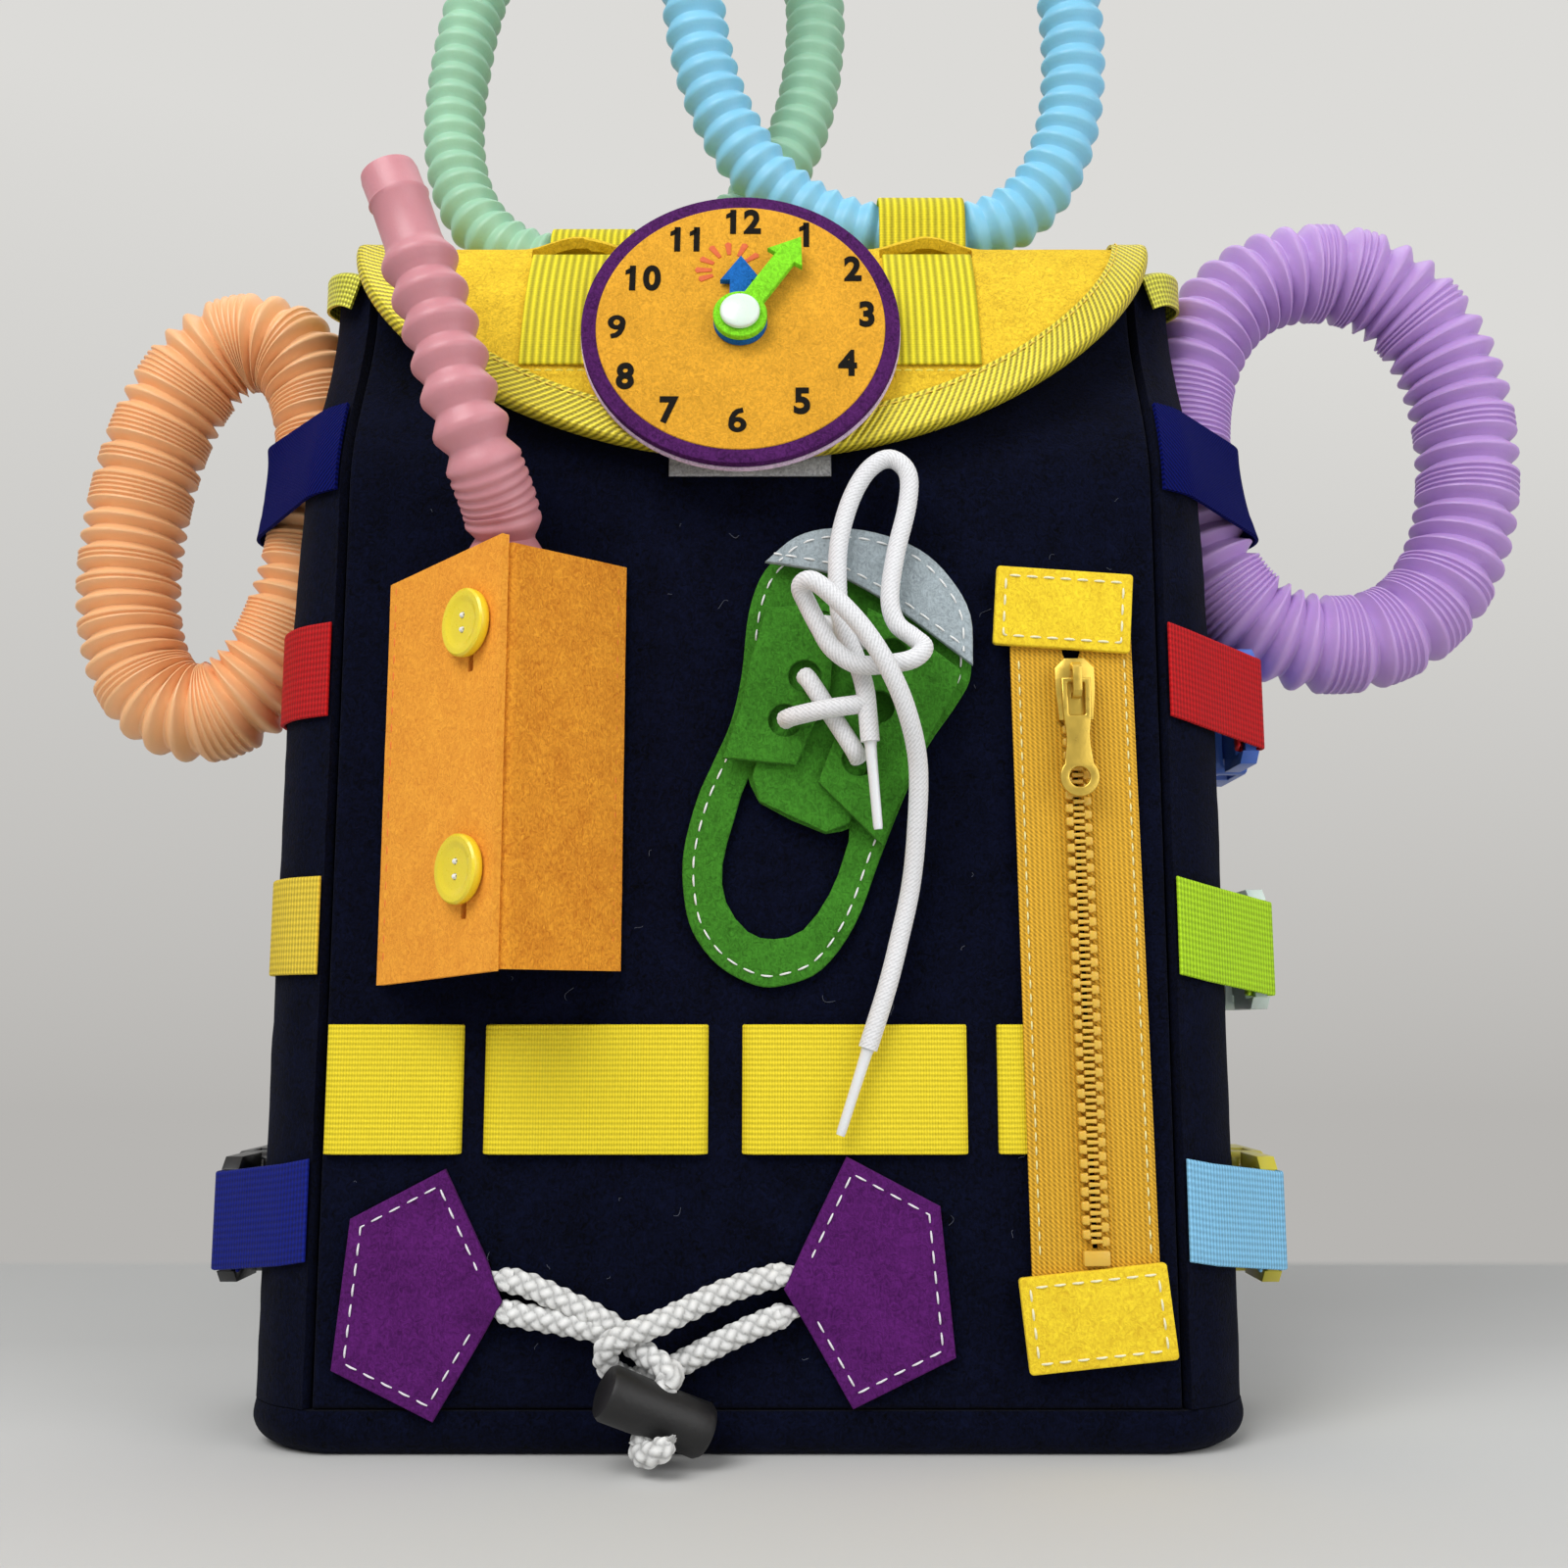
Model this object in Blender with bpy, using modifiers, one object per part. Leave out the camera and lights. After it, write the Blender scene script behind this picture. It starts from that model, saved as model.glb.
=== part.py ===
"""Busy board backpack: a small felt bag whose front, sides and flap carry things to practise with.

Metres, +Z up, the bag's front faces -Y, +X is to the right of someone who looks at the front.
The origin is the middle of the flat bottom that the bag stands on.
"""

import math

import bmesh
import bpy
import numpy as np
from mathutils import Matrix, Vector

# Fits
MILLIMETRE = 0.001
CLEAR = 0.0003
CUT_OVERRUN = 0.002
WELD = 0.00001

# Bag
PANEL_WIDTH = 0.213
BAG_DEPTH = 0.090
FELT = 0.003
FOOT_HEIGHT = 0.011
PANEL_TOP = 0.306
LEAN_START = 0.245
LEAN_BACK = 0.022
LEAN_ROWS = 7
GUSSET_TOP = 0.318
BACK_DROP = 0.005
BACK_TOP = GUSSET_TOP - BACK_DROP
GUSSET_FRONT_DROP = 0.006
GUSSET_REAR_DROP = 0.009
ROLL_BULGE = 0.0165
DIP_BULGE = 0.0035
ROLL_TAPER_SHARE = 0.3
TAPER_START = 0.190
REAR_BULGE = 0.012
SEAM_GROOVE = 0.0021
TAPE = 0.001

# Flap
FLAP_OVERHANG = 0.0045
FLAP_HALF_WIDTH = PANEL_WIDTH / 2 + FLAP_OVERHANG
FLAP_DROP = 0.082
FLAP_FLAT_END = 0.017
BEND_RADIUS = 0.012
BEND_TURN = 50
BINDING_WIDTH = 0.0085
FLAP_ELASTIC_WIDTH = 0.025
FLAP_ELASTIC_SPREAD = 0.049
FRONT_SLIT_DROP = 0.011
SLIT_WIDTH = 0.0055
STRAP_TAIL = 0.006
PATCH_WIDTH = 0.043
PATCH_HEIGHT = 0.018
HOOK_PATCH_HEIGHT = 0.013
PATCH_THICKNESS = 0.0012
LOOP_PATCH_PEEP = 0.0051

# Pop tubes
LOOP_RADIUS = 0.0095
LOOP_HALF_WIDTH = 0.056
LOOP_HALF_HEIGHT = 0.073
LOOP_SPREAD = 0.034
GREEN_LOOP_Y = 0.012
BLUE_LOOP_Y = -0.007
RING_RADIUS = 0.0145
RING_STAND_OFF = 0.0206
RING_X = PANEL_WIDTH / 2 + RING_STAND_OFF
RING_Y = 0.0045
PURPLE_HALF_WIDTH = 0.0425
PURPLE_HALF_HEIGHT = 0.0575
PURPLE_RISE = 0.0137
PEACH_HALF_WIDTH = 0.027
PEACH_HALF_HEIGHT = 0.057
PEACH_DROP = 0.0075
PINK_RADIUS = 0.0098
PINK_SOCKET_RADIUS = 0.0074
TUBE_WALL = 0.0012
TUBE_SEAM = 0.0006
TUBE_GRIP = 0.0012
RING_GRIP = 0.0004
RIB_DEPTH_SHARE = 0.18
LOOP_LEAN = 6
PEACH_LEAN = 8

# Straps round the sides
ELASTIC = 0.001
SIDE_ELASTIC_WIDTH = 0.027
SIDE_ELASTIC_HEIGHT = 0.2575
WEBBING = 0.0012
WEBBING_WIDTH = 0.025
HIGH_WEBBING = 0.1955
MIDDLE_WEBBING = 0.129
LOW_WEBBING = 0.0585
WEBBING_SAG = 0.005

# Side release buckles
BUCKLE_STAND_OFF = 0.0295
BUCKLE_X = PANEL_WIDTH / 2 + BUCKLE_STAND_OFF
BUCKLE_FRONT = -0.024
BUCKLE_LENGTH = 0.050
BUCKLE_WIDTH = 0.032
BUCKLE_THICKNESS = 0.009
FEMALE_LENGTH = 0.031
BUCKLE_WALL = 0.002
BAR = 0.003
BAR_WRAP_SHARE = 0.75
BAR_SLOT = 0.0045
PRONG_WIDTH = 0.004
PRONG_LENGTH = 0.014
BUCKLE_CORNER = 0.003
BARB_SHARE = 0.4
BARB_START_SHARE = 1.2
BARB_PEAK_SHARE = 0.9
TIP_OUTER_SHARE = 0.2
TIP_INNER_SHARE = 0.6
WINDOW_SHARE = 2.2
WRAP_START_ANGLE = 150

# Front panel trimmings
PENCIL_ELASTIC_WIDTH = 0.032
PENCIL_ELASTIC_HEIGHT = 0.088
PENCIL_SLOTS = (-0.072, -0.0655, -0.0105, -0.001, 0.0545, 0.063)
PENCIL_SLACK = 0.0013
SLOT_EASE = 0.0005
THIN_FELT = 0.002

ZIP_INSET = 0.022
ZIP_X = PANEL_WIDTH / 2 - ZIP_INSET
ZIP_TOP = 0.202
ZIP_FOOT = 0.0455
ZIP_TILT = 0.0011
ZIP_TAPE_WIDTH = 0.0315
ZIP_TAPE = 0.0008
ZIP_GAP = 0.0012
ZIP_HIDDEN = 0.010
TOOTH_PITCH = 0.0044
TOOTH_HEIGHT = 0.0017
TOOTH_REACH = 0.0010
CHAIN_CORD = 0.0011
TOOTH_HEEL_SHARE = 1.05
CHAIN_WIDTH = 0.0066
TOOTH_THICKNESS = 0.0022
STOP_HEIGHT = 0.004
SLIDER_LENGTH = 0.016
SLIDER_WIDTH = 0.0100
SLIDER_PLATE = 0.0012
SLIDER_TOP = 0.197
SLIDER_WAIST_SHARE = 1.6
SLIDER_HEEL_SHARE = 0.86
BRIDGE_LENGTH = 0.009
BRIDGE_WIDTH = 0.0022
BRIDGE_BAR = 0.0015
PULL_THICKNESS = 0.0012
PULL_LENGTH = 0.030
PULL_RING_RADIUS = 0.005
PULL_HOLE_RADIUS = 0.0027
PULL_NECK_WIDTH = 0.0045
PULL_HEAD_WIDTH = 0.0075
PULL_WINDOW_WIDTH = 0.0042
PULL_WINDOW_LENGTH = 0.0085
TOP_PATCH_WIDTH = 0.0355
TOP_PATCH_HEIGHT = 0.021
BOTTOM_PATCH_WIDTH = 0.0365
BOTTOM_PATCH_HEIGHT = 0.023
TOP_PATCH_TURN = -4
BOTTOM_PATCH_TURN = 6

POCKET_INSET = 0.0135
POCKET_WIDTH = 0.060
POCKET_RIDGE_INSET = 0.025
POCKET_DEPTH = 0.036
POCKET_LEFT = POCKET_INSET - PANEL_WIDTH / 2
POCKET_RIGHT = POCKET_LEFT + POCKET_WIDTH
POCKET_RIDGE_X = POCKET_RIGHT - POCKET_RIDGE_INSET
POCKET_RIDGE_Y = -BAG_DEPTH / 2 - POCKET_DEPTH
POCKET_TIP_SHARE = 0.6
POCKET_UNDERLAP_SHARES = (0, 0.25, 0.52)
POCKET_FOOT = 0.1155
POCKET_TOP = 0.2205
PINK_INSET = 0.029
PINK_X = POCKET_RIGHT - PINK_INSET
PINK_FOOT = 0.130
BUTTON_RADIUS = 0.0085
BUTTON_THICKNESS = 0.003
BUTTON_SHANK_RADIUS = 0.0015
BUTTON_HEIGHTS = (0.2005, 0.1405)
BUTTONHOLE_LENGTH = 0.019
BUTTONHOLE_WIDTH = 0.004
BUTTON_PLACE_SHARE = 0.76
BUTTON_WELL_SHARES = (0.6, 0.8, 0.6)
BUTTONHOLE_LOW_SHARE = 0.62
BUTTONHOLE_HIGH_SHARE = 0.38

SHOE_WIDTH = 0.0745
SHOE_HEIGHT = 0.118
SHOE_LEFT = -0.0170
SHOE_FOOT = 0.1135
EYELET_RADIUS = 0.0042
LACE_RADIUS = 0.0024
AGLET_RADIUS = 0.0013
LACE_POINTS = 46
AGLET_LENGTH = 0.022

PENTAGON_WIDTH = 0.042
PENTAGON_HEIGHT = 0.060
LEFT_PENTAGON = (-0.0805, 0.0385)
RIGHT_PENTAGON = (0.0300, 0.0415)
ROPE_RADIUS = 0.0026
TOGGLE_RADIUS = 0.0066
TOGGLE_LENGTH = 0.028
TOGGLE_HOLE_RADIUS = 0.0035
TOGGLE_CENTRE = (-0.0214, -0.0585, 0.0136)
TOGGLE_TURN = 24
TOGGLE_YAW = 20
TUFT_LENGTH = 0.0085

# Clock
CLOCK_RADIUS = 0.0425
CLOCK_THICKNESS = 0.0045
CLOCK_X = -0.0025
CLOCK_RISE = 0.0334
CLOCK_LEAN = 12.5
HAND_THICKNESS = 0.002
HUB_RADIUS = 0.0071
HAND_WIDTH = 0.0058
ARROW_WIDTH = 0.0110
ARROW_LENGTH = 0.008
HOUR_HAND_LENGTH = 0.0205
MINUTE_HAND_LENGTH = 0.0295
MINUTE_HAND_TURN = 33
PIN_RADIUS = 0.002
PIN_HEAD_RADIUS = 0.0052
PIN_HEAD_THICKNESS = 0.0022
EDGE_ROUND = 0.0006

# Back
SHOULDER_STRAP = 0.005
SHOULDER_STRAP_WIDTH = 0.036
SHOULDER_INSET = 0.0425
SHOULDER_FOOT_INSET = 0.0225
SHOULDER_TOP = 0.300
SHOULDER_FOOT = 0.016
SHOULDER_STAND_OFF = 0.030
HANDLE_SPAN = 0.080
HANDLE_STAND_OFF = 0.016
HANDLE_HEIGHT = 0.2875

NAVY = (0.006, 0.010, 0.022)
YELLOW = (0.93, 0.64, 0.03)
GOLD = (0.75, 0.52, 0.04)
LEMON = (0.70, 0.66, 0.03)


# Scene and materials


def clear_scene():
    for obj in list(bpy.data.objects):
        bpy.data.objects.remove(obj, do_unlink=True)


def new_collection(name):
    collection = bpy.data.collections.new(name)
    bpy.context.scene.collection.children.link(collection)
    return collection


def material(name, colour, roughness=0.9, metallic=0.0):
    made = bpy.data.materials.get(name)
    if made is None:
        made = bpy.data.materials.new(name)
        made.use_nodes = True
        shader = made.node_tree.nodes["Principled BSDF"]
        shader.inputs["Base Color"].default_value = (*colour, 1)
        shader.inputs["Roughness"].default_value = roughness
        shader.inputs["Metallic"].default_value = metallic
    return made


def felt(name, colour):
    return material(name + "_felt", colour, 0.95)


def woven(name, colour):
    return material(name + "_webbing", colour, 0.75)


def plastic(name, colour, roughness=0.35):
    return material(name + "_plastic", colour, roughness)


clear_scene()
PARTS = new_collection("busy_board_backpack")
CUTTERS = new_collection("cutters")


def place(name, mesh, look, collection=None):
    obj = bpy.data.objects.new(name, mesh)
    (collection or PARTS).objects.link(obj)
    if look is not None:
        mesh.materials.append(look)
    return obj


def as_cutter(obj):
    for collection in list(obj.users_collection):
        collection.objects.unlink(obj)
    CUTTERS.objects.link(obj)
    obj.hide_render = True
    obj.display_type = "WIRE"
    return obj


def boolean(target, other, operation="DIFFERENCE"):
    cut = target.modifiers.new(operation.lower(), "BOOLEAN")
    cut.operation = operation
    cut.object = as_cutter(other)
    return target


# Paths


def smooth(points, steps=4):
    """A Catmull-Rom curve through the points, with so many steps between each two."""
    pts = [Vector(p) for p in points]
    pts = [2 * pts[0] - pts[1]] + pts + [2 * pts[-1] - pts[-2]]
    out = []
    for a, b, c, d in zip(pts, pts[1:], pts[2:], pts[3:]):
        for k in range(steps):
            t = k / steps
            out.append(0.5 * (2 * b + (c - a) * t + (2 * a - 5 * b + 4 * c - d) * t * t
                              + (3 * b - a - 3 * c + d) * t ** 3))
    return out + [pts[-2]]


class Route:
    """A polyline that is read by the distance along it."""

    def __init__(self, points):
        self.points = np.array([tuple(p) for p in points])
        steps = np.linalg.norm(np.diff(self.points, axis=0), axis=1)
        self.marks = np.concatenate([[0], np.cumsum(steps)])
        self.length = float(self.marks[-1])

    def at(self, distance):
        return Vector([float(np.interp(distance, self.marks, column)) for column in self.points.T])

    def evenly(self, count):
        return [self.at(self.length * k / (count - 1)) for k in range(count)]


def offset_line(points, distance):
    """A 2D polyline moved to its right-hand side by the distance."""
    pts = [Vector(p[:2]) for p in points]
    out = []
    for k, p in enumerate(pts):
        run = (pts[min(k + 1, len(pts) - 1)] - pts[max(k - 1, 0)]).normalized()
        out.append(p + distance * Vector((run.y, -run.x)))
    return out


def arc(centre, radius, start, end, steps):
    """Points on a circle between two angles in degrees."""
    angles = [math.radians(start + (end - start) * k / steps) for k in range(steps + 1)]
    return [Vector((centre[0] + radius * math.cos(a), centre[1] + radius * math.sin(a))) for a in angles]


def taut(points):
    """The outer, +X side of the hull of 2D points that run from the first to the last."""
    pts = sorted((Vector(p[:2]) for p in points), key=lambda p: (p.y, p.x))
    chain = []
    for p in pts:
        while len(chain) > 1:
            a = chain[-1] - chain[-2]
            b = p - chain[-1]
            if a.x * b.y - a.y * b.x > 0:
                break
            chain.pop()
        chain.append(p)
    return chain


# Solids


def sheet(name, rows, thickness, look, side=0, flip=False):
    """A grid of points as an open surface with a thickness: side 1 and -1 put it on one side."""
    mesh = bpy.data.meshes.new(name)
    bm = bmesh.new()
    grid = [[bm.verts.new(Vector(p)) for p in row] for row in rows]
    for upper, lower in zip(grid, grid[1:]):
        for a, b, c, d in zip(upper, upper[1:], lower[1:], lower):
            bm.faces.new((a, d, c, b) if flip else (a, b, c, d))
    bm.to_mesh(mesh)
    bm.free()
    obj = place(name, mesh, look)
    solidify(obj, thickness, side)
    return obj


def solidify(obj, thickness, side=0):
    shell = obj.modifiers.new("thickness", "SOLIDIFY")
    shell.thickness = thickness
    shell.offset = side
    shell.use_even_offset = True
    shell.thickness_clamp = 0


def strap(name, path, span, thickness, look):
    """A flat band of the given width vector along a path of 3D points."""
    half = Vector(span) / 2
    rows = [[Vector(p) - half for p in path], [Vector(p) + half for p in path]]
    return sheet(name, rows, thickness, look)


def evaluated_mesh(obj):
    depsgraph = bpy.context.evaluated_depsgraph_get()
    depsgraph.update()
    return bpy.data.meshes.new_from_object(obj.evaluated_get(depsgraph))


def frozen(obj):
    """The object as a plain welded mesh, in place of its curve or modifiers."""
    mesh = evaluated_mesh(obj)
    bm = bmesh.new()
    bm.from_mesh(mesh)
    bmesh.ops.remove_doubles(bm, verts=bm.verts, dist=WELD)
    bmesh.ops.recalc_face_normals(bm, faces=bm.faces)
    bm.to_mesh(mesh)
    bm.free()
    name = obj.name
    made = bpy.data.objects.new(name + "_solid", mesh)
    obj.users_collection[0].objects.link(made)
    made.matrix_world = obj.matrix_world.copy()
    bpy.data.objects.remove(obj, do_unlink=True)
    made.name = name
    return made


def tube(name, points, radius, look, radii=None, resolution=2, closed=False):
    """A round tube along the points; radii are shares of the radius, one for each point."""
    curve = bpy.data.curves.new(name, "CURVE")
    curve.dimensions = "3D"
    curve.bevel_depth = radius
    curve.bevel_resolution = resolution
    curve.use_fill_caps = not closed
    spline = curve.splines.new("POLY")
    spline.points.add(len(points) - 1)
    for k, p in enumerate(points):
        spline.points[k].co = (*p, 1)
        spline.points[k].radius = radii[k] if radii else 1
    spline.use_cyclic_u = closed
    if look is not None:
        curve.materials.append(look)
    obj = bpy.data.objects.new(name, curve)
    PARTS.objects.link(obj)
    return frozen(obj)


def flat(name, outlines, thickness, look, matrix=None):
    """Filled outlines in the XY plane, holes as further outlines, half the thickness each way."""
    curve = bpy.data.curves.new(name, "CURVE")
    curve.dimensions = "2D"
    curve.fill_mode = "BOTH"
    curve.extrude = thickness / 2
    for outline in outlines:
        spline = curve.splines.new("POLY")
        spline.points.add(len(outline) - 1)
        for k, p in enumerate(outline):
            spline.points[k].co = (p[0], p[1], 0, 1)
        spline.use_cyclic_u = True
    if look is not None:
        curve.materials.append(look)
    obj = bpy.data.objects.new(name, curve)
    PARTS.objects.link(obj)
    if matrix is not None:
        obj.matrix_world = matrix
    bpy.context.view_layer.update()
    return frozen(obj)


def on_front(y, x=0, z=0, turn=0):
    """The placing of a flat piece whose outline is drawn in X and Z."""
    return (Matrix.Translation((x, y, z)) @ Matrix.Rotation(math.radians(-turn), 4, "Y")
            @ Matrix.Rotation(math.radians(90), 4, "X"))


def lathe(name, profile, look, matrix=None, steps=32):
    """A closed profile of (radius, height) turned about the local Z axis."""
    mesh = bpy.data.meshes.new(name)
    bm = bmesh.new()
    verts = [bm.verts.new((r, 0, h)) for r, h in profile]
    for a, b in zip(verts, verts[1:]):
        bm.edges.new((a, b))
    if profile[0][0] > 0:
        bm.edges.new((verts[-1], verts[0]))
    bm.to_mesh(mesh)
    bm.free()
    obj = place(name, mesh, look)
    screw = obj.modifiers.new("turn", "SCREW")
    screw.steps = steps
    screw.render_steps = steps
    screw.use_merge_vertices = True
    screw.merge_threshold = WELD
    if matrix is not None:
        obj.matrix_world = matrix
    bpy.context.view_layer.update()
    return frozen(obj)


def box(name, low, high, look=None, matrix=None):
    """An axis-aligned box in the frame that the matrix gives."""
    mesh = bpy.data.meshes.new(name)
    bm = bmesh.new()
    bmesh.ops.create_cube(bm, size=1)
    size = Vector(high) - Vector(low)
    middle = (Vector(high) + Vector(low)) / 2
    bmesh.ops.transform(bm, verts=bm.verts, matrix=Matrix.Translation(middle) @ Matrix.Diagonal((*size, 1)))
    bm.to_mesh(mesh)
    bm.free()
    obj = place(name, mesh, look)
    if matrix is not None:
        obj.matrix_world = matrix
    return obj


def rectangle(width, height, corner=0, steps=3):
    """A centred rectangle, with rounded corners if a corner radius is given."""
    x, y = width / 2 - corner, height / 2 - corner
    if corner == 0:
        return [Vector(p) for p in ((x, y), (-x, y), (-x, -y), (x, -y))]
    return (arc((x, y), corner, 0, 90, steps) + arc((-x, y), corner, 90, 180, steps)
            + arc((-x, -y), corner, 180, 270, steps) + arc((x, -y), corner, 270, 360, steps))


def moved(points, x=0, y=0):
    return [Vector((p[0] + x, p[1] + y)) for p in points]


# Bag shell

GUSSET_DEPTH_SHARES = (0, 0.07, 0.19, 0.30, 0.42, 0.67, 0.77, 0.86, 0.94, 1)
GUSSET_ROLL_SHARES = (0, 0.60, 1, 0.75, 0, 0, 0, 0, 0, 0)
GUSSET_DIP_SHARES = (0, 0, 0, 0, 1, 1, 0, 0, 0, 0)
GUSSET_REAR_SHARES = (0, 0, 0, 0, 0, 0, 0.75, 1, 0.70, 0)
GUSSET_FRONT_SLOPE_SHARE = 0.30
GUSSET_REAR_SLOPE_SHARE = 0.72
GUSSET_ROW_SHARES = (0, 0.76, 0.84, 0.91, 0.96, 1)
TRAY_SHARES = ((1, 1, 1), (1.004, 1.012, 0.6), (0.99, 0.985, 0.22), (0.965, 0.93, 0))


def front_y(z):
    """The outer face of the front panel, which leans back near the top."""
    rise = min(max((z - LEAN_START) / (PANEL_TOP - LEAN_START), 0), 1)
    return -BAG_DEPTH / 2 + LEAN_BACK * rise * rise * (3 - 2 * rise)


def gusset_plan(z, steps=1):
    """The outer face of the right gusset at one height, from the front seam to the back seam."""
    seam = PANEL_WIDTH / 2 + SEAM_GROOVE
    full = 1 - ROLL_TAPER_SHARE * max(0, (z - TAPER_START) / (GUSSET_TOP - TAPER_START))
    points = []
    for depth, roll, dip, rear in zip(GUSSET_DEPTH_SHARES, GUSSET_ROLL_SHARES,
                                      GUSSET_DIP_SHARES, GUSSET_REAR_SHARES):
        y = front_y(z) + depth * (BAG_DEPTH / 2 - front_y(z))
        points.append((seam + full * (roll * ROLL_BULGE + dip * DIP_BULGE + rear * REAR_BULGE), y))
    return smooth(points, steps)


def gusset_top(share):
    """The height of the gusset's top edge, lower at the front and back seams."""
    front = max(0, 1 - share / GUSSET_FRONT_SLOPE_SHARE)
    rear = max(0, (share - GUSSET_REAR_SLOPE_SHARE) / (1 - GUSSET_REAR_SLOPE_SHARE))
    return GUSSET_TOP - GUSSET_FRONT_DROP * front ** 2 - GUSSET_REAR_DROP * rear ** 2


def gusset_rows():
    columns = len(gusset_plan(0))
    rows = []
    for height in GUSSET_ROW_SHARES:
        row = []
        for k in range(columns):
            z = FOOT_HEIGHT + height * (gusset_top(k / (columns - 1)) - FOOT_HEIGHT)
            point = gusset_plan(z)[k]
            row.append(Vector((point.x, point.y, z)))
        rows.append(row)
    return rows


def make_bag():
    navy = felt("navy", NAVY)
    half = PANEL_WIDTH / 2
    lean = PANEL_TOP - LEAN_START
    heights = [FOOT_HEIGHT] + [LEAN_START + lean * k / LEAN_ROWS for k in range(LEAN_ROWS + 1)]
    front = sheet("front_panel", [[(-half, front_y(z), z), (half, front_y(z), z)] for z in heights],
                  FELT, navy, side=-1)
    slot_width = ELASTIC + 2 * SLOT_EASE
    slot_height = PENCIL_ELASTIC_WIDTH + 2 * SLOT_EASE
    for k, x in enumerate(PENCIL_SLOTS):
        depth = FELT + CUT_OVERRUN
        slot = box(f"pencil_slot_{k}", (x - slot_width / 2, -BAG_DEPTH / 2 - depth,
                                        PENCIL_ELASTIC_HEIGHT - slot_height / 2),
                   (x + slot_width / 2, -BAG_DEPTH / 2 + depth, PENCIL_ELASTIC_HEIGHT + slot_height / 2))
        boolean(front, slot)
    back = BAG_DEPTH / 2
    sheet("back_panel", [[(-half, back, z), (half, back, z)] for z in (FOOT_HEIGHT, BACK_TOP)],
          FELT, navy, side=-1, flip=True)
    make_gusset(navy)


def make_gusset(look):
    """One strip of felt up the left side, under the bag and up the right side, as a single shell."""
    half = PANEL_WIDTH / 2
    side = gusset_plan(FOOT_HEIGHT)
    front = [Vector((half * k / 3, -BAG_DEPTH / 2)) for k in (-3, -1, 1, 3)]
    back = [Vector((half * k / 3, BAG_DEPTH / 2)) for k in (3, 1, -1, -3)]
    left = [Vector((-p.x, p.y)) for p in reversed(side)]
    loop = front + side + back + left
    mesh = bpy.data.meshes.new("gusset")
    bm = bmesh.new()
    rings = []
    for wide, deep, height in TRAY_SHARES:
        z = height * (FOOT_HEIGHT - CLEAR)
        rings.append([bm.verts.new((p.x * wide, p.y * deep, z)) for p in loop])
    for upper, lower in zip(rings, rings[1:]):
        count = len(upper)
        for k in range(count):
            bm.faces.new((upper[k], lower[k], lower[(k + 1) % count], upper[(k + 1) % count]))
    bm.faces.new(list(reversed(rings[-1])))
    first = len(front)
    rows = gusset_rows()
    for mirror, start in ((1, first), (-1, first + len(side) + len(back))):
        below = rings[0][start:start + len(side)]
        for row in rows[1:]:
            points = row if mirror > 0 else list(reversed(row))
            above = [bm.verts.new((mirror * p.x, p.y, p.z)) for p in points]
            for k in range(len(side) - 1):
                bm.faces.new((below[k], below[k + 1], above[k + 1], above[k]))
            below = above
    bmesh.ops.recalc_face_normals(bm, faces=bm.faces)
    bm.to_mesh(mesh)
    bm.free()
    solidify(place("gusset", mesh, look), FELT, side=-1)


# Flap

BINDING_STACK = FELT / 2 + 2 * CLEAR + TAPE
FLAP_MID = GUSSET_TOP + CLEAR + TAPE + CLEAR + BINDING_STACK
HINGE_Z = BACK_TOP + CLEAR / 2
FLAP_START_Z = BACK_TOP + CLEAR
FLAP_BACK_RADIUS = FLAP_MID - FLAP_START_Z
FLAP_START_Y = BAG_DEPTH / 2 - FELT / 2
BEND_LENGTH = BEND_RADIUS * math.radians(BEND_TURN)
FRONT_TURN = 90 - BEND_TURN
FLAP_LEGS = (
    (FLAP_BACK_RADIUS * math.pi / 2, 90),
    (FLAP_START_Y - FLAP_BACK_RADIUS + FLAP_FLAT_END, 0),
    (BEND_LENGTH, BEND_TURN),
    (FLAP_DROP - BEND_LENGTH, FRONT_TURN),
)
FLAP_FLAT_S = FLAP_LEGS[0][0] + FLAP_LEGS[1][0]
FLAP_COLUMN_ANGLES = (0, 18, 35, 50, 61, 69, 75, 80, 85)
DROP_ROW_SHARES = (0.04, 0.085, 0.13, 0.25, 0.40, 0.55, 0.70, 0.85, 1)


def flap_profile(s, off=0):
    """Y, Z and heading in degrees at a distance along the flap's middle, off to its outer side."""
    y, z, heading = FLAP_START_Y, FLAP_START_Z, 90
    for length, turn in FLAP_LEGS:
        run = min(max(s, 0), length)
        if length == FLAP_LEGS[-1][0] and turn == FRONT_TURN:
            run = s
        turned = turn * run / length
        if turn:
            radius = length / math.radians(turn)
            a, b = math.radians(heading), math.radians(heading + turned)
            y += radius * (math.sin(b) - math.sin(a))
            z += radius * (math.cos(a) - math.cos(b))
        else:
            y += run * math.cos(math.radians(heading))
            z += run * math.sin(math.radians(heading))
        heading += turned
        s -= run
        if s <= 0:
            break
    a = math.radians(heading)
    return y + off * math.sin(a), z - off * math.cos(a), heading


def flap_at(x, s, off=0):
    y, z, heading = flap_profile(s, off)
    return Vector((x, y, z))


def flap_drop(x):
    """How far past the flat top the flap's edge lies, at one place across."""
    return FLAP_DROP * math.sqrt(max(0, 1 - (x / FLAP_HALF_WIDTH) ** 2))


def flap_columns():
    turns = [-t for t in reversed(FLAP_COLUMN_ANGLES[1:])] + list(FLAP_COLUMN_ANGLES)
    return [FLAP_HALF_WIDTH * math.sin(math.radians(t)) for t in turns]


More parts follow.
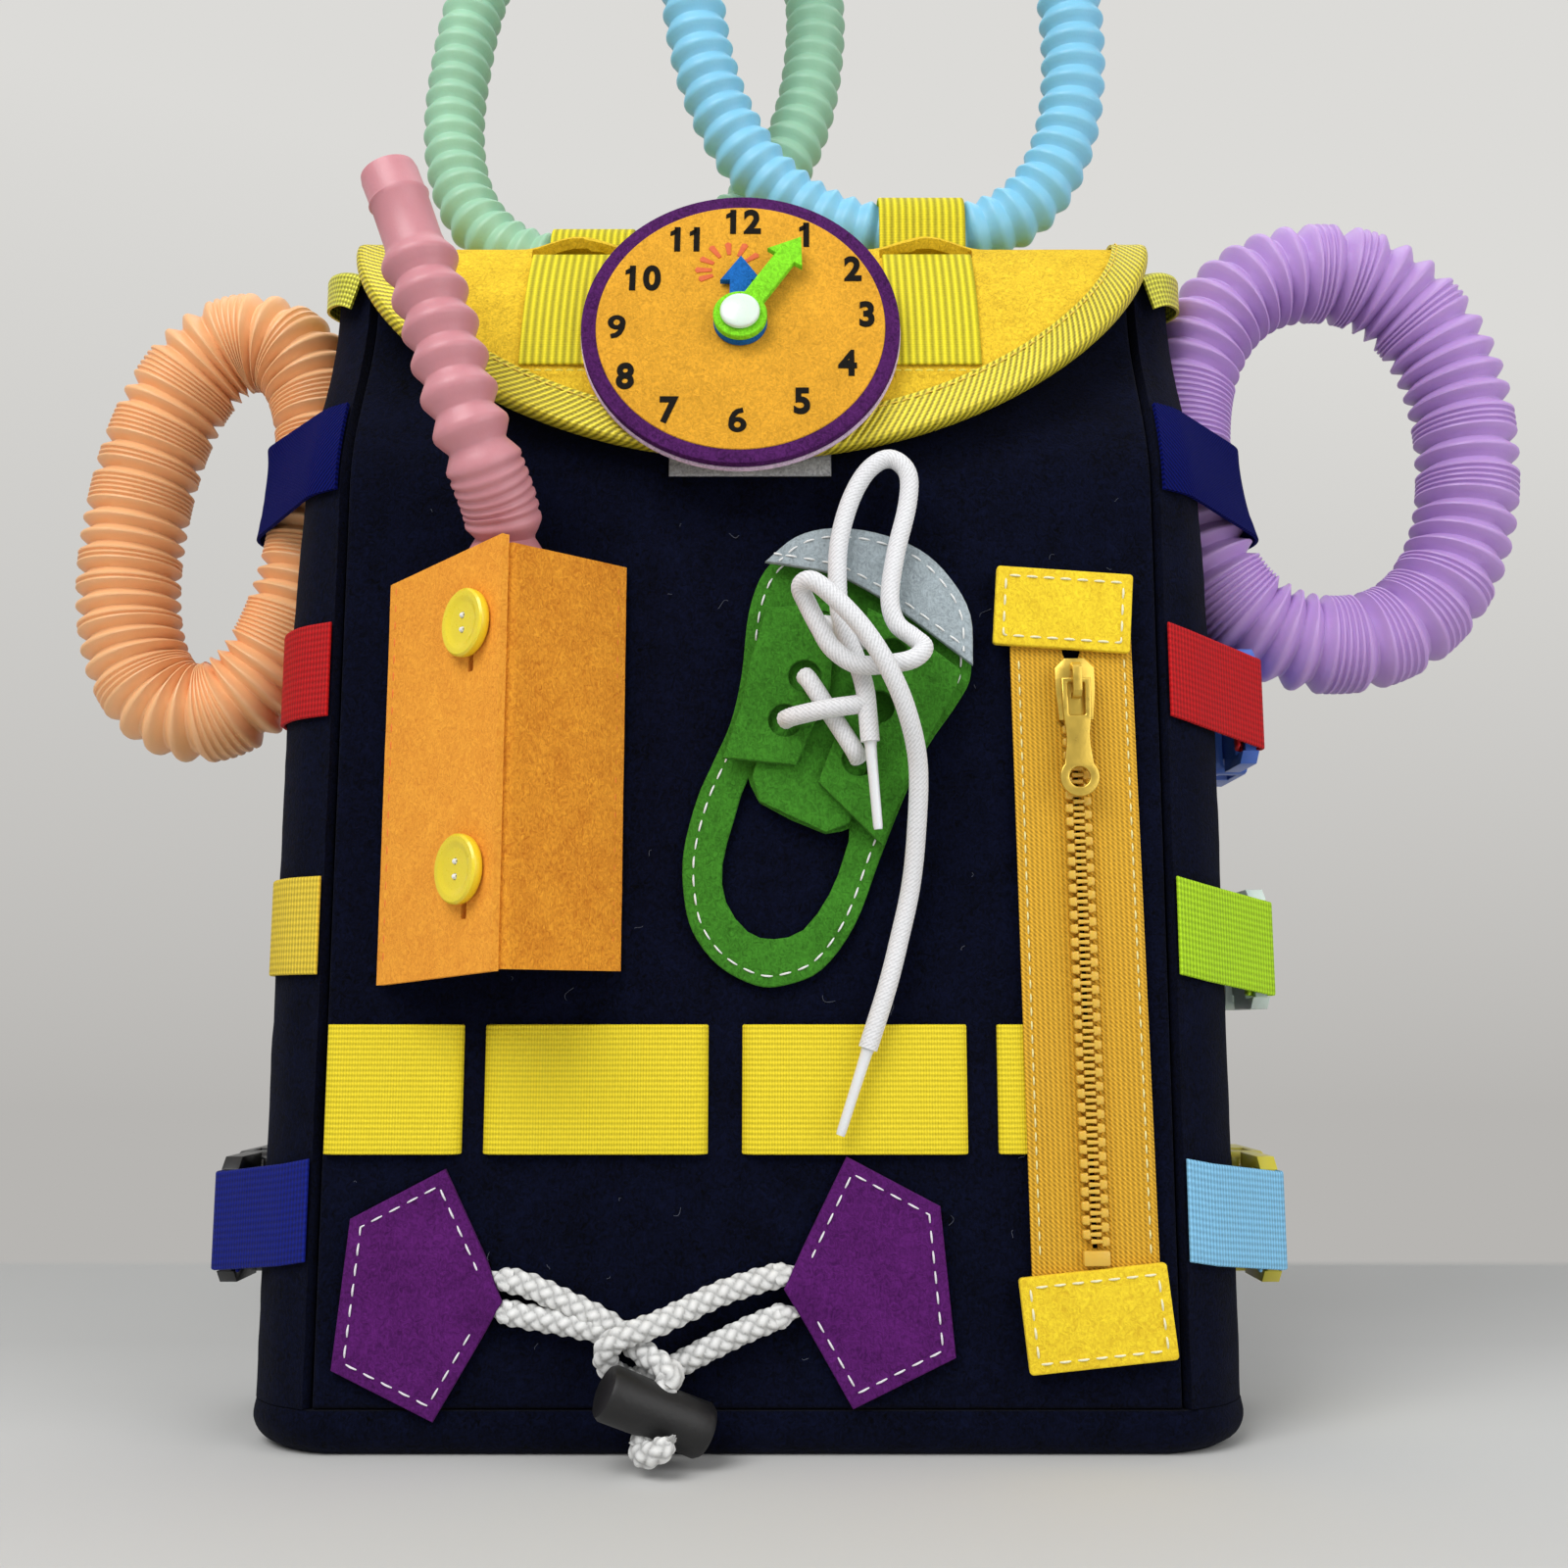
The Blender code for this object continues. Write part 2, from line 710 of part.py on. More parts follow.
def flap_edge():
    """Stations (x, s) round the flap's free edge, with the direction into the flap."""
    columns = flap_columns()
    rim = [Vector((x, FLAP_FLAT_S + flap_drop(x))) for x in columns]
    start = FLAP_LEGS[0][0] + 2 * TAPE
    sides = [start + (FLAP_FLAT_S - start) * k / 2 for k in range(3)]
    sides += [FLAP_FLAT_S + flap_drop(columns[0]) * k / 3 for k in (1, 2)]
    left = [Vector((columns[0], s)) for s in sides]
    right = [Vector((columns[-1], s)) for s in reversed(sides)]
    line = left + rim + right
    inward = []
    for k in range(len(line)):
        run = (line[min(k + 1, len(line) - 1)] - line[max(k - 1, 0)]).normalized()
        inward.append(Vector((run.y, -run.x)))
    return line, inward


def slit(name, x, s, width):
    """A cutter through the flap, across a strap."""
    y, z, heading = flap_profile(s)
    frame = Matrix.Translation((x, y, z)) @ Matrix.Rotation(math.radians(heading), 4, "X")
    half = FLAP_ELASTIC_WIDTH / 2 + SLOT_EASE
    deep = FELT + CUT_OVERRUN
    return box(name, (-half, -width / 2, -deep), (half, width / 2, deep), matrix=frame)


def strap_rise():
    return LOOP_RADIUS + TUBE_GRIP + ELASTIC / 2


def flat_top_s(y):
    """The distance along the flap of a place on its flat top."""
    return FLAP_LEGS[0][0] + FLAP_START_Y - FLAP_BACK_RADIUS - y


def flap_elastic(name, x, tube_y, look):
    """One elastic: up the flap's front, in at a slit, out and over the tube, and in again."""
    outer = abs(x) + FLAP_ELASTIC_WIDTH / 2
    off = FELT / 2 + CLEAR + ELASTIC / 2
    low = FLAP_FLAT_S + flap_drop(outer) - BINDING_WIDTH - 2 * TAPE
    gate = FLAP_FLAT_S + FRONT_SLIT_DROP
    rise = strap_rise()
    centre_z = FLAP_MID + FELT / 2 + CLEAR + LOOP_RADIUS
    front, rear = tube_y - rise, tube_y + rise
    path = [flap_profile(low + (gate + off - low) * k / 6, off)[:2] for k in range(7)]
    under = FLAP_MID - off
    inside = gate - off
    last = flat_top_s(front - 2 * ELASTIC)
    path += [flap_profile(inside + (last - inside) * k / 3, -off)[:2] for k in range(4)]
    path.append((front - ELASTIC, under))
    path.append((front, under + ELASTIC))
    path += [tuple(p) for p in arc((tube_y, centre_z), rise, 180, 0, 8)]
    path.append((rear, under + ELASTIC))
    path.append((rear + ELASTIC, under))
    path.append((rear + STRAP_TAIL, under))
    strap(name, [(x, y, z) for y, z in path], (FLAP_ELASTIC_WIDTH, 0, 0), ELASTIC, look)
    return [slit(name + "_front_slit", x, gate, SLIT_WIDTH + ELASTIC),
            slit(name + "_near_slit", x, flat_top_s(front), SLIT_WIDTH - ELASTIC),
            slit(name + "_far_slit", x, flat_top_s(rear), SLIT_WIDTH - ELASTIC)]


def make_flap():
    yellow = felt("yellow", YELLOW)
    gold = woven("gold", GOLD)
    lemon = woven("lemon", LEMON)
    columns = flap_columns()
    back = FLAP_LEGS[0][0]
    fixed = [back * k / 4 for k in range(5)] + [back + FLAP_LEGS[1][0] * k / 2 for k in (1, 2)]
    rows = [[flap_at(x, s) for x in columns] for s in fixed]
    for share in DROP_ROW_SHARES:
        rows.append([flap_at(x, FLAP_FLAT_S + share * flap_drop(x)) for x in columns])
    flap = sheet("flap", rows, FELT, yellow)

    line, inward = flap_edge()
    out = 2 * CLEAR + TAPE / 2
    off = FELT / 2 + out
    fold = []
    for reach, height in ((BINDING_WIDTH, off), (-out, off), (-out, -off), (BINDING_WIDTH, -off)):
        fold.append([flap_at(p.x + reach * d.x, p.y + reach * d.y, height) for p, d in zip(line, inward)])
    sheet("flap_binding", fold, TAPE, gold)

    for name, x, tube_y in (("left_flap_elastic", -FLAP_ELASTIC_SPREAD, GREEN_LOOP_Y),
                            ("right_flap_elastic", FLAP_ELASTIC_SPREAD, BLUE_LOOP_Y)):
        for cutter in flap_elastic(name, x, tube_y, lemon):
            boolean(flap, cutter)

    grey = felt("grey", (0.36, 0.36, 0.37))
    stack = CLEAR + PATCH_THICKNESS / 2
    half = PATCH_WIDTH / 2
    end = FLAP_FLAT_S + flap_drop(half) - BINDING_WIDTH - 2 * CLEAR - TAPE
    reach = [end - HOOK_PATCH_HEIGHT * k / 4 for k in range(5)]
    under = -FELT / 2 - stack - CLEAR
    sheet("closure_hook_patch", [[flap_at(x, s, under) for x in (-half, 0, half)] for s in reach],
          PATCH_THICKNESS, grey)
    foot = flap_at(0, FLAP_FLAT_S + FLAP_DROP).z - LOOP_PATCH_PEEP
    heights = [foot + PATCH_HEIGHT * k / 4 for k in range(5)]
    sheet("closure_loop_patch", [[(x, front_y(z) - stack - CLEAR, z) for x in (-half, 0, half)]
                                 for z in heights], PATCH_THICKNESS, grey)
    return flap


# Clock


def clock_frame():
    """The clock's own frame: Z out of its face, Y up the face, the origin on its back."""
    height = flap_at(0, FLAP_FLAT_S + FLAP_DROP).z + CLOCK_RISE
    lean = math.radians(CLOCK_LEAN)
    normal = Vector((0, -math.cos(lean), math.sin(lean)))
    proud = FELT / 2 + CLEAR + TAPE
    reach = [FLAP_FLAT_S + FLAP_DROP * k / 40 for k in range(41)]
    touch = max(flap_at(0, s, proud).dot(normal) for s in reach)
    back = touch + CLEAR
    y = (back - height * normal.z) / normal.y
    return Matrix.Translation((CLOCK_X, y, height)) @ Matrix.Rotation(math.radians(90) - lean, 4, "X")


def turned_disc(radius, bore, low, high, edge):
    return [(radius - edge, high), (bore, high), (bore, low), (radius, low), (radius, high - edge)]


def hand_outline(length):
    """An arrow from the hub up to the tip, with a round end about the hub."""
    half, head = HAND_WIDTH / 2, ARROW_WIDTH / 2
    sweep = math.degrees(math.acos(half / HUB_RADIUS))
    neck = length - ARROW_LENGTH
    hub = arc((0, 0), HUB_RADIUS, 180 - sweep, 360 + sweep, 14)
    return [Vector((half, neck)), Vector((head, neck)), Vector((0, length)), Vector((-head, neck)),
            Vector((-half, neck))] + hub


def make_clock(flap):
    frame = clock_frame()
    bore = PIN_RADIUS + CLEAR
    face = felt("clock", (0.86, 0.50, 0.04))
    lathe("clock_face", turned_disc(CLOCK_RADIUS, bore, 0, CLOCK_THICKNESS, EDGE_ROUND), face, frame, 32)
    level = CLOCK_THICKNESS + CLEAR
    looks = (("hour_hand", HOUR_HAND_LENGTH, 0, felt("blue", (0.01, 0.10, 0.38))),
             ("minute_hand", MINUTE_HAND_LENGTH, MINUTE_HAND_TURN, felt("lime", (0.20, 0.70, 0.02))))
    for name, length, turn, look in looks:
        place_at = (frame @ Matrix.Translation((0, 0, level + HAND_THICKNESS / 2))
                    @ Matrix.Rotation(math.radians(-turn), 4, "Z"))
        flat(name, [hand_outline(length), arc((0, 0), bore, 360 / 16, 360, 15)], HAND_THICKNESS, look, place_at)
        level += HAND_THICKNESS + CLEAR
    under = clock_pin_depth(frame)
    top = level + PIN_HEAD_THICKNESS
    profile = [(0, top), (PIN_HEAD_RADIUS * 0.6, top - EDGE_ROUND / 2), (PIN_HEAD_RADIUS, level + EDGE_ROUND),
               (PIN_HEAD_RADIUS, level), (PIN_RADIUS, level), (PIN_RADIUS, -under),
               (PIN_HEAD_RADIUS, -under), (PIN_HEAD_RADIUS, -under - EDGE_ROUND), (0, -under - EDGE_ROUND)]
    lathe("clock_pin", list(reversed(profile)), plastic("cap", (0.75, 0.86, 0.75)), frame, 16)
    hole = [(0, -under - CUT_OVERRUN), (bore, -under - CUT_OVERRUN), (bore, CUT_OVERRUN), (0, CUT_OVERRUN)]
    boolean(flap, lathe("clock_pin_hole", hole, None, frame, 16))
    print("clock back", frame.translation)


def clock_pin_depth(frame):
    """How deep behind the clock's back the pin's inner head must lie to clear the flap."""
    inside = frame.inverted()
    deepest = 0
    for k in range(81):
        point = inside @ flap_at(CLOCK_X, FLAP_FLAT_S + FLAP_DROP * k / 80, -FELT / 2)
        if abs(point.y) < PIN_HEAD_RADIUS + CLEAR:
            deepest = max(deepest, -point.z)
    return deepest + 2 * CLEAR


# Pop tubes

GREEN_RIBS = 40
PURPLE_RIBS = 36
PEACH_RIBS = 32
PINK_FREE_RIBS = 6
PINK_CLOSE_RIBS = 8
PINK_HIDDEN_RIBS = 6
# The free end's way out, forward and up, from the middle of the pocket's mouth
PINK_LEAN = ((-0.0005, -0.0049, 0.0115), (-0.0040, -0.0129, 0.0225), (-0.0088, -0.0164, 0.0355),
             (-0.0142, -0.0169, 0.0535), (-0.0198, -0.0169, 0.0705), (-0.0244, -0.0169, 0.0845),
             (-0.0295, -0.0169, 0.0975))
PINK_SOCKET_SHARE = 0.075
PINK_FREE_SHARE = 0.24
PINK_CLOSE_SHARE = 0.14
BORE_POINTS = 26
SELF_GAP_SAMPLES = 240
RING_POWER = 2.2
LOOP_POWER = 2.4


def oval(half_wide, half_high, power, steps=240):
    """A superellipse from its lowest point round to it again, as (across, up)."""
    out = []
    for k in range(steps + 1):
        a = 2 * math.pi * k / steps
        s, c = math.sin(a), -math.cos(a)
        across = math.copysign(abs(s) ** (2 / power), s)
        up = math.copysign(abs(c) ** (2 / power), c)
        out.append(Vector((half_wide * across, half_high * up)))
    return out


def report_self_gap(name, route, radius, looped):
    """Print the least gap of a tube to itself, between points that lie apart along it."""
    marks = np.linspace(0, route.length, SELF_GAP_SAMPLES)
    points = np.array([tuple(route.at(d)) for d in marks])
    apart = np.linalg.norm(points[:, None] - points[None], axis=2) - 2 * radius
    along = np.abs(marks[:, None] - marks[None])
    if looped:
        along = np.minimum(along, route.length - along)
    apart[along < math.pi * radius] = np.inf
    least = min(float(apart.min()), TUBE_SEAM) if looped else float(apart.min())
    print(f"{name}: least gap to itself {least / MILLIMETRE:.2f} mm")


def ribbed_tube(name, route, marks, radius, look, closed_bore):
    """A tube with a crest and a valley for each rib; marks are (distance, share of the radius)."""
    report_self_gap(name, route, radius, closed_bore)
    points = [route.at(d) for d, share in marks]
    outer = tube(name, points, radius, look, radii=[share for d, share in marks])
    bore = radius * (1 - RIB_DEPTH_SHARE) - TUBE_WALL
    if closed_bore:
        inner = [route.at(route.length * k / BORE_POINTS) for k in range(BORE_POINTS)]
    else:
        inner = route.evenly(BORE_POINTS)
        inner[0] += (inner[0] - inner[1]).normalized() * CUT_OVERRUN
        inner[-1] += (inner[-1] - inner[-2]).normalized() * CUT_OVERRUN
    boolean(outer, tube(name + "_bore", inner, bore, None, resolution=1, closed=closed_bore))
    return outer


def even_ribs(length, count):
    """Marks for equal ribs along a tube that stops short of its own other end."""
    first, last = TUBE_SEAM / 2, length - TUBE_SEAM / 2
    pitch = (last - first) / count
    marks = [(first, 1 - RIB_DEPTH_SHARE)]
    for k in range(count):
        marks.append((first + (k + 0.5) * pitch, 1))
        marks.append((first + (k + 1) * pitch, 1 - RIB_DEPTH_SHARE))
    return marks


def top_loop(name, x, foot_x, y, lean, look):
    base = FLAP_MID + FELT / 2 + CLEAR + LOOP_RADIUS
    slope = math.tan(math.radians(lean))
    points = []
    for p in oval(LOOP_HALF_WIDTH, LOOP_HALF_HEIGHT, LOOP_POWER):
        rise = p.y + LOOP_HALF_HEIGHT
        low = 1 - rise / (2 * LOOP_HALF_HEIGHT)
        points.append((x + p.x + (foot_x - x) * low * low, y + rise * slope, base + rise))
    route = Route(points)
    return ribbed_tube(name, route, even_ribs(route.length, GREEN_RIBS), LOOP_RADIUS, look, True)


def ring_points(side, half_wide, half_high, height, lean):
    """The route of a side ring, starting under its elastic."""
    oval_points = oval(half_wide, half_high, RING_POWER)
    quarter = len(oval_points) // 4
    ring = oval_points[3 * quarter:-1] + oval_points[:3 * quarter + 1]
    turn = math.radians(lean)
    turned = [(p.x * math.cos(turn) - p.y * math.sin(turn), p.x * math.sin(turn) + p.y * math.cos(turn))
              for p in ring]
    shift = RING_X - min(x for x, z in turned)
    return [Vector((side * (x + shift), RING_Y, height + z)) for x, z in turned]


def ring_x(points, z):
    """The ring's innermost centre line at one height, as a distance from the bag's middle."""
    limit = RING_X + RING_RADIUS
    return max(abs(p.x) for p in points if abs(p.z - z) < SIDE_ELASTIC_WIDTH / 8 and abs(p.x) < limit)


def make_pop_tubes():
    mint = plastic("mint", (0.36, 0.68, 0.46), 0.45)
    sky = plastic("sky", (0.31, 0.62, 0.83), 0.45)
    pink = plastic("pink", (0.75, 0.33, 0.46), 0.45)
    peach = plastic("peach", (0.87, 0.48, 0.26), 0.45)
    purple = plastic("purple", (0.45, 0.28, 0.68), 0.45)
    top_loop("green_tube", -LOOP_SPREAD, -FLAP_ELASTIC_SPREAD, GREEN_LOOP_Y, LOOP_LEAN, mint)
    top_loop("blue_tube", LOOP_SPREAD, FLAP_ELASTIC_SPREAD, BLUE_LOOP_Y, -LOOP_LEAN, sky)
    rings = {}
    for name, side, wide, high, rise, lean, ribs, look in (
            ("purple_tube", 1, PURPLE_HALF_WIDTH, PURPLE_HALF_HEIGHT, PURPLE_RISE, 0, PURPLE_RIBS, purple),
            ("peach_tube", -1, PEACH_HALF_WIDTH, PEACH_HALF_HEIGHT, -PEACH_DROP, PEACH_LEAN, PEACH_RIBS, peach)):
        points = ring_points(side, wide, high, SIDE_ELASTIC_HEIGHT + rise, lean)
        route = Route(points)
        ribbed_tube(name, route, even_ribs(route.length, ribs), RING_RADIUS, look, True)
        rings[side] = points
    make_pink_tube(pink)
    make_side_elastics(rings)


def pink_route():
    """Up out of the pocket, then forward and to the left, past the flap."""
    y = -BAG_DEPTH / 2 - 2 * CLEAR - PINK_RADIUS - THIN_FELT
    straight = [(PINK_X, y, PINK_FOOT + (POCKET_TOP - PINK_FOOT) * k / 3) for k in range(4)]
    lean = [(PINK_X + out, y + ahead, POCKET_TOP + up) for out, ahead, up in PINK_LEAN]
    return Route(smooth(straight + lean, 6))


def make_pink_tube(look):
    route = pink_route()
    length = route.length
    valley = 1 - RIB_DEPTH_SHARE
    socket = PINK_SOCKET_RADIUS / PINK_RADIUS
    marks = [(0, valley)]
    start = 0
    groups = ((1 - PINK_SOCKET_SHARE - PINK_FREE_SHARE - PINK_CLOSE_SHARE, PINK_HIDDEN_RIBS),
              (PINK_CLOSE_SHARE, PINK_CLOSE_RIBS), (PINK_FREE_SHARE, PINK_FREE_RIBS))
    for share, count in groups:
        pitch = length * share / count
        for k in range(count):
            marks.append((start + (k + 0.5) * pitch, 1))
            marks.append((start + (k + 1) * pitch, valley))
        start += length * share
    marks.append((start + PINK_RADIUS / 8, socket))
    marks.append((length, socket))
    ribbed_tube("pink_tube", route, marks, PINK_RADIUS, look, False)


def make_side_elastics(rings):
    """Elastic bands that hold the side rings against the gussets."""
    look = woven("royal", (0.01, 0.02, 0.20))
    out = CLEAR + ELASTIC / 2
    half = PANEL_WIDTH / 2
    for side, points in rings.items():
        rows = []
        for k in range(4):
            z = SIDE_ELASTIC_HEIGHT + SIDE_ELASTIC_WIDTH * (k / 3 - 1 / 2)
            grip = RING_RADIUS + RING_GRIP + ELASTIC / 2
            around = [(half, front_y(z) - out - CLEAR), (half, BAG_DEPTH / 2 + out)]
            around += offset_line(gusset_plan(z, 4), out + 2 * CLEAR)
            around += arc((ring_x(points, z) + 2 * CLEAR, RING_Y), grip, -90, 90, 24)
            row = Route(taut(around)).evenly(24)
            rows.append([Vector((side * p.x, p.y, z)) for p in row])
        sheet("right_ring_elastic" if side > 0 else "left_ring_elastic", rows, ELASTIC, look)


# Side webbing and buckles


def gusset_hull(out):
    return offset_line(gusset_plan(FOOT_HEIGHT, 4), out)


def plain_wrap():
    """Webbing pulled taut round the left gusset, from its front seam to its back seam."""
    out = CLEAR + WEBBING / 2
    half = PANEL_WIDTH / 2
    around = [(half, -BAG_DEPTH / 2 - out), (half, BAG_DEPTH / 2 + out)] + gusset_hull(out + CLEAR)
    return [Vector((-p.x, p.y)) for p in Route(taut(around)).evenly(16)]


def belt(name, height, left_buckle, look):
    """A belt from the left side across the back panel to the bar of a buckle on the right side."""
    seam = BAG_DEPTH / 2 + CLEAR + WEBBING / 2
    rear_bar = BUCKLE_FRONT + BUCKLE_LENGTH - BAR / 2
    if left_buckle:
        left = list(reversed(bar_wrap(-1, rear_bar, 1, height, seam)))
    else:
        left = [(p.x, p.y, height) for p in plain_wrap()]
    path = left + bar_wrap(1, rear_bar, 1, height, seam)
    strap(name, path, (0, 0, WEBBING_WIDTH), WEBBING, look)


def bar_wrap(side, bar_y, ahead, height, seam_y):
    """A strap from a seam over the gusset's roll to a buckle's bar, round it, and doubled back."""
    out = CLEAR + WEBBING / 2
    turn = BAR * BAR_WRAP_SHARE + out + CLEAR
    half = PANEL_WIDTH / 2
    bend = arc((BUCKLE_X, bar_y), turn, ahead * WRAP_START_ANGLE, 0, 10)
    path = taut([(half, seam_y)] + bend + gusset_hull(out + CLEAR))
    if ahead < 0:
        path = [p for p in path if p.y <= bar_y]
        wrap = arc((BUCKLE_X, bar_y), turn, 0, 180, 6)
    else:
        path = list(reversed([p for p in path if p.y >= bar_y]))
        wrap = arc((BUCKLE_X, bar_y), turn, 0, -180, 6)
    back = Vector((BUCKLE_X - turn - WEBBING, bar_y + ahead * STRAP_TAIL))
    path = path[:-1] + wrap + [back]
    marks = Route(path).marks
    drop = [WEBBING_SAG * min(1, d / (marks[-1] / 2)) for d in marks]
    return [(side * p.x, p.y, height - s) for p, s in zip(path, drop)]


def buckle_frame(side, height):
    """A buckle's own frame: X along it towards the back, Y up, Z through its thickness."""
    frame = Matrix(((0, 0, side), (1, 0, 0), (0, 1, 0))).to_4x4()
    if side < 0:
        frame = Matrix(((0, 0, side), (1, 0, 0), (0, -1, 0))).to_4x4()
    return Matrix.Translation((side * BUCKLE_X, BUCKLE_FRONT, height - WEBBING_SAG)) @ frame


def male_outline():
    """The frame that holds the bar, a middle guide and two prongs with barbed heads."""
    start = BUCKLE_LENGTH - FEMALE_LENGTH - CLEAR
    half = BUCKLE_WIDTH / 2
    inner = half - BUCKLE_WALL - CLEAR
    root = inner - PRONG_WIDTH * BARB_SHARE
    head = start + PRONG_LENGTH
    guide = PRONG_WIDTH / 2
    upper = [(0, half - BUCKLE_CORNER), (BUCKLE_CORNER, half), (start, half), (start, root),
             (head - PRONG_WIDTH * BARB_START_SHARE, root), (head - PRONG_WIDTH * BARB_PEAK_SHARE, inner),
             (head, root - PRONG_WIDTH * TIP_OUTER_SHARE), (head, root - PRONG_WIDTH * TIP_INNER_SHARE),
             (start + PRONG_WIDTH / 2, root - PRONG_WIDTH), (start, guide), (head - PRONG_WIDTH, guide)]
    lower = [(x, -y) for x, y in reversed(upper)]
    return [Vector(p) for p in upper + lower]


def make_buckle(colour, side, height, look):
    frame = buckle_frame(side, height)
    half = BUCKLE_WIDTH / 2
    slot_height = WEBBING_WIDTH + 4 * CLEAR
    body_start = BUCKLE_LENGTH - FEMALE_LENGTH
    slot = moved(rectangle(BAR_SLOT, slot_height), BAR + BAR_SLOT / 2)
    thin = BUCKLE_THICKNESS / 2
    male = flat(colour + "_buckle_male", [male_outline(), slot], thin, look, frame)
    body = moved(rectangle(FEMALE_LENGTH, BUCKLE_WIDTH, BUCKLE_CORNER), BUCKLE_LENGTH - FEMALE_LENGTH / 2)
    rear_slot = moved(rectangle(BAR_SLOT, slot_height), BUCKLE_LENGTH - BAR - BAR_SLOT / 2)
    female = flat(colour + "_buckle_female", [body, rear_slot], BUCKLE_THICKNESS, look, frame)
    room = thin / 2 + CLEAR
    depth = body_start + PRONG_LENGTH + CLEAR
    cavity = box(colour + "_cavity", (body_start - CUT_OVERRUN, -half + BUCKLE_WALL, -room),
                 (depth, half - BUCKLE_WALL, room), matrix=frame)
    boolean(female, cavity)
    window = [(depth - PRONG_WIDTH * WINDOW_SHARE, -half - CUT_OVERRUN, -room), (depth, half + CUT_OVERRUN, room)]
    boolean(female, box(colour + "_windows", *window, matrix=frame))
    thin_bar = BAR + BAR_SLOT
    for end in (-CUT_OVERRUN, BUCKLE_LENGTH - thin_bar):
        for face in (-1, 1):
            low = min(face * BAR / 2, face * BUCKLE_THICKNESS)
            high = max(face * BAR / 2, face * BUCKLE_THICKNESS)
            shave = box(f"{colour}_shave_{face}_{end > 0}", (end, -slot_height / 2 + CLEAR, low),
                        (end + thin_bar + CUT_OVERRUN - CLEAR, slot_height / 2 - CLEAR, high), matrix=frame)
            boolean(female if end > 0 else male, shave)


def make_side_straps():
    red = woven("red", (0.50, 0.01, 0.02))
    gold = woven("gold", GOLD)
    blue = woven("blue", (0.01, 0.03, 0.38))
    lime = woven("lime", (0.30, 0.63, 0.03))
    sky = woven("sky", (0.22, 0.52, 0.78))
    belt("red_belt", HIGH_WEBBING, False, red)
    belt("yellow_belt", MIDDLE_WEBBING, False, gold)
    belt("blue_belt", LOW_WEBBING, True, blue)
    buckles = (
        ("black", -1, LOW_WEBBING, blue, "left_blue_strap", (0.012, 0.012, 0.014)),
        ("blue", 1, HIGH_WEBBING, red, "right_red_strap", (0.05, 0.15, 0.55)),
        ("white", 1, MIDDLE_WEBBING, lime, "right_lime_strap", (0.66, 0.78, 0.70)),
        ("yellow", 1, LOW_WEBBING, sky, "right_sky_strap", (0.57, 0.52, 0.05)),
    )
    for colour, side, height, web, name, shade in buckles:
        make_buckle(colour, side, height, plastic(colour + "_buckle", shade))
        seam = BAG_DEPTH / 2 + CLEAR + WEBBING / 2
        front_bar = BUCKLE_FRONT + BAR / 2
        strap(name, bar_wrap(side, front_bar, -1, height, -seam), (0, 0, WEBBING_WIDTH), WEBBING, web)


# Front panel: pencil elastic and zipper


def make_pencil_elastic():
    half = PANEL_WIDTH / 2
    front = -BAG_DEPTH / 2 - CLEAR - ELASTIC / 2
    back = -BAG_DEPTH / 2 + FELT + CLEAR + ELASTIC / 2
    a, b, c, d, e, f = PENCIL_SLOTS
    path = []
    for start, end in ((-half + ELASTIC, a), (b, c), (d, e)):
        middle = (start + end) / 2
        path += [(start, front), (start + 3 * ELASTIC, front - PENCIL_SLACK),
                 (middle, front - PENCIL_SLACK), (end - 3 * ELASTIC, front - PENCIL_SLACK),
                 (end, front), (end, back)]
        follow = {a: b, c: d, e: f}[end]
        path.append((follow, back))
    path += [(f, front), (half - ELASTIC, front)]
    strap("pencil_elastic", [(x, y, PENCIL_ELASTIC_HEIGHT) for x, y in path],
          (0, 0, PENCIL_ELASTIC_WIDTH), ELASTIC, woven("lemon", LEMON))


def zip_frame(y):
    """The zipper's frame: Z up the chain, X across, the origin at the chain's lower end."""
    top_x = ZIP_X - ZIP_TILT
    foot_x = ZIP_X + ZIP_TILT
    turn = math.atan2(foot_x - top_x, ZIP_TOP - ZIP_FOOT)
    return Matrix.Translation((foot_x, y, ZIP_FOOT)) @ Matrix.Rotation(-turn, 4, "Y")


def tooth(side, z):
    """One tooth's corners from its upper foot round its head to its lower foot."""
    root = side * (CHAIN_WIDTH / 2 - CHAIN_CORD)
    heel = root * TOOTH_HEEL_SHARE
    tip = -side * TOOTH_REACH
    tall = TOOTH_HEIGHT / 2
    return [Vector(p) for p in ((root, z + tall), (tip, z + tall / 2), (tip, z - tall / 2), (heel, z - tall))]


def chain_outline(count):
    """Two rows of teeth, each on its cord, joined by the stop at the lower end."""
    outer = CHAIN_WIDTH / 2
    inner = outer - CHAIN_CORD
    right = [STOP_HEIGHT + TOOTH_PITCH * (k + 0.5) for k in range(count)]
    left = [z + TOOTH_PITCH / 2 for z in right]
    line = [Vector((-outer, 0)), Vector((outer, 0)), Vector((outer, right[-1] + TOOTH_HEIGHT / 2 + CLEAR)),
            Vector((inner, right[-1] + TOOTH_HEIGHT / 2 + CLEAR))]
    for z in reversed(right):
        line += tooth(1, z)
    line += [Vector((inner, STOP_HEIGHT)), Vector((-inner, STOP_HEIGHT))]
    for z in left:
        line += reversed(tooth(-1, z))
    top = left[-1] + TOOTH_HEIGHT / 2 + CLEAR
    return line + [Vector((-inner, top)), Vector((-outer, top))]


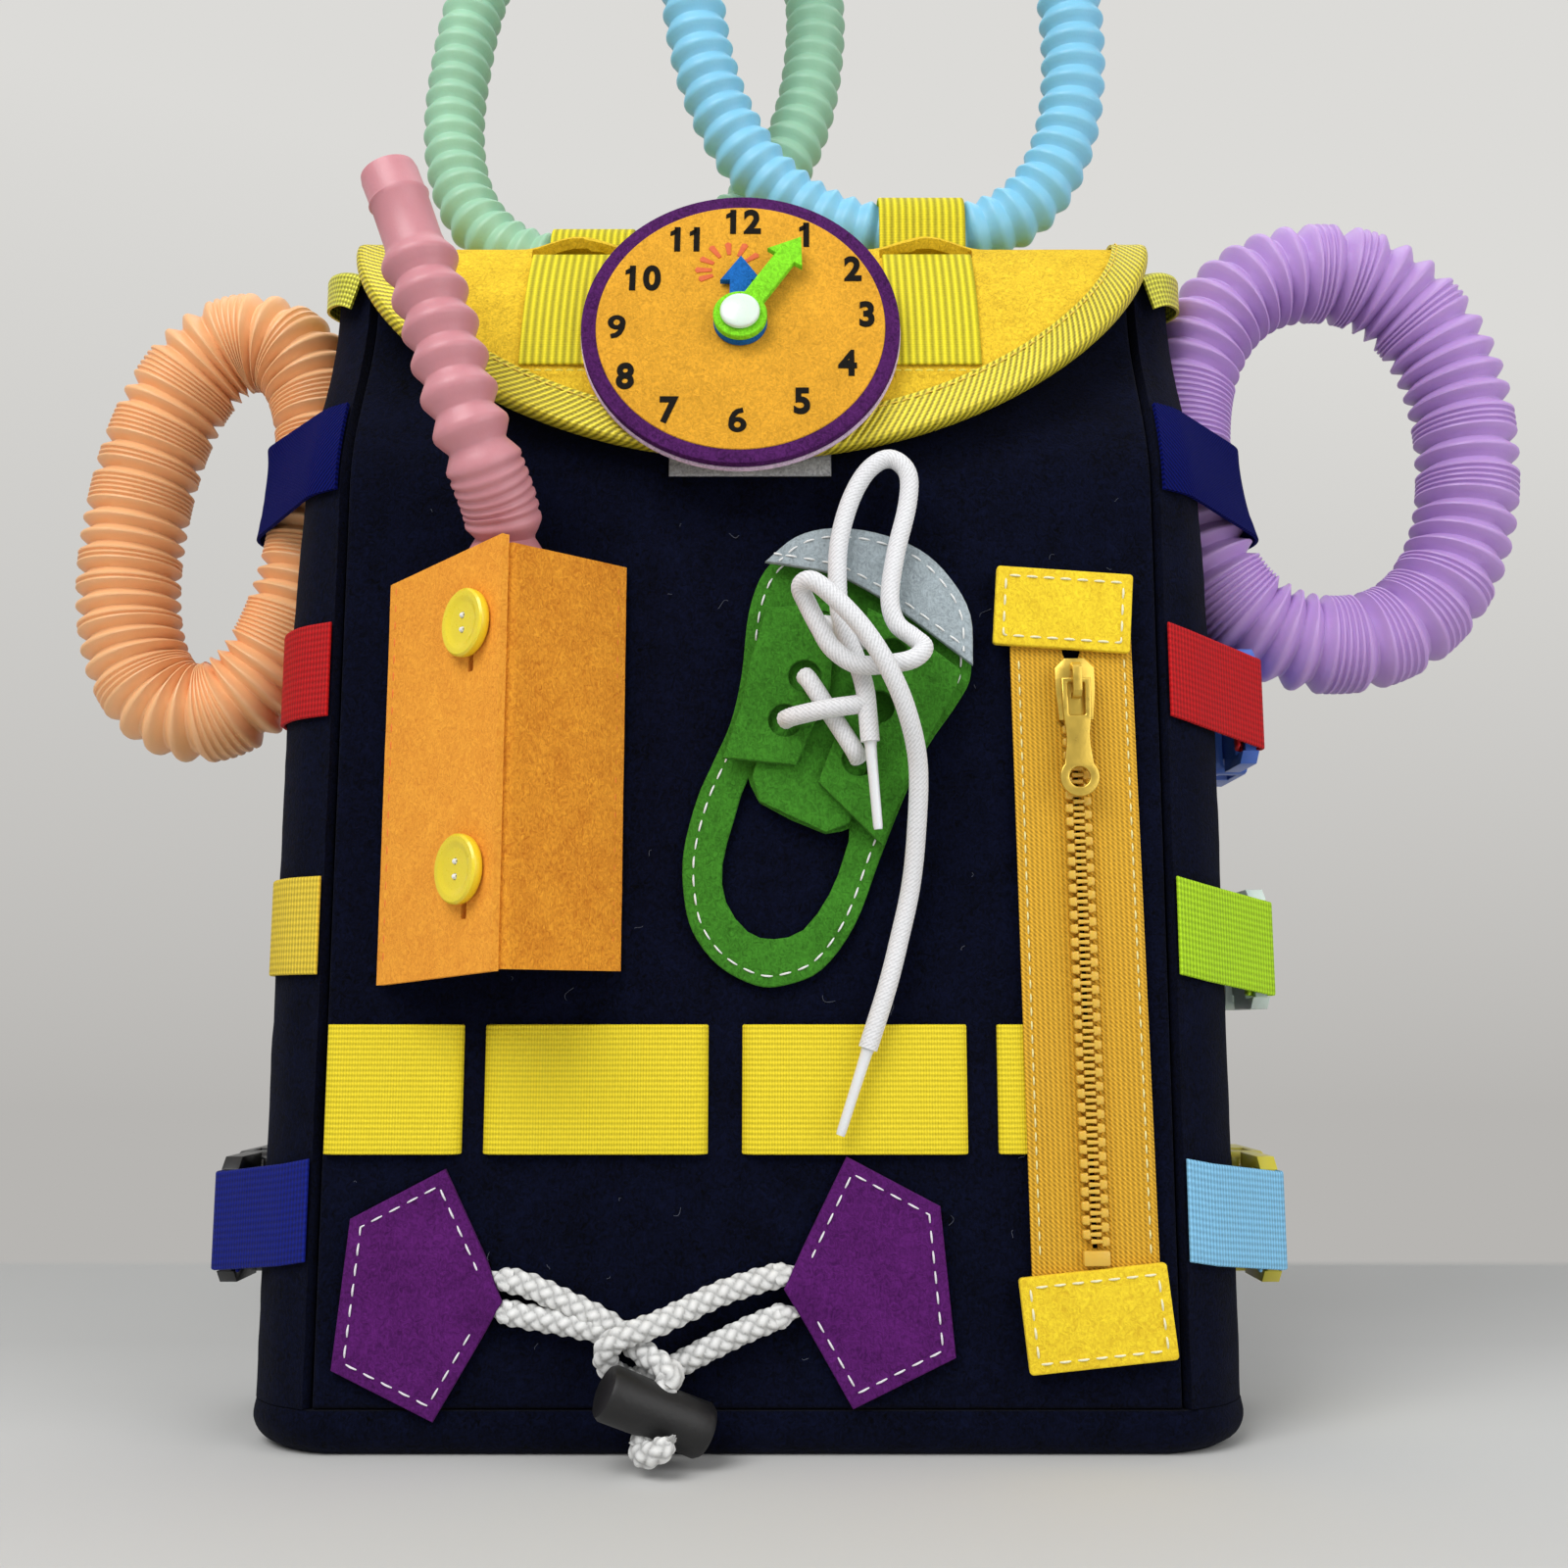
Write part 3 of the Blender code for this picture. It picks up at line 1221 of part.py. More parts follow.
def zip_levels():
    """The Y of the tape's middle, the teeth's middle and the slider's back."""
    tape = -BAG_DEPTH / 2 - 2 * CLEAR - ELASTIC - ZIP_TAPE / 2
    teeth = tape - ZIP_TAPE / 2 - CLEAR - TOOTH_THICKNESS / 2
    slider = teeth - TOOTH_THICKNESS / 2 - CLEAR
    return tape, teeth, slider


def make_zipper():
    gold = woven("zip", (0.68, 0.38, 0.03))
    brass = plastic("teeth", (0.83, 0.45, 0.05), 0.3)
    tape_y, teeth_y, slider_y = zip_levels()
    frame = zip_frame(tape_y)
    length = ZIP_TOP - ZIP_FOOT
    flat_in = Matrix.Rotation(math.radians(90), 4, "X")
    wide, gap, top = ZIP_TAPE_WIDTH / 2, ZIP_GAP / 2, length + ZIP_HIDDEN
    tape = [(-wide, -ZIP_HIDDEN), (wide, -ZIP_HIDDEN), (wide, top), (gap, top), (gap, STOP_HEIGHT),
            (-gap, STOP_HEIGHT), (-gap, top), (-wide, top)]
    flat("zipper_tape", [tape], ZIP_TAPE, gold, frame @ flat_in)

    frame = zip_frame(teeth_y)
    run = SLIDER_TOP - SLIDER_LENGTH / 2 - ZIP_FOOT - STOP_HEIGHT
    flat("zipper_chain", [chain_outline(int(run / TOOTH_PITCH))], TOOTH_THICKNESS, brass, frame @ flat_in)
    make_slider(frame, slider_y - teeth_y)
    make_end_patches(tape_y)


def make_slider(frame, front):
    """The slider's plate with its two side walls and the bridge that holds the pull."""
    steel = material("slider_metal", (0.65, 0.45, 0.10), 0.35, 0.8)
    half = SLIDER_WIDTH / 2
    top = SLIDER_TOP - ZIP_FOOT
    foot = top - SLIDER_LENGTH
    flat_in = Matrix.Rotation(math.radians(90), 4, "X")
    waist = top - half * SLIDER_WAIST_SHARE
    heel = half * SLIDER_HEEL_SHARE
    shape = [(half, top - half / 2), (half / 2, top), (-half / 2, top), (-half, top - half / 2),
             (-half, waist), (-heel, foot), (heel, foot), (half, waist)]
    plate_at = frame @ Matrix.Translation((0, front - SLIDER_PLATE / 2, 0)) @ flat_in
    body = flat("zipper_slider", [[Vector(p) for p in shape]], SLIDER_PLATE, steel, plate_at)
    inner = CHAIN_WIDTH / 2 + CLEAR
    wall_low = front - SLIDER_PLATE / 2
    for side in (-1, 1):
        ends = sorted((side * inner, side * heel))
        wall = box(f"slider_wall_{side}", (ends[0], wall_low, foot + CLEAR),
                   (ends[1], TOOTH_THICKNESS / 2, top - half / 2), matrix=frame)
        boolean(body, wall, "UNION")
    pivot = top - BRIDGE_LENGTH / 2 - BRIDGE_BAR
    room = PULL_THICKNESS + 4 * CLEAR
    low = front - SLIDER_PLATE
    reach = BRIDGE_LENGTH / 2
    root, arch_under, arch_top = low + SLIDER_PLATE / 2, low - room, low - room - BRIDGE_BAR
    outer_low, outer_high = pivot - reach, pivot + reach
    inner_low, inner_high = outer_low + BRIDGE_BAR, outer_high - BRIDGE_BAR
    bridge = [(outer_low, root), (outer_low, arch_under), (inner_low, arch_top), (inner_high, arch_top),
              (outer_high, arch_under), (outer_high, root), (inner_high, root), (inner_high, arch_under),
              (inner_low, arch_under), (inner_low, root)]
    side_on = frame @ Matrix(((0, 0, 1, 0), (0, 1, 0, 0), (1, 0, 0, 0), (0, 0, 0, 1)))
    arch = flat("bridge", [[Vector(p) for p in bridge]], BRIDGE_WIDTH, None, side_on)
    boolean(body, arch, "UNION")

    bar_y = low - room / 2
    window_half = PULL_WINDOW_WIDTH / 2
    head_half = PULL_HEAD_WIDTH / 2
    bar = PULL_THICKNESS / 2
    neck = PULL_NECK_WIDTH / 2
    ring = PULL_LENGTH - PULL_RING_RADIUS
    join = math.degrees(math.asin(neck / PULL_RING_RADIUS))
    shoulder = PULL_WINDOW_LENGTH + bar * 2
    outline = [Vector(p) for p in ((head_half, bar), (-head_half, bar), (-head_half, -shoulder),
                                   (-neck, -shoulder - bar * 2))]
    outline += arc((0, -ring), PULL_RING_RADIUS, 90 + join, 450 - join, 14)
    outline += [Vector((neck, -shoulder - bar * 2)), Vector((head_half, -shoulder))]
    window = moved(rectangle(PULL_WINDOW_WIDTH, PULL_WINDOW_LENGTH), 0, -bar - PULL_WINDOW_LENGTH / 2)
    hole = arc((0, -ring), PULL_HOLE_RADIUS, 30, 360, 11)
    hang = frame @ Matrix.Translation((0, bar_y, pivot)) @ flat_in
    flat("zipper_pull", [outline, window, hole], PULL_THICKNESS, steel, hang)
    print("pull axis", hang.translation)


def make_end_patches(tape_y):
    look = felt("yellow", YELLOW)
    y = tape_y - ZIP_TAPE / 2 - CLEAR - THIN_FELT / 2
    flat("zipper_top_patch", [rectangle(TOP_PATCH_WIDTH, TOP_PATCH_HEIGHT)], THIN_FELT, look,
         on_front(y, ZIP_X - ZIP_TILT - THIN_FELT, ZIP_TOP + TOP_PATCH_HEIGHT / 2 - THIN_FELT, TOP_PATCH_TURN))
    flat("zipper_bottom_patch", [rectangle(BOTTOM_PATCH_WIDTH, BOTTOM_PATCH_HEIGHT)], THIN_FELT, look,
         on_front(y, ZIP_X + ZIP_TILT, ZIP_FOOT - BOTTOM_PATCH_HEIGHT / 2 - 3 * CLEAR, BOTTOM_PATCH_TURN))


# Orange pocket


def pocket_flaps():
    """The left and right flap's middle lines in X and Y, the left one over the right one."""
    base = -BAG_DEPTH / 2 - CLEAR - THIN_FELT / 2
    ridge = Vector((POCKET_RIDGE_X, POCKET_RIDGE_Y))
    left_foot = Vector((POCKET_LEFT, base))
    right_foot = Vector((POCKET_RIGHT, base))
    along = (ridge - left_foot).normalized()
    inward = Vector((-along.y, along.x))
    under = THIN_FELT + CLEAR
    left = [left_foot, left_foot + along * THIN_FELT * 2, ridge]
    tip = ridge + inward * under - along * THIN_FELT * POCKET_TIP_SHARE
    length = (ridge - left_foot).length
    hidden = [tip - along * length * share for share in POCKET_UNDERLAP_SHARES]
    right = [right_foot, right_foot.lerp(tip, 0.5)] + hidden
    return left, right, along, inward


def make_pocket():
    look = felt("orange", (1.0, 0.30, 0.02))
    left, right, along, inward = pocket_flaps()
    height = POCKET_TOP - POCKET_FOOT
    middle = (POCKET_TOP + POCKET_FOOT) / 2
    left_flap = strap("pocket_left_flap", [(p.x, p.y, middle) for p in left], (0, 0, height), THIN_FELT, look)
    strap("pocket_right_flap", [(p.x, p.y, middle) for p in right], (0, 0, height), THIN_FELT, look)
    foot, ridge = left[0], left[-1]
    spot = foot.lerp(ridge, BUTTON_PLACE_SHARE)
    yellow = plastic("button", (0.83, 0.68, 0.03))
    for name, z in zip(("pocket_upper_button", "pocket_lower_button"), BUTTON_HEIGHTS):
        frame = Matrix(((along.x, 0, -inward.x), (along.y, 0, -inward.y), (0, 1, 0))).to_4x4()
        frame = Matrix.Translation((spot.x, spot.y, z)) @ frame
        face = THIN_FELT / 2 + CLEAR
        rim = face + BUTTON_THICKNESS
        well_radius, rim_radius, well_depth = BUTTON_WELL_SHARES
        well = face + BUTTON_THICKNESS * well_depth
        profile = [(0, well), (BUTTON_RADIUS * well_radius, well), (BUTTON_RADIUS * rim_radius, rim),
                   (BUTTON_RADIUS - EDGE_ROUND, rim), (BUTTON_RADIUS, face + BUTTON_THICKNESS / 2),
                   (BUTTON_RADIUS - EDGE_ROUND, face), (BUTTON_SHANK_RADIUS, face),
                   (BUTTON_SHANK_RADIUS, -THIN_FELT / 2), (0, -THIN_FELT / 2)]
        lathe(name, list(reversed(profile)), yellow, frame, 16)
        hole = box(name + "_hole", (-BUTTONHOLE_WIDTH / 2, -BUTTONHOLE_LENGTH * BUTTONHOLE_LOW_SHARE, -CUT_OVERRUN),
                   (BUTTONHOLE_WIDTH / 2, BUTTONHOLE_LENGTH * BUTTONHOLE_HIGH_SHARE, CUT_OVERRUN), matrix=frame)
        boolean(left_flap, hole)


# Felt shoe, in shares of its width and height from its lower left corner

SHOE_SHARES = ((0.283, 0.916), (0.226, 0.820), (0.201, 0.676), (0.164, 0.572), (0.107, 0.488), (0.050, 0.404),
               (0.006, 0.292), (0.006, 0.200), (0.038, 0.116), (0.126, 0.044), (0.252, 0.002), (0.352, 0.002),
               (0.478, 0.036), (0.591, 0.132), (0.679, 0.276), (0.755, 0.396), (0.843, 0.516), (0.956, 0.620),
               (1.000, 0.684), (0.987, 0.800), (0.918, 0.880), (0.818, 0.944), (0.668, 0.982), (0.528, 0.992),
               (0.390, 0.972))
HEEL_SHARES = ((0.226, 0.450), (0.176, 0.356), (0.138, 0.260), (0.151, 0.180), (0.226, 0.116), (0.314, 0.100),
               (0.415, 0.120), (0.503, 0.196), (0.553, 0.276), (0.573, 0.340), (0.491, 0.328), (0.264, 0.396))
TOE_SHARES = ((0.283, 0.924), (0.390, 0.980), (0.516, 1.000), (0.667, 0.990), (0.820, 0.952), (0.925, 0.888),
              (0.994, 0.804), (1.000, 0.692), (0.805, 0.788), (0.690, 0.840), (0.541, 0.892), (0.400, 0.912))
TONGUE_SHARES = ((0.24, 0.450), (0.264, 0.396), (0.491, 0.328), (0.573, 0.348), (0.680, 0.560), (0.640, 0.760),
                 (0.420, 0.780), (0.300, 0.600))
LEFT_EYESTAY_SHARES = ((0.289, 0.820), (0.516, 0.832), (0.522, 0.740), (0.510, 0.644), (0.440, 0.540),
                       (0.390, 0.472), (0.140, 0.488), (0.200, 0.600), (0.232, 0.700))
RIGHT_EYESTAY_SHARES = ((0.600, 0.660), (0.465, 0.436), (0.685, 0.296), (0.755, 0.410), (0.843, 0.530),
                        (0.940, 0.640), (0.960, 0.680), (0.760, 0.780), (0.640, 0.820))
EYELET_SHARES = ((0.484, 0.780), (0.421, 0.667), (0.352, 0.570))
RIGHT_EYELET_SHARES = ((0.720, 0.716), (0.672, 0.600), (0.604, 0.484))


def shoe_points(shares):
    return [Vector((SHOE_LEFT + x * SHOE_WIDTH, SHOE_FOOT + z * SHOE_HEIGHT)) for x, z in shares]


def closed_smooth(points, steps=2):
    ring = list(points)
    long = smooth(ring[-2:] + ring + ring[:3], steps)
    return long[2 * steps:(len(ring) + 2) * steps]


def layer_y(level):
    """The middle of a felt layer on the front panel, counted from the panel outwards."""
    return -BAG_DEPTH / 2 - CLEAR - THIN_FELT / 2 - level * (THIN_FELT + CLEAR)


def make_shoe():
    green = felt("green", (0.05, 0.20, 0.02))
    flat("shoe_upper", [closed_smooth(shoe_points(SHOE_SHARES)), shoe_points(HEEL_SHARES)], THIN_FELT, green,
         on_front(layer_y(0)))
    grey = felt("toe", (0.40, 0.45, 0.50))
    flat("shoe_toe_cap", [shoe_points(TOE_SHARES)], THIN_FELT, grey, on_front(layer_y(2)))
    flat("shoe_tongue", [shoe_points(TONGUE_SHARES)], THIN_FELT, green, on_front(layer_y(1)))
    for name, outline, eyelets in (("shoe_left_eyestay", LEFT_EYESTAY_SHARES, EYELET_SHARES),
                                   ("shoe_right_eyestay", RIGHT_EYESTAY_SHARES, RIGHT_EYELET_SHARES)):
        holes = [arc(c, EYELET_RADIUS, 30, 360, 11) for c in shoe_points(eyelets)]
        flat(name, [shoe_points(outline)] + holes, THIN_FELT, green, on_front(layer_y(2)))
    make_laces()


# The bow: the short end, up and round the loop, round behind the knot and over it, and the long end
SHOELACE_ROUTE = (
    (0.0306, -0.0586, 0.1741), (0.0300, -0.0588, 0.1812), (0.0292, -0.0588, 0.1882), (0.0268, -0.0582, 0.1964),
    (0.0239, -0.0580, 0.2036), (0.0227, -0.0570, 0.2128), (0.0231, -0.0555, 0.2260), (0.0262, -0.0545, 0.2380),
    (0.0309, -0.0540, 0.2464), (0.0365, -0.0540, 0.2494), (0.0410, -0.0545, 0.2455), (0.0409, -0.0550, 0.2370),
    (0.0376, -0.0565, 0.2232), (0.0359, -0.0580, 0.2112), (0.0375, -0.0585, 0.2044), (0.0416, -0.0595, 0.2006),
    (0.0440, -0.0625, 0.1972), (0.0411, -0.0650, 0.1938), (0.0353, -0.0648, 0.1926), (0.0273, -0.0644, 0.1925),
    (0.0212, -0.0646, 0.1964), (0.0178, -0.0652, 0.2018), (0.0149, -0.0660, 0.2073), (0.0131, -0.0685, 0.2112),
    (0.0158, -0.0712, 0.2121), (0.0210, -0.0716, 0.2081), (0.0282, -0.0716, 0.2002), (0.0344, -0.0706, 0.1906),
    (0.0394, -0.0665, 0.1797), (0.0424, -0.0600, 0.1675), (0.0422, -0.0545, 0.1515), (0.0409, -0.0510, 0.1383),
    (0.0382, -0.0500, 0.1261), (0.0348, -0.0508, 0.1133), (0.0298, -0.0510, 0.0980),
)


CROSSING_END_SHARES = (0.35, 0.15)
CROSSING_SHARES = (0.12, 0.5, 0.88)


def lace_with_aglets(look):
    """The bow's tube, thinner past both ends, where the aglets are."""
    points = Route(smooth(SHOELACE_ROUTE, 4)).evenly(LACE_POINTS)
    shares = [1] * len(points)
    thin = AGLET_RADIUS / LACE_RADIUS
    for end, before in ((points[0], points[1]), (points[-1], points[-2])):
        run = (end - before).normalized()
        tip = [end + run * CLEAR, end + run * AGLET_LENGTH]
        if before is points[1]:
            points = list(reversed(tip)) + points
            shares = [thin, thin] + shares
        else:
            points = points + tip
            shares = shares + [thin, thin]
    return tube("shoelace", points, LACE_RADIUS, look, radii=shares)


def make_laces():
    """The lace's crossings between the eyelets and its bow, as the one lace that they are."""
    white = felt("lace", (0.85, 0.85, 0.85))
    seat = layer_y(2) - THIN_FELT / 2 - CLEAR - LACE_RADIUS
    deep = layer_y(1) - THIN_FELT / 2 - CLEAR - LACE_RADIUS
    left = shoe_points(EYELET_SHARES)
    right = shoe_points(RIGHT_EYELET_SHARES)
    nip = LACE_RADIUS / 5
    lace = lace_with_aglets(white)
    over = seat - 2 * LACE_RADIUS + nip
    knot_share, tuck_share = CROSSING_END_SHARES
    crossings = ((left[0], right[0].lerp(left[0], knot_share), seat, seat - LACE_RADIUS - nip),
                 (left[1], right[2], seat, deep),
                 (left[2], right[1].lerp(left[2], tuck_share), over, over))
    for k, (start, end, lift, last) in enumerate(crossings):
        near, half, far = [start.lerp(end, share) for share in CROSSING_SHARES]
        path = [(start.x, deep, start.y), (near.x, (deep + lift) / 2 if lift < seat else lift, near.y),
                (half.x, lift, half.y), (far.x, lift, far.y), (end.x, last, end.y)]
        boolean(lace, tube(f"crossing_{k}", smooth(path, 2), LACE_RADIUS, white), "UNION")


# Toggle closure

PENTAGON_SHARES = ((0.13, 0.5), (-0.42, 0.30), (-0.5, -0.30), (0.10, -0.5), (0.5, -0.02))


def pentagon(centre, side):
    return [Vector((centre[0] + side * x * PENTAGON_WIDTH, centre[1] + z * PENTAGON_HEIGHT))
            for x, z in PENTAGON_SHARES]


ROPE_LEFT_ROUTE = (
    (-0.0589, -0.0484, 0.0422), (-0.0533, -0.0484, 0.0408), (-0.0448, -0.0484, 0.0371), (-0.0364, -0.0484, 0.0332),
    (-0.0301, -0.0486, 0.0293), (-0.0258, -0.0515, 0.0262),
)
ROPE_LEFT_LEG = (
    (-0.0589, -0.0484, 0.0346), (-0.0531, -0.0484, 0.0334), (-0.0447, -0.0484, 0.0320), (-0.0376, -0.0484, 0.0306),
    (-0.0320, -0.0485, 0.0295),
)
ROPE_RIGHT_ROUTE = (
    (0.0084, -0.0484, 0.0434), (0.0018, -0.0484, 0.0417), (-0.0066, -0.0488, 0.0390), (-0.0148, -0.0505, 0.0354),
    (-0.0221, -0.0538, 0.0325), (-0.0286, -0.0546, 0.0304), (-0.0336, -0.0536, 0.0270), (-0.0332, -0.0500, 0.0218),
    (-0.0278, -0.0484, 0.0187), (-0.0195, -0.0484, 0.0210), (-0.0101, -0.0484, 0.0256), (-0.0005, -0.0484, 0.0302),
    (0.0084, -0.0484, 0.0338),
)


def toggle_frame():
    """The toggle's own frame: Z along it, X down through its hole."""
    return (Matrix.Translation(TOGGLE_CENTRE) @ Matrix.Rotation(math.radians(TOGGLE_YAW), 4, "Z")
            @ Matrix.Rotation(math.radians(TOGGLE_TURN + 90), 4, "Y"))


def make_toggle_closure():
    purple = felt("purple", (0.14, 0.02, 0.22))
    white = woven("rope", (0.75, 0.75, 0.75))
    flat("left_rope_patch", [pentagon(LEFT_PENTAGON, 1)], THIN_FELT, purple, on_front(layer_y(0)))
    flat("right_rope_patch", [pentagon(RIGHT_PENTAGON, -1)], THIN_FELT, purple, on_front(layer_y(0)))
    frame = toggle_frame()
    reach = (-TOGGLE_RADIUS - ROPE_RADIUS, -TOGGLE_RADIUS, 0, TUFT_LENGTH)
    through = [frame @ Vector((x, 0, 0)) for x in reach]
    rope = tube("rope_left", smooth(list(ROPE_LEFT_ROUTE) + through, 2), ROPE_RADIUS, white)
    boolean(rope, tube("rope_left_leg", smooth(ROPE_LEFT_LEG, 2), ROPE_RADIUS, white), "UNION")
    tube("rope_right", smooth(ROPE_RIGHT_ROUTE, 2), ROPE_RADIUS, white)
    half = TOGGLE_LENGTH / 2
    profile = [(0, half), (TOGGLE_RADIUS - EDGE_ROUND, half), (TOGGLE_RADIUS, half - EDGE_ROUND),
               (TOGGLE_RADIUS, -half + EDGE_ROUND), (TOGGLE_RADIUS - EDGE_ROUND, -half), (0, -half)]
    black = plastic("toggle", (0.012, 0.012, 0.014), 0.5)
    toggle = lathe("toggle", list(reversed(profile)), black, frame, 20)
    deep = TOGGLE_RADIUS + CUT_OVERRUN
    drill = [(0, -deep), (TOGGLE_HOLE_RADIUS, -deep), (TOGGLE_HOLE_RADIUS, deep), (0, deep)]
    boolean(toggle, lathe("toggle_hole", drill, None, frame @ Matrix.Rotation(math.radians(90), 4, "Y"), 12))


# Back of the bag


# How far down, out and off the back panel the strap is along its way
SHOULDER_SHARES = ((0, 0, 0), (0.04, 0, 0), (0.12, 0.03, 0.25), (0.30, 0.20, 0.95), (0.55, 0.55, 1),
                   (0.78, 0.85, 0.55), (0.90, 0.97, 0.17), (0.96, 1, 0), (1, 1, 0))


def shoulder_path(side):
    """A padded strap from the top of the back panel, out past the belts and in to its foot."""
    wall = BAG_DEPTH / 2 + CLEAR + SHOULDER_STRAP / 2
    top_x = PANEL_WIDTH / 2 - SHOULDER_INSET
    spread = SHOULDER_INSET - SHOULDER_FOOT_INSET
    points = [(side * (top_x + spread * out), wall + SHOULDER_STAND_OFF * off,
               SHOULDER_TOP - (SHOULDER_TOP - SHOULDER_FOOT) * down) for down, out, off in SHOULDER_SHARES]
    return [Vector((p.x, max(p.y, wall), p.z)) for p in smooth(points, 3)]


# How far across and off the back panel the grab handle is along its way
HANDLE_SHARES = ((-1, 0), (-0.75, 0), (-0.5, 0.6), (0, 1), (0.5, 0.6), (0.75, 0), (1, 0))


def make_back():
    navy = felt("strap_navy", NAVY)
    black = woven("black", (0.01, 0.01, 0.012))
    for name, side in (("left_shoulder_strap", -1), ("right_shoulder_strap", 1)):
        strap(name, shoulder_path(side), (SHOULDER_STRAP_WIDTH, 0, 0), SHOULDER_STRAP, navy)
    wall = BAG_DEPTH / 2 + CLEAR + WEBBING
    grip = [(HANDLE_SPAN / 2 * across, wall + HANDLE_STAND_OFF * off) for across, off in HANDLE_SHARES]
    path = [(p.x, p.y, HANDLE_HEIGHT) for p in smooth(grip, 3)]
    strap("grab_handle", path, (0, 0, WEBBING_WIDTH), WEBBING, black)


def pivot(name, place, pieces):
    """An empty on a joint's axis that carries the pieces which move about it."""
    empty = bpy.data.objects.new(name, None)
    empty.location = place
    PARTS.objects.link(empty)
    for piece in pieces:
        piece.parent = empty
        piece.matrix_parent_inverse = Matrix.Translation(place).inverted()


FLAP_PIECES = ("flap", "flap_binding", "left_flap_elastic", "right_flap_elastic", "green_tube", "blue_tube",
               "clock_face", "clock_pin", "closure_hook_patch")

make_bag()
make_clock(make_flap())
make_pop_tubes()
make_side_straps()
make_pencil_elastic()
make_zipper()
make_pocket()
make_shoe()
make_toggle_closure()
make_back()
for piece in PARTS.objects:
    if piece.type == "MESH":
        piece.data.shade_smooth()
        piece.data.set_sharp_from_angle(angle=math.radians(35))
pivot("flap_pivot", (0, BAG_DEPTH / 2, HINGE_Z), [bpy.data.objects[name] for name in FLAP_PIECES])
pivot("purple_ring_pivot", (RING_X, RING_Y, SIDE_ELASTIC_HEIGHT), [bpy.data.objects["purple_tube"]])
pivot("peach_ring_pivot", (-RING_X, RING_Y, SIDE_ELASTIC_HEIGHT), [bpy.data.objects["peach_tube"]])
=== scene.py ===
"""The looks of the busy board backpack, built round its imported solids. Metres, +Z up, front towards -Y."""

import math

import bmesh
import bpy
import numpy as np
from mathutils import Matrix, Vector, noise


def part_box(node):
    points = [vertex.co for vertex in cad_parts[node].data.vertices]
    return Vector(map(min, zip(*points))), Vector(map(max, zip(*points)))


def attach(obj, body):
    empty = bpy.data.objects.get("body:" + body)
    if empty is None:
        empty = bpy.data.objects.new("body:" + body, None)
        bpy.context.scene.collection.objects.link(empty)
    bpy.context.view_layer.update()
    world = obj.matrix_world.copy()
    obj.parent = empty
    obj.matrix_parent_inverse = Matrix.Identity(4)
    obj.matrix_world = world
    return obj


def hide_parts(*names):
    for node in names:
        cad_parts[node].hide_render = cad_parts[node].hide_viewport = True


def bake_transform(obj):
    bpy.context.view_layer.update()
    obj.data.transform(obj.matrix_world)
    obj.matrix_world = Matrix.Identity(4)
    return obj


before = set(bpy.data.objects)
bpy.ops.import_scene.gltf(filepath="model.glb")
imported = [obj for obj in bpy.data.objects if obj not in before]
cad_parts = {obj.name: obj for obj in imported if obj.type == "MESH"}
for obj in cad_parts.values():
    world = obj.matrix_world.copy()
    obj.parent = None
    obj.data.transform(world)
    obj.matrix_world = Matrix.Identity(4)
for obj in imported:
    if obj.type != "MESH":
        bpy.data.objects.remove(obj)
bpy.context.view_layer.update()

# Sizes that part.py's solids have, repeated here
CLEAR = 0.0003
PANEL_WIDTH = 0.213
BAG_DEPTH = 0.090
FELT = 0.003
THIN_FELT = 0.002
FOOT_HEIGHT = 0.011
PANEL_TOP = 0.306
BACK_TOP = 0.313
LEAN_START = 0.245
LEAN_BACK = 0.022
GUSSET_TOP = 0.318
TAPE = 0.001
ELASTIC = 0.001
WEBBING = 0.0012
WEBBING_WIDTH = 0.025
FRONT = -BAG_DEPTH / 2


# Turns a flat piece, drawn in X and Y, up into X and Z
UPRIGHT = Matrix.Rotation(math.radians(90), 4, "X")


def in_scene(name, data):
    """A new object that shows the data."""
    obj = bpy.data.objects.new(name, data)
    bpy.context.scene.collection.objects.link(obj)
    return obj


# Looks


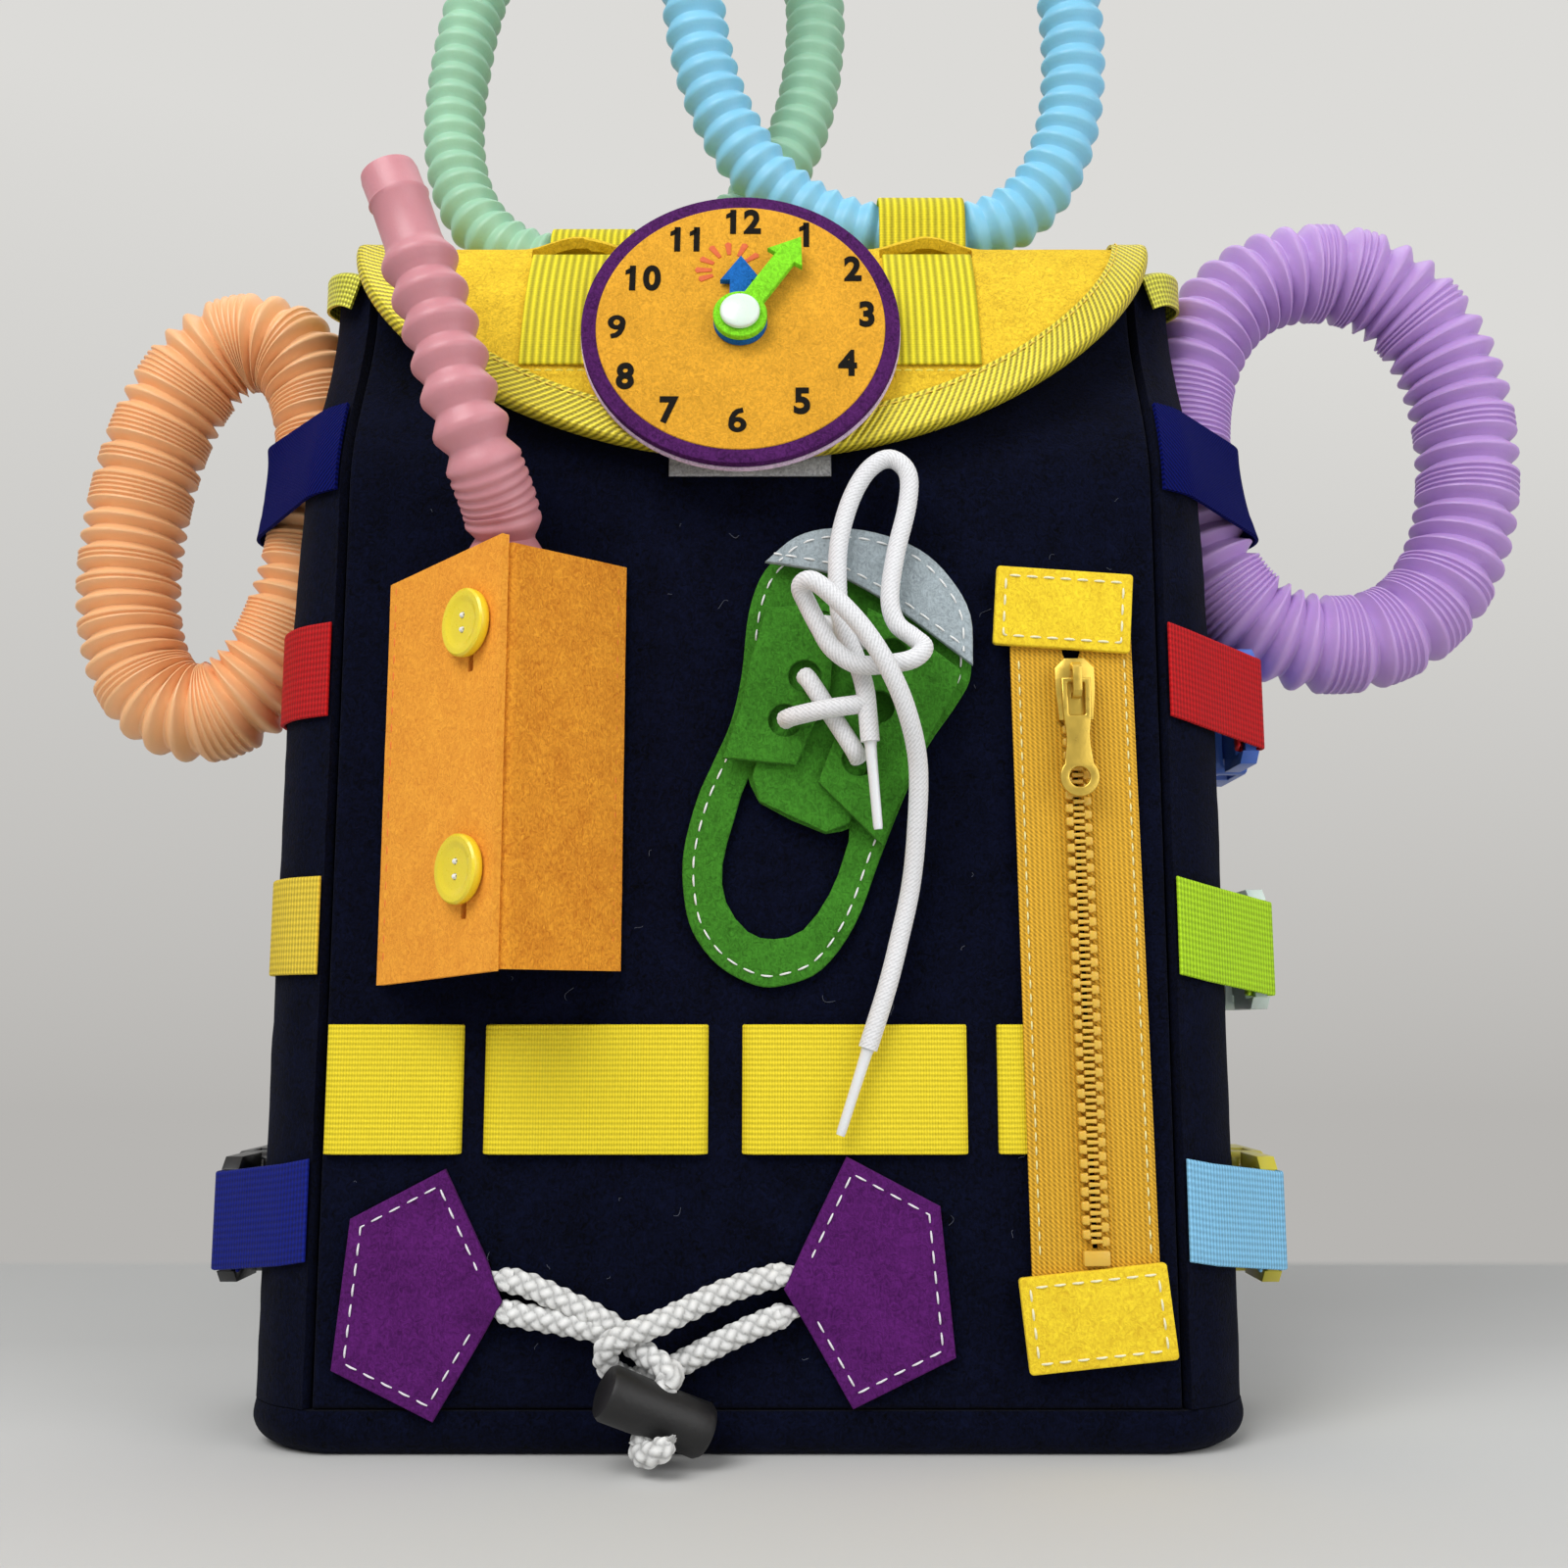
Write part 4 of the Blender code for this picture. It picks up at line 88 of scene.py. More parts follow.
class Look:
    """A node material: a Principled shader and the steps that feed it."""

    def __init__(self, name, roughness=0.9, metallic=0.0, sheen=0.0, coat=0.0, specular=0.5):
        self.material = bpy.data.materials.new(name)
        self.material.use_nodes = True
        self.tree = self.material.node_tree
        self.shader = self.tree.nodes["Principled BSDF"]
        for socket, value in (("Roughness", roughness), ("Metallic", metallic), ("Sheen Weight", sheen),
                              ("Coat Weight", coat), ("Specular IOR Level", specular)):
            self.shader.inputs[socket].default_value = value

    def node(self, kind, settings=(), **inputs):
        made = self.tree.nodes.new(kind)
        for key, value in dict(settings).items():
            setattr(made, key, value)
        for key, value in inputs.items():
            self.put(made.inputs[int(key[1:])], value)
        return made

    def put(self, socket, value):
        if isinstance(value, bpy.types.NodeSocket):
            self.tree.links.new(value, socket)
        else:
            socket.default_value = value

    def math(self, operation, a, b=0.0, clamp=False):
        settings = {"operation": operation, "use_clamp": clamp}
        return self.node("ShaderNodeMath", settings, i0=a, i1=b).outputs[0]

    def total(self, *parts):
        """The sum of (value, weight) pairs."""
        out = None
        for value, weight in parts:
            part = value if weight == 1 else self.math("MULTIPLY", value, weight)
            out = self.math("ADD", out, part) if out else part
        return out

    def share(self, value, start, length):
        """How far a value lies along a length, from 0 to 1."""
        return self.math("MULTIPLY", self.math("SUBTRACT", value, start), 1 / length, clamp=True)

    def place(self):
        return self.node("ShaderNodeTexCoord").outputs["Object"]

    def read(self, attribute):
        return self.node("ShaderNodeAttribute", {"attribute_name": attribute}).outputs["Fac"]

    def noise(self, scale, detail=2.0, stretch=None, twist=0.0):
        vector = self.place()
        if stretch:
            vector = self.node("ShaderNodeMapping", i0=vector, i3=stretch).outputs[0]
        made = self.node("ShaderNodeTexNoise", i0=vector)
        made.inputs["Scale"].default_value = scale
        made.inputs["Detail"].default_value = detail
        made.inputs["Distortion"].default_value = twist
        return made.outputs[0]

    def wave(self, value, pitch, shift=0.0):
        """A sine of a length, from 0 to 1."""
        turns = self.math("MULTIPLY", value, 2 * math.pi / pitch)
        sine = self.math("SINE", self.math("ADD", turns, shift))
        return self.math("MULTIPLY", self.math("ADD", sine, 1.0), 0.5)

    def spread(self, factor, low, high):
        """Two colours mixed by a factor."""
        made = self.node("ShaderNodeMix", {"data_type": "RGBA"})
        self.put(made.inputs[0], factor)
        made.inputs[6].default_value = (*low, 1)
        made.inputs[7].default_value = (*high, 1)
        return made.outputs[2]

    def colour(self, socket):
        self.tree.links.new(socket, self.shader.inputs["Base Color"])

    def rough(self, socket):
        self.tree.links.new(socket, self.shader.inputs["Roughness"])

    def bump(self, height, distance, strength=1.0):
        made = self.node("ShaderNodeBump")
        made.inputs["Strength"].default_value = strength
        made.inputs["Distance"].default_value = distance
        self.tree.links.new(height, made.inputs["Height"])
        self.tree.links.new(made.outputs[0], self.shader.inputs["Normal"])


def linear(red, green, blue):
    """A colour written as it looks on a screen, from 0 to 255, as the shader takes it."""
    shares = [c / 255 for c in (red, green, blue)]
    return tuple(c / 12.92 if c <= 0.04045 else ((c + 0.055) / 1.055) ** 2.4 for c in shares)


def shade(colour, factor):
    return tuple(min(1.0, c * factor) for c in colour)


LOOKS = {}


def remembered(make):
    """A look is made once from its screen colour and then found by its name."""
    def look_of(name, screen, *settings, **named):
        if name not in LOOKS:
            LOOKS[name] = make(name, linear(*screen), *settings, **named).material
        return LOOKS[name]
    return look_of


@remembered
def felt(name, base, contrast=0.16):
    """Pressed felt: curled fibres in all directions, soft blotches and hardly any shine."""
    look = Look(name, 0.95, sheen=0.02, specular=0.07)
    curls = look.noise(620, 5.0, twist=1.8)
    fibres = look.noise(1.0, 3.0, (2200, 2200, 800))
    tone = look.total((curls, 1.9), (fibres, 0.8), (look.noise(85, 3.0), 0.7))
    tone = look.math("SUBTRACT", tone, 1.2, clamp=True)
    look.colour(look.spread(tone, shade(base, 1 - 2 * contrast), shade(base, 1 + 2 * contrast)))
    look.bump(look.total((curls, 1), (fibres, 0.5)), 0.0005, 0.6)
    return look


@remembered
def woven(name, base, rib=0.0011, cross=0.0016, depth=0.35, slant=0.0, cords=0.6, roughness=0.7,
          metallic=0.0, specular=0.25):
    """Webbing: ribs across the strap and cords along it; slant makes it a twill. Its colour is painted darker
    in the weave's low places and lighter on its high places, as painted shade and light, with a random tone
    from stray fibres; depth sets how far the colour spreads.
    """
    look = Look(name, roughness, metallic, specular=specular)
    along, across = look.read("along"), look.read("across")
    ribs = look.wave(look.math("ADD", along, look.math("MULTIPLY", across, slant)), rib)
    weave = look.math("MULTIPLY", look.total((ribs, 1), (look.wave(across, cross), cords)), 1 / (1 + cords))
    stray = look.noise(1800, 2.0)
    # Painted shade in the weave's low places and painted light on its high places, plus a random tone from
    # stray fibres
    tone = look.total((weave, 0.75), (stray, 0.35))
    look.colour(look.spread(tone, shade(base, 1 - 1.5 * depth), shade(base, 1 + depth)))
    look.bump(look.total((weave, 1), (stray, 0.3)), 0.00035, 0.8)
    return look


@remembered
def plastic(name, base, roughness=0.38, coat=0.0):
    """Moulded plastic: nearly even, with faint flow marks and a fine grain."""
    look = Look(name, roughness, coat=coat)
    look.shader.inputs["Subsurface Weight"].default_value = 0.08
    look.shader.inputs["Subsurface Scale"].default_value = 0.002
    look.colour(look.spread(look.noise(45, 3.0), shade(base, 0.88), shade(base, 1.12)))
    grain = look.noise(1500, 2.0)
    look.rough(look.math("ADD", look.math("MULTIPLY", grain, 0.18), roughness - 0.09))
    look.bump(grain, 0.00008, 0.5)
    return look


@remembered
def metal(name, base, roughness=0.3):
    """Plated metal, a little worn."""
    look = Look(name, roughness, 0.85)
    worn = look.noise(400, 4.0)
    look.colour(look.spread(worn, shade(base, 0.8), shade(base, 1.1)))
    look.rough(look.math("ADD", look.math("MULTIPLY", worn, 0.25), roughness - 0.1))
    look.bump(look.noise(1200, 2.0), 0.00006, 0.5)
    return look


@remembered
def thread(name, base):
    """Sewing thread, fine and a little fuzzy."""
    look = Look(name, 0.7, sheen=0.2)
    look.colour(look.spread(look.noise(2600, 2.0), shade(base, 0.75), shade(base, 1.2)))
    look.bump(look.noise(3200, 2.0), 0.0001, 0.5)
    return look


@remembered
def plaited(name, base, dark):
    """White plaited yarn: the strands' tops are painted pale as light and the grooves between them painted
    grey as shade, with a random hairy tone.
    """
    look = Look(name, 0.85, specular=0.2)
    hair = look.noise(2200, 3.0, twist=1.0)
    # Painted light and shade: the ply attribute is low in the grooves between strands, where the colour is
    # darkened as painted shade
    tone = look.total((look.read("ply"), 0.8), (hair, 0.35))
    look.colour(look.spread(tone, shade(base, dark), shade(base, 1.04)))
    look.bump(hair, 0.0002, 0.6)
    return look


@remembered
def rubber(name, base):
    """Dull moulded rubber with a drawn grain."""
    look = Look(name, 0.5)
    look.colour(look.spread(look.noise(500, 3.0, (1, 1, 3)), shade(base, 0.7), shade(base, 1.5)))
    look.bump(look.noise(900, 3.0), 0.00012, 0.6)
    return look


def ink(name, scale, low, high, roughness=0.9, specular=0.5):
    """Print or fibre of one tone, mottled between two screen colours."""
    look = Look(name, roughness, specular=specular)
    look.colour(look.spread(look.noise(scale, 2.0), linear(*low), linear(*high)))
    return look.material


# Pieces


def keep(name, mesh, look, body, nodes=()):
    """A finished piece: its material, the body it rides on, and the CAD nodes it stands for."""
    obj = in_scene(name, mesh)
    mesh.materials.clear()
    mesh.materials.append(look)
    if body:
        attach(obj, body)
    if nodes:
        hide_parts(*nodes)
    return obj


def keep_all(name, meshes, look, body):
    """Several meshes as one piece that stands for no node."""
    return keep(name, joined(name, meshes), look, body)


# Mesh helpers


def smooth_shaded(mesh, angle=40):
    mesh.shade_smooth()
    mesh.set_sharp_from_angle(angle=math.radians(angle))
    return mesh


def mesh_of(name, verts, faces, attributes=None):
    mesh = bpy.data.meshes.new(name)
    mesh.from_pydata([tuple(v) for v in verts], [], faces)
    for key, values in (attributes or {}).items():
        made = mesh.attributes.new(key, "FLOAT", "POINT")
        made.data.foreach_set("value", np.asarray(values, np.float32).ravel())
    mesh.update()
    return mesh


def ease(x):
    x = min(max(x, 0.0), 1.0)
    return x * x * (3 - 2 * x)


def wobble(p, period, seed=0.0):
    """Smooth noise between about -1 and 1."""
    return noise.noise(Vector((p[0] / period + seed, p[1] / period, p[2] / period - seed)))


def smooth(points, steps=4):
    """A Catmull-Rom curve through the points."""
    pts = [Vector(p) for p in points]
    pts = [2 * pts[0] - pts[1]] + pts + [2 * pts[-1] - pts[-2]]
    out = []
    for a, b, c, d in zip(pts, pts[1:], pts[2:], pts[3:]):
        for k in range(steps):
            t = k / steps
            out.append(0.5 * (2 * b + (c - a) * t + (2 * a - 5 * b + 4 * c - d) * t * t
                              + (3 * b - a - 3 * c + d) * t ** 3))
    return out + [pts[-2]]


class Route:
    """A polyline that is read by the distance along it."""

    def __init__(self, points):
        self.points = np.array([tuple(p) for p in points])
        steps = np.linalg.norm(np.diff(self.points, axis=0), axis=1)
        self.marks = np.concatenate([[0], np.cumsum(steps)])
        self.length = float(self.marks[-1])

    def at(self, distance):
        return np.stack([np.interp(distance, self.marks, column) for column in self.points.T], axis=-1)

    def every(self, step):
        return self.at(np.linspace(0, self.length, max(2, int(round(self.length / step)) + 1)))


def graded(length, step, rim):
    """Places along an edge-to-edge length, close together at both rims, and the fullness there."""
    lead = [0, 0.15, 0.5, 1]
    full = [0, 0.53, 0.87, 1]
    count = max(2, int(round((length - 2 * rim) / step)))
    inner = np.linspace(rim, length - rim, count + 1)
    marks = [rim * k for k in lead[:-1]] + list(inner) + [length - rim * k for k in reversed(lead[:-1])]
    heights = full[:-1] + [1] * (count + 1) + list(reversed(full[:-1]))
    return np.array(marks), np.array(heights)


def normals_of(grid):
    du = np.gradient(grid, axis=0)
    dv = np.gradient(grid, axis=1)
    out = np.cross(du, dv)
    return out / np.maximum(np.linalg.norm(out, axis=2, keepdims=True), 1e-12)


def shell(name, surface, length, width, thickness, step=0.003, rim=None, fuzz=0.0, across_step=None):
    """A sheet with rounded rims: surface(along, across) gives its middle, in metres from one corner."""
    rim = rim or thickness / 2
    us, hu = graded(length, step, rim)
    vs, hv = graded(width, across_step or step, rim)
    grid = np.array([[tuple(surface(u, v)) for v in vs] for u in us])
    out = normals_of(grid)
    half = thickness / 2 * np.minimum(hu[:, None], hv[None, :])
    if fuzz:
        rough = np.array([[wobble(p, 0.0035) + 0.6 * wobble(p, 0.0013, 5) for p in row] for row in grid])
        grid = grid + out * (fuzz * rough)[..., None]
    front = grid + out * half[..., None]
    back = grid - out * half[..., None]
    rows, columns = half.shape
    index = -np.ones((2, rows, columns), int)
    verts, along, across = [], [], []
    for side, layer in enumerate((front, back)):
        for i in range(rows):
            for j in range(columns):
                edge = i in (0, rows - 1) or j in (0, columns - 1)
                if edge and side:
                    index[1, i, j] = index[0, i, j]
                    continue
                index[side, i, j] = len(verts)
                verts.append(layer[i, j])
                along.append(us[i])
                across.append(vs[j])
    faces = []
    for i in range(rows - 1):
        for j in range(columns - 1):
            a, b, c, d = index[0, i, j], index[0, i + 1, j], index[0, i + 1, j + 1], index[0, i, j + 1]
            faces.append((a, b, c, d))
            e, f, g, h = index[1, i, j], index[1, i, j + 1], index[1, i + 1, j + 1], index[1, i + 1, j]
            faces.append((e, f, g, h))
    mesh = mesh_of(name, verts, faces, {"along": along, "across": across})
    return smooth_shaded(mesh, 75)


def band(name, path, span, thickness, step=0.0015, across_step=0.005, ripple=None):
    """A strap: a path of its middle and the vector across its width."""
    route = Route(path)
    span = np.array(span, float)
    width = float(np.linalg.norm(span))

    def surface(u, v):
        p = route.at(u) + span * (v / width - 0.5)
        return p if ripple is None else ripple(p, u, v)

    return shell(name, surface, route.length, width, thickness, step, across_step=across_step)


def pipe(name, points, radii, sides=16, closed=False, carve=None, caps=True):
    """A tube through the points; carve(angle, distance) scales its radius."""
    pts = np.array([tuple(p) for p in points], float)
    radii = np.broadcast_to(np.asarray(radii, float), (len(pts),))
    if closed:
        run = np.roll(pts, -1, 0) - np.roll(pts, 1, 0)
    else:
        run = np.gradient(pts, axis=0)
    run /= np.linalg.norm(run, axis=1, keepdims=True)
    first = np.cross(run[0], (0.3, 0.2, 0.93))
    up = first / np.linalg.norm(first)
    frames = []
    for t in run:
        up = up - t * np.dot(up, t)
        up /= np.linalg.norm(up)
        frames.append((up, np.cross(t, up)))
    if closed:
        last = frames[-1][0] - run[0] * np.dot(frames[-1][0], run[0])
        twist = math.atan2(np.dot(last, frames[0][1]), np.dot(last, frames[0][0]))
    steps = np.linalg.norm(np.diff(pts, axis=0), axis=1)
    marks = np.concatenate([[0], np.cumsum(steps)])
    angles = np.arange(sides) * 2 * math.pi / sides
    verts, along, across, ply = [], [], [], []
    for k, (p, r, (a, b)) in enumerate(zip(pts, radii, frames)):
        lean = -twist * k / len(pts) if closed else 0
        turn = angles + lean
        full = carve(angles, marks[k]) if carve else np.ones(sides)
        size = r * full
        lowest = full.min()
        # ply: how far out each point lies between the carve's deepest and fullest; the plaited look paints
        # its groove shade with it
        ply += list((full - lowest) / max(1 - lowest, 1e-9))
        ring = p + size[:, None] * (np.cos(turn)[:, None] * a + np.sin(turn)[:, None] * b)
        verts += list(ring)
        along += [marks[k]] * sides
        across += list(angles / (2 * math.pi))
    count = len(pts)
    faces = []
    for k in range(count if closed else count - 1):
        n = (k + 1) % count
        for j in range(sides):
            m = (j + 1) % sides
            faces.append((k * sides + j, k * sides + m, n * sides + m, n * sides + j))
    if caps and not closed:
        faces.append(tuple(reversed(range(sides))))
        faces.append(tuple(range((count - 1) * sides, count * sides)))
    return mesh_of(name, verts, faces, {"along": along, "across": across, "ply": ply})


def lathe(name, profile, matrix, steps=32):
    """A profile of (radius, height) turned about the matrix's Z axis: on the axis at both ends, or a ring."""
    ring = profile[0][0] > 1e-9
    verts, faces, rows = [], [], []
    for r, h in profile:
        if r < 1e-9:
            rows.append([len(verts)] * steps)
            verts.append(matrix @ Vector((0, 0, h)))
        else:
            rows.append([len(verts) + k for k in range(steps)])
            for k in range(steps):
                a = 2 * math.pi * k / steps
                verts.append(matrix @ Vector((r * math.cos(a), r * math.sin(a), h)))
    pairs = list(zip(rows, rows[1:])) + ([(rows[-1], rows[0])] if ring else [])
    for low, high in pairs:
        for k in range(steps):
            n = (k + 1) % steps
            corners = [low[k], low[n], high[n], high[k]]
            corners = [c for i, c in enumerate(corners) if c not in corners[:i]]
            if len(corners) > 2:
                faces.append(tuple(corners))
    return fixed(mesh_of(name, verts, faces))


def fixed(mesh, angle=35):
    """Faces turned outwards, smooth but for sharp edges."""
    bm = bmesh.new()
    bm.from_mesh(mesh)
    bmesh.ops.remove_doubles(bm, verts=bm.verts, dist=1e-6)
    bmesh.ops.recalc_face_normals(bm, faces=bm.faces)
    bm.to_mesh(mesh)
    bm.free()
    return smooth_shaded(mesh, angle)


def flat(name, outlines, thickness, matrix, rounding=0.0006, grid=0.0, warp=None):
    """Filled outlines with rounded rims, cut by a grid so that they can follow a warp."""
    curve = bpy.data.curves.new(name, "CURVE")
    curve.dimensions = "2D"
    curve.fill_mode = "BOTH"
    curve.extrude = thickness / 2 - rounding
    curve.bevel_depth = rounding
    curve.bevel_resolution = 2
    curve.offset = -rounding
    for outline in outlines:
        spline = curve.splines.new("POLY")
        spline.points.add(len(outline) - 1)
        for k, p in enumerate(outline):
            spline.points[k].co = (p[0], p[1], 0, 1)
        spline.use_cyclic_u = True
    obj = in_scene(name + "_curve", curve)
    depsgraph = bpy.context.evaluated_depsgraph_get()
    mesh = bpy.data.meshes.new_from_object(obj.evaluated_get(depsgraph))
    bpy.data.objects.remove(obj)
    mesh.name = name
    bm = bmesh.new()
    bm.from_mesh(mesh)
    bmesh.ops.remove_doubles(bm, verts=bm.verts, dist=1e-6)
    if grid:
        low = [min(v.co[k] for v in bm.verts) for k in (0, 1)]
        high = [max(v.co[k] for v in bm.verts) for k in (0, 1)]
        for axis in (0, 1):
            for k in range(1, int((high[axis] - low[axis]) / grid)):
                at, normal = Vector((0, 0, 0)), Vector((0, 0, 0))
                at[axis], normal[axis] = low[axis] + k * grid, 1
                bmesh.ops.bisect_plane(bm, geom=bm.verts[:] + bm.edges[:] + bm.faces[:], dist=1e-6,
                                       plane_co=at, plane_no=normal)
    along = bm.verts.layers.float.new("along")
    across = bm.verts.layers.float.new("across")
    for v in bm.verts:
        v[along], v[across] = v.co.y, v.co.x
    bmesh.ops.transform(bm, verts=bm.verts, matrix=matrix)
    if warp:
        for v in bm.verts:
            v.co = warp(v.co)
    bmesh.ops.recalc_face_normals(bm, faces=bm.faces)
    bm.to_mesh(mesh)
    bm.free()
    return smooth_shaded(mesh, 50)


def joined(name, meshes):
    """Several meshes as one."""
    bm = bmesh.new()
    for mesh in meshes:
        bm.from_mesh(mesh)
    made = bpy.data.meshes.new(name)
    bm.to_mesh(made)
    bm.free()
    return smooth_shaded(made, 60)


def stitches(name, path, pitch=0.0042, length=0.0028, radius=0.00028, out=(0, -1, 0), lift=0.0001):
    """Thread stitches along a path that lies on a surface: each one arches from hole to hole."""
    route = Route(path)
    out = Vector(out)
    made = []
    count = max(1, int(route.length / pitch))
    for k in range(count):
        start = (k + 0.5) * route.length / count - length / 2
        points = []
        for j in range(7):
            t = j / 6
            rise = math.sin(math.pi * t) * 1.3 * radius - 0.6 * radius
            points.append(Vector(route.at(start + length * t)) + out * (rise + lift))
        sizes = [radius * s for s in (0.6, 0.9, 1, 1, 1, 0.9, 0.6)]
        made.append(pipe(name, points, sizes, 6))
    return joined(name, made)


def on_front(y, x=0, z=0, turn=0):
    """The placing of a flat piece whose outline is drawn in X and Z."""
    return (Matrix.Translation((x, y, z)) @ Matrix.Rotation(math.radians(-turn), 4, "Y")
            @ UPRIGHT)


def layer_y(level):
    return FRONT - CLEAR - THIN_FELT / 2 - level * (THIN_FELT + CLEAR)


def inset(outline, distance):
    """A closed 2D outline moved inwards by a distance."""
    pts = [Vector(p) for p in outline]
    area = sum(a.x * b.y - b.x * a.y for a, b in zip(pts, pts[1:] + pts[:1]))
    sign = 1 if area > 0 else -1
    out = []
    for a, b, c in zip(pts[-1:] + pts[:-1], pts, pts[1:] + pts[:1]):
        u, v = (b - a).normalized(), (c - b).normalized()
        n = Vector((-(u + v).y, (u + v).x))
        n = n.normalized() * sign * distance / max(0.3, math.cos(u.angle(v) / 2))
        out.append(b + n)
    return out


def closed_path(points, y):
    pts = list(points) + [points[0]]
    return [(p[0], y, p[1]) for p in pts]


def thick_grid(name, grid, thickness, side=0.0, fuzz=0.0, angle=75):
    """A closed shell on a grid of points: side 1 puts all of it outside, -1 inside."""
    grid = np.asarray(grid, float)
    out = normals_of(grid)
    rows, columns = grid.shape[:2]
    middle = grid[rows // 2], grid[:, columns // 2]
    across, along = [np.concatenate([[0], np.cumsum(np.linalg.norm(np.diff(m, axis=0), axis=1))])
                     for m in middle]
    if fuzz:
        rough = np.array([[wobble(p, 0.012) + 0.5 * wobble(p, 0.003, 5) for p in row] for row in grid])
        grid = grid + out * (fuzz * rough)[..., None]
    front = grid + out * thickness * (side + 1) / 2
    back = grid + out * thickness * (side - 1) / 2
    total = rows * columns
    index = np.arange(total).reshape(rows, columns)
    faces = []
    for i in range(rows - 1):
        for j in range(columns - 1):
            a, b, c, d = (int(n) for n in (index[i, j], index[i + 1, j], index[i + 1, j + 1],
                                           index[i, j + 1]))
            faces.append((a, b, c, d))
            faces.append((a + total, d + total, c + total, b + total))
    rim = list(index[0, :]) + list(index[1:, -1]) + list(index[-1, -2::-1]) + list(index[-2:0:-1, 0])
    for a, b in zip(rim, rim[1:] + rim[:1]):
        faces.append((int(a), int(b), int(b) + total, int(a) + total))
    values = {"along": np.tile(np.repeat(along, columns), 2), "across": np.tile(np.tile(across, rows), 2)}
    verts = list(front.reshape(-1, 3)) + list(back.reshape(-1, 3))
    return fixed(mesh_of(name, verts, faces, values), angle)


def hollow_pipe(name, points, radii, bores, sides=32):
    """A tube with a wall: an outer and an inner skin, joined at both ends."""
    outer = pipe(name + "_outer", points, radii, sides, caps=False)
    inner = pipe(name + "_inner", points, bores, sides, caps=False)
    count = len(outer.vertices)
    verts = [v.co for v in outer.vertices] + [v.co for v in inner.vertices]
    faces = [tuple(p.vertices) for p in outer.polygons]
    faces += [tuple(count + n for n in reversed(p.vertices)) for p in inner.polygons]
    for start in (0, count - sides):
        for j in range(sides):
            m = (j + 1) % sides
            faces.append((start + j, start + m, count + start + m, count + start + j))
    along = [d.value for d in outer.attributes["along"].data] * 2
    across = [d.value for d in outer.attributes["across"].data] * 2
    return fixed(mesh_of(name, verts, faces, {"along": along, "across": across}), 60)


def arc(centre, radius, start, end, steps):
    """Points on a circle between two angles in degrees."""
    angles = [math.radians(start + (end - start) * k / steps) for k in range(steps + 1)]
    return [Vector((centre[0] + radius * math.cos(a), centre[1] + radius * math.sin(a))) for a in angles]


def offset_line(points, distance):
    """A 2D polyline moved to its right-hand side by the distance."""
    pts = [Vector(p[:2]) for p in points]
    out = []
    for k, p in enumerate(pts):
        run = (pts[min(k + 1, len(pts) - 1)] - pts[max(k - 1, 0)]).normalized()
        out.append(p + distance * Vector((run.y, -run.x)))
    return out


def taut(points):
    """The outer, +X side of the hull of 2D points that run from the first to the last."""
    pts = sorted((Vector(p[:2]) for p in points), key=lambda p: (p.y, p.x))
    chain = []
    for p in pts:
        while len(chain) > 1:
            a = chain[-1] - chain[-2]
            b = p - chain[-1]
            if a.x * b.y - a.y * b.x > 0:
                break
            chain.pop()
        chain.append(p)
    return chain


def rectangle(width, height, corner=0, steps=6):
    """A centred rectangle, with rounded corners if a corner radius is given."""
    x, y = width / 2 - corner, height / 2 - corner
    if corner == 0:
        return [Vector(p) for p in ((x, y), (-x, y), (-x, -y), (x, -y))]
    return (arc((x, y), corner, 0, 90, steps) + arc((-x, y), corner, 90, 180, steps)
            + arc((-x, -y), corner, 180, 270, steps) + arc((x, -y), corner, 270, 360, steps))


# Colours that two or more pieces share, as they look in daylight

NAVY = (5, 8, 26)
YELLOW = (236, 190, 50)
GOLD = (226, 192, 48)
LEMON = (212, 198, 34)


# Cords: the shoelace, and the ropes with their toggle

LACE_RADIUS, LACE_FULLNESS = 0.0024, 1.02
AGLET_RADIUS, AGLET_LENGTH = 0.0013, 0.022
ROPE_RADIUS, ROPE_FULLNESS, ROPE_MEAN_SHARE = 0.0026, 1.24, 0.89
CORD_STEP = 0.0003
TOGGLE_PLACE, TOGGLE_TURN, TOGGLE_LEAN = (-0.0214, -0.0585, 0.0136), 20, 24
TOGGLE_HALF, TOGGLE_RADIUS, TOGGLE_BORE = 0.014, 0.0066, 0.0034
SHOELACE_ROUTE = ((0.0306, -0.0586, 0.1741), (0.0300, -0.0588, 0.1812), (0.0292, -0.0588, 0.1882),
                  (0.0268, -0.0582, 0.1964), (0.0239, -0.0580, 0.2036), (0.0227, -0.0570, 0.2128),
                  (0.0231, -0.0555, 0.2260), (0.0262, -0.0545, 0.2380), (0.0309, -0.0540, 0.2464),
                  (0.0365, -0.0540, 0.2494), (0.0410, -0.0545, 0.2455), (0.0409, -0.0550, 0.2370),
                  (0.0376, -0.0565, 0.2232), (0.0359, -0.0580, 0.2112), (0.0375, -0.0585, 0.2044),
                  (0.0416, -0.0595, 0.2006), (0.0440, -0.0625, 0.1972), (0.0411, -0.0650, 0.1938),
                  (0.0353, -0.0648, 0.1926), (0.0273, -0.0644, 0.1925), (0.0212, -0.0646, 0.1964),
                  (0.0178, -0.0652, 0.2018), (0.0149, -0.0660, 0.2073), (0.0131, -0.0685, 0.2112),
                  (0.0158, -0.0712, 0.2121), (0.0210, -0.0716, 0.2081), (0.0282, -0.0716, 0.2002),
                  (0.0344, -0.0706, 0.1906), (0.0394, -0.0665, 0.1797), (0.0424, -0.0600, 0.1675),
                  (0.0422, -0.0545, 0.1515), (0.0409, -0.0510, 0.1383), (0.0382, -0.0500, 0.1261),
                  (0.0348, -0.0508, 0.1133), (0.0298, -0.0510, 0.0980), )
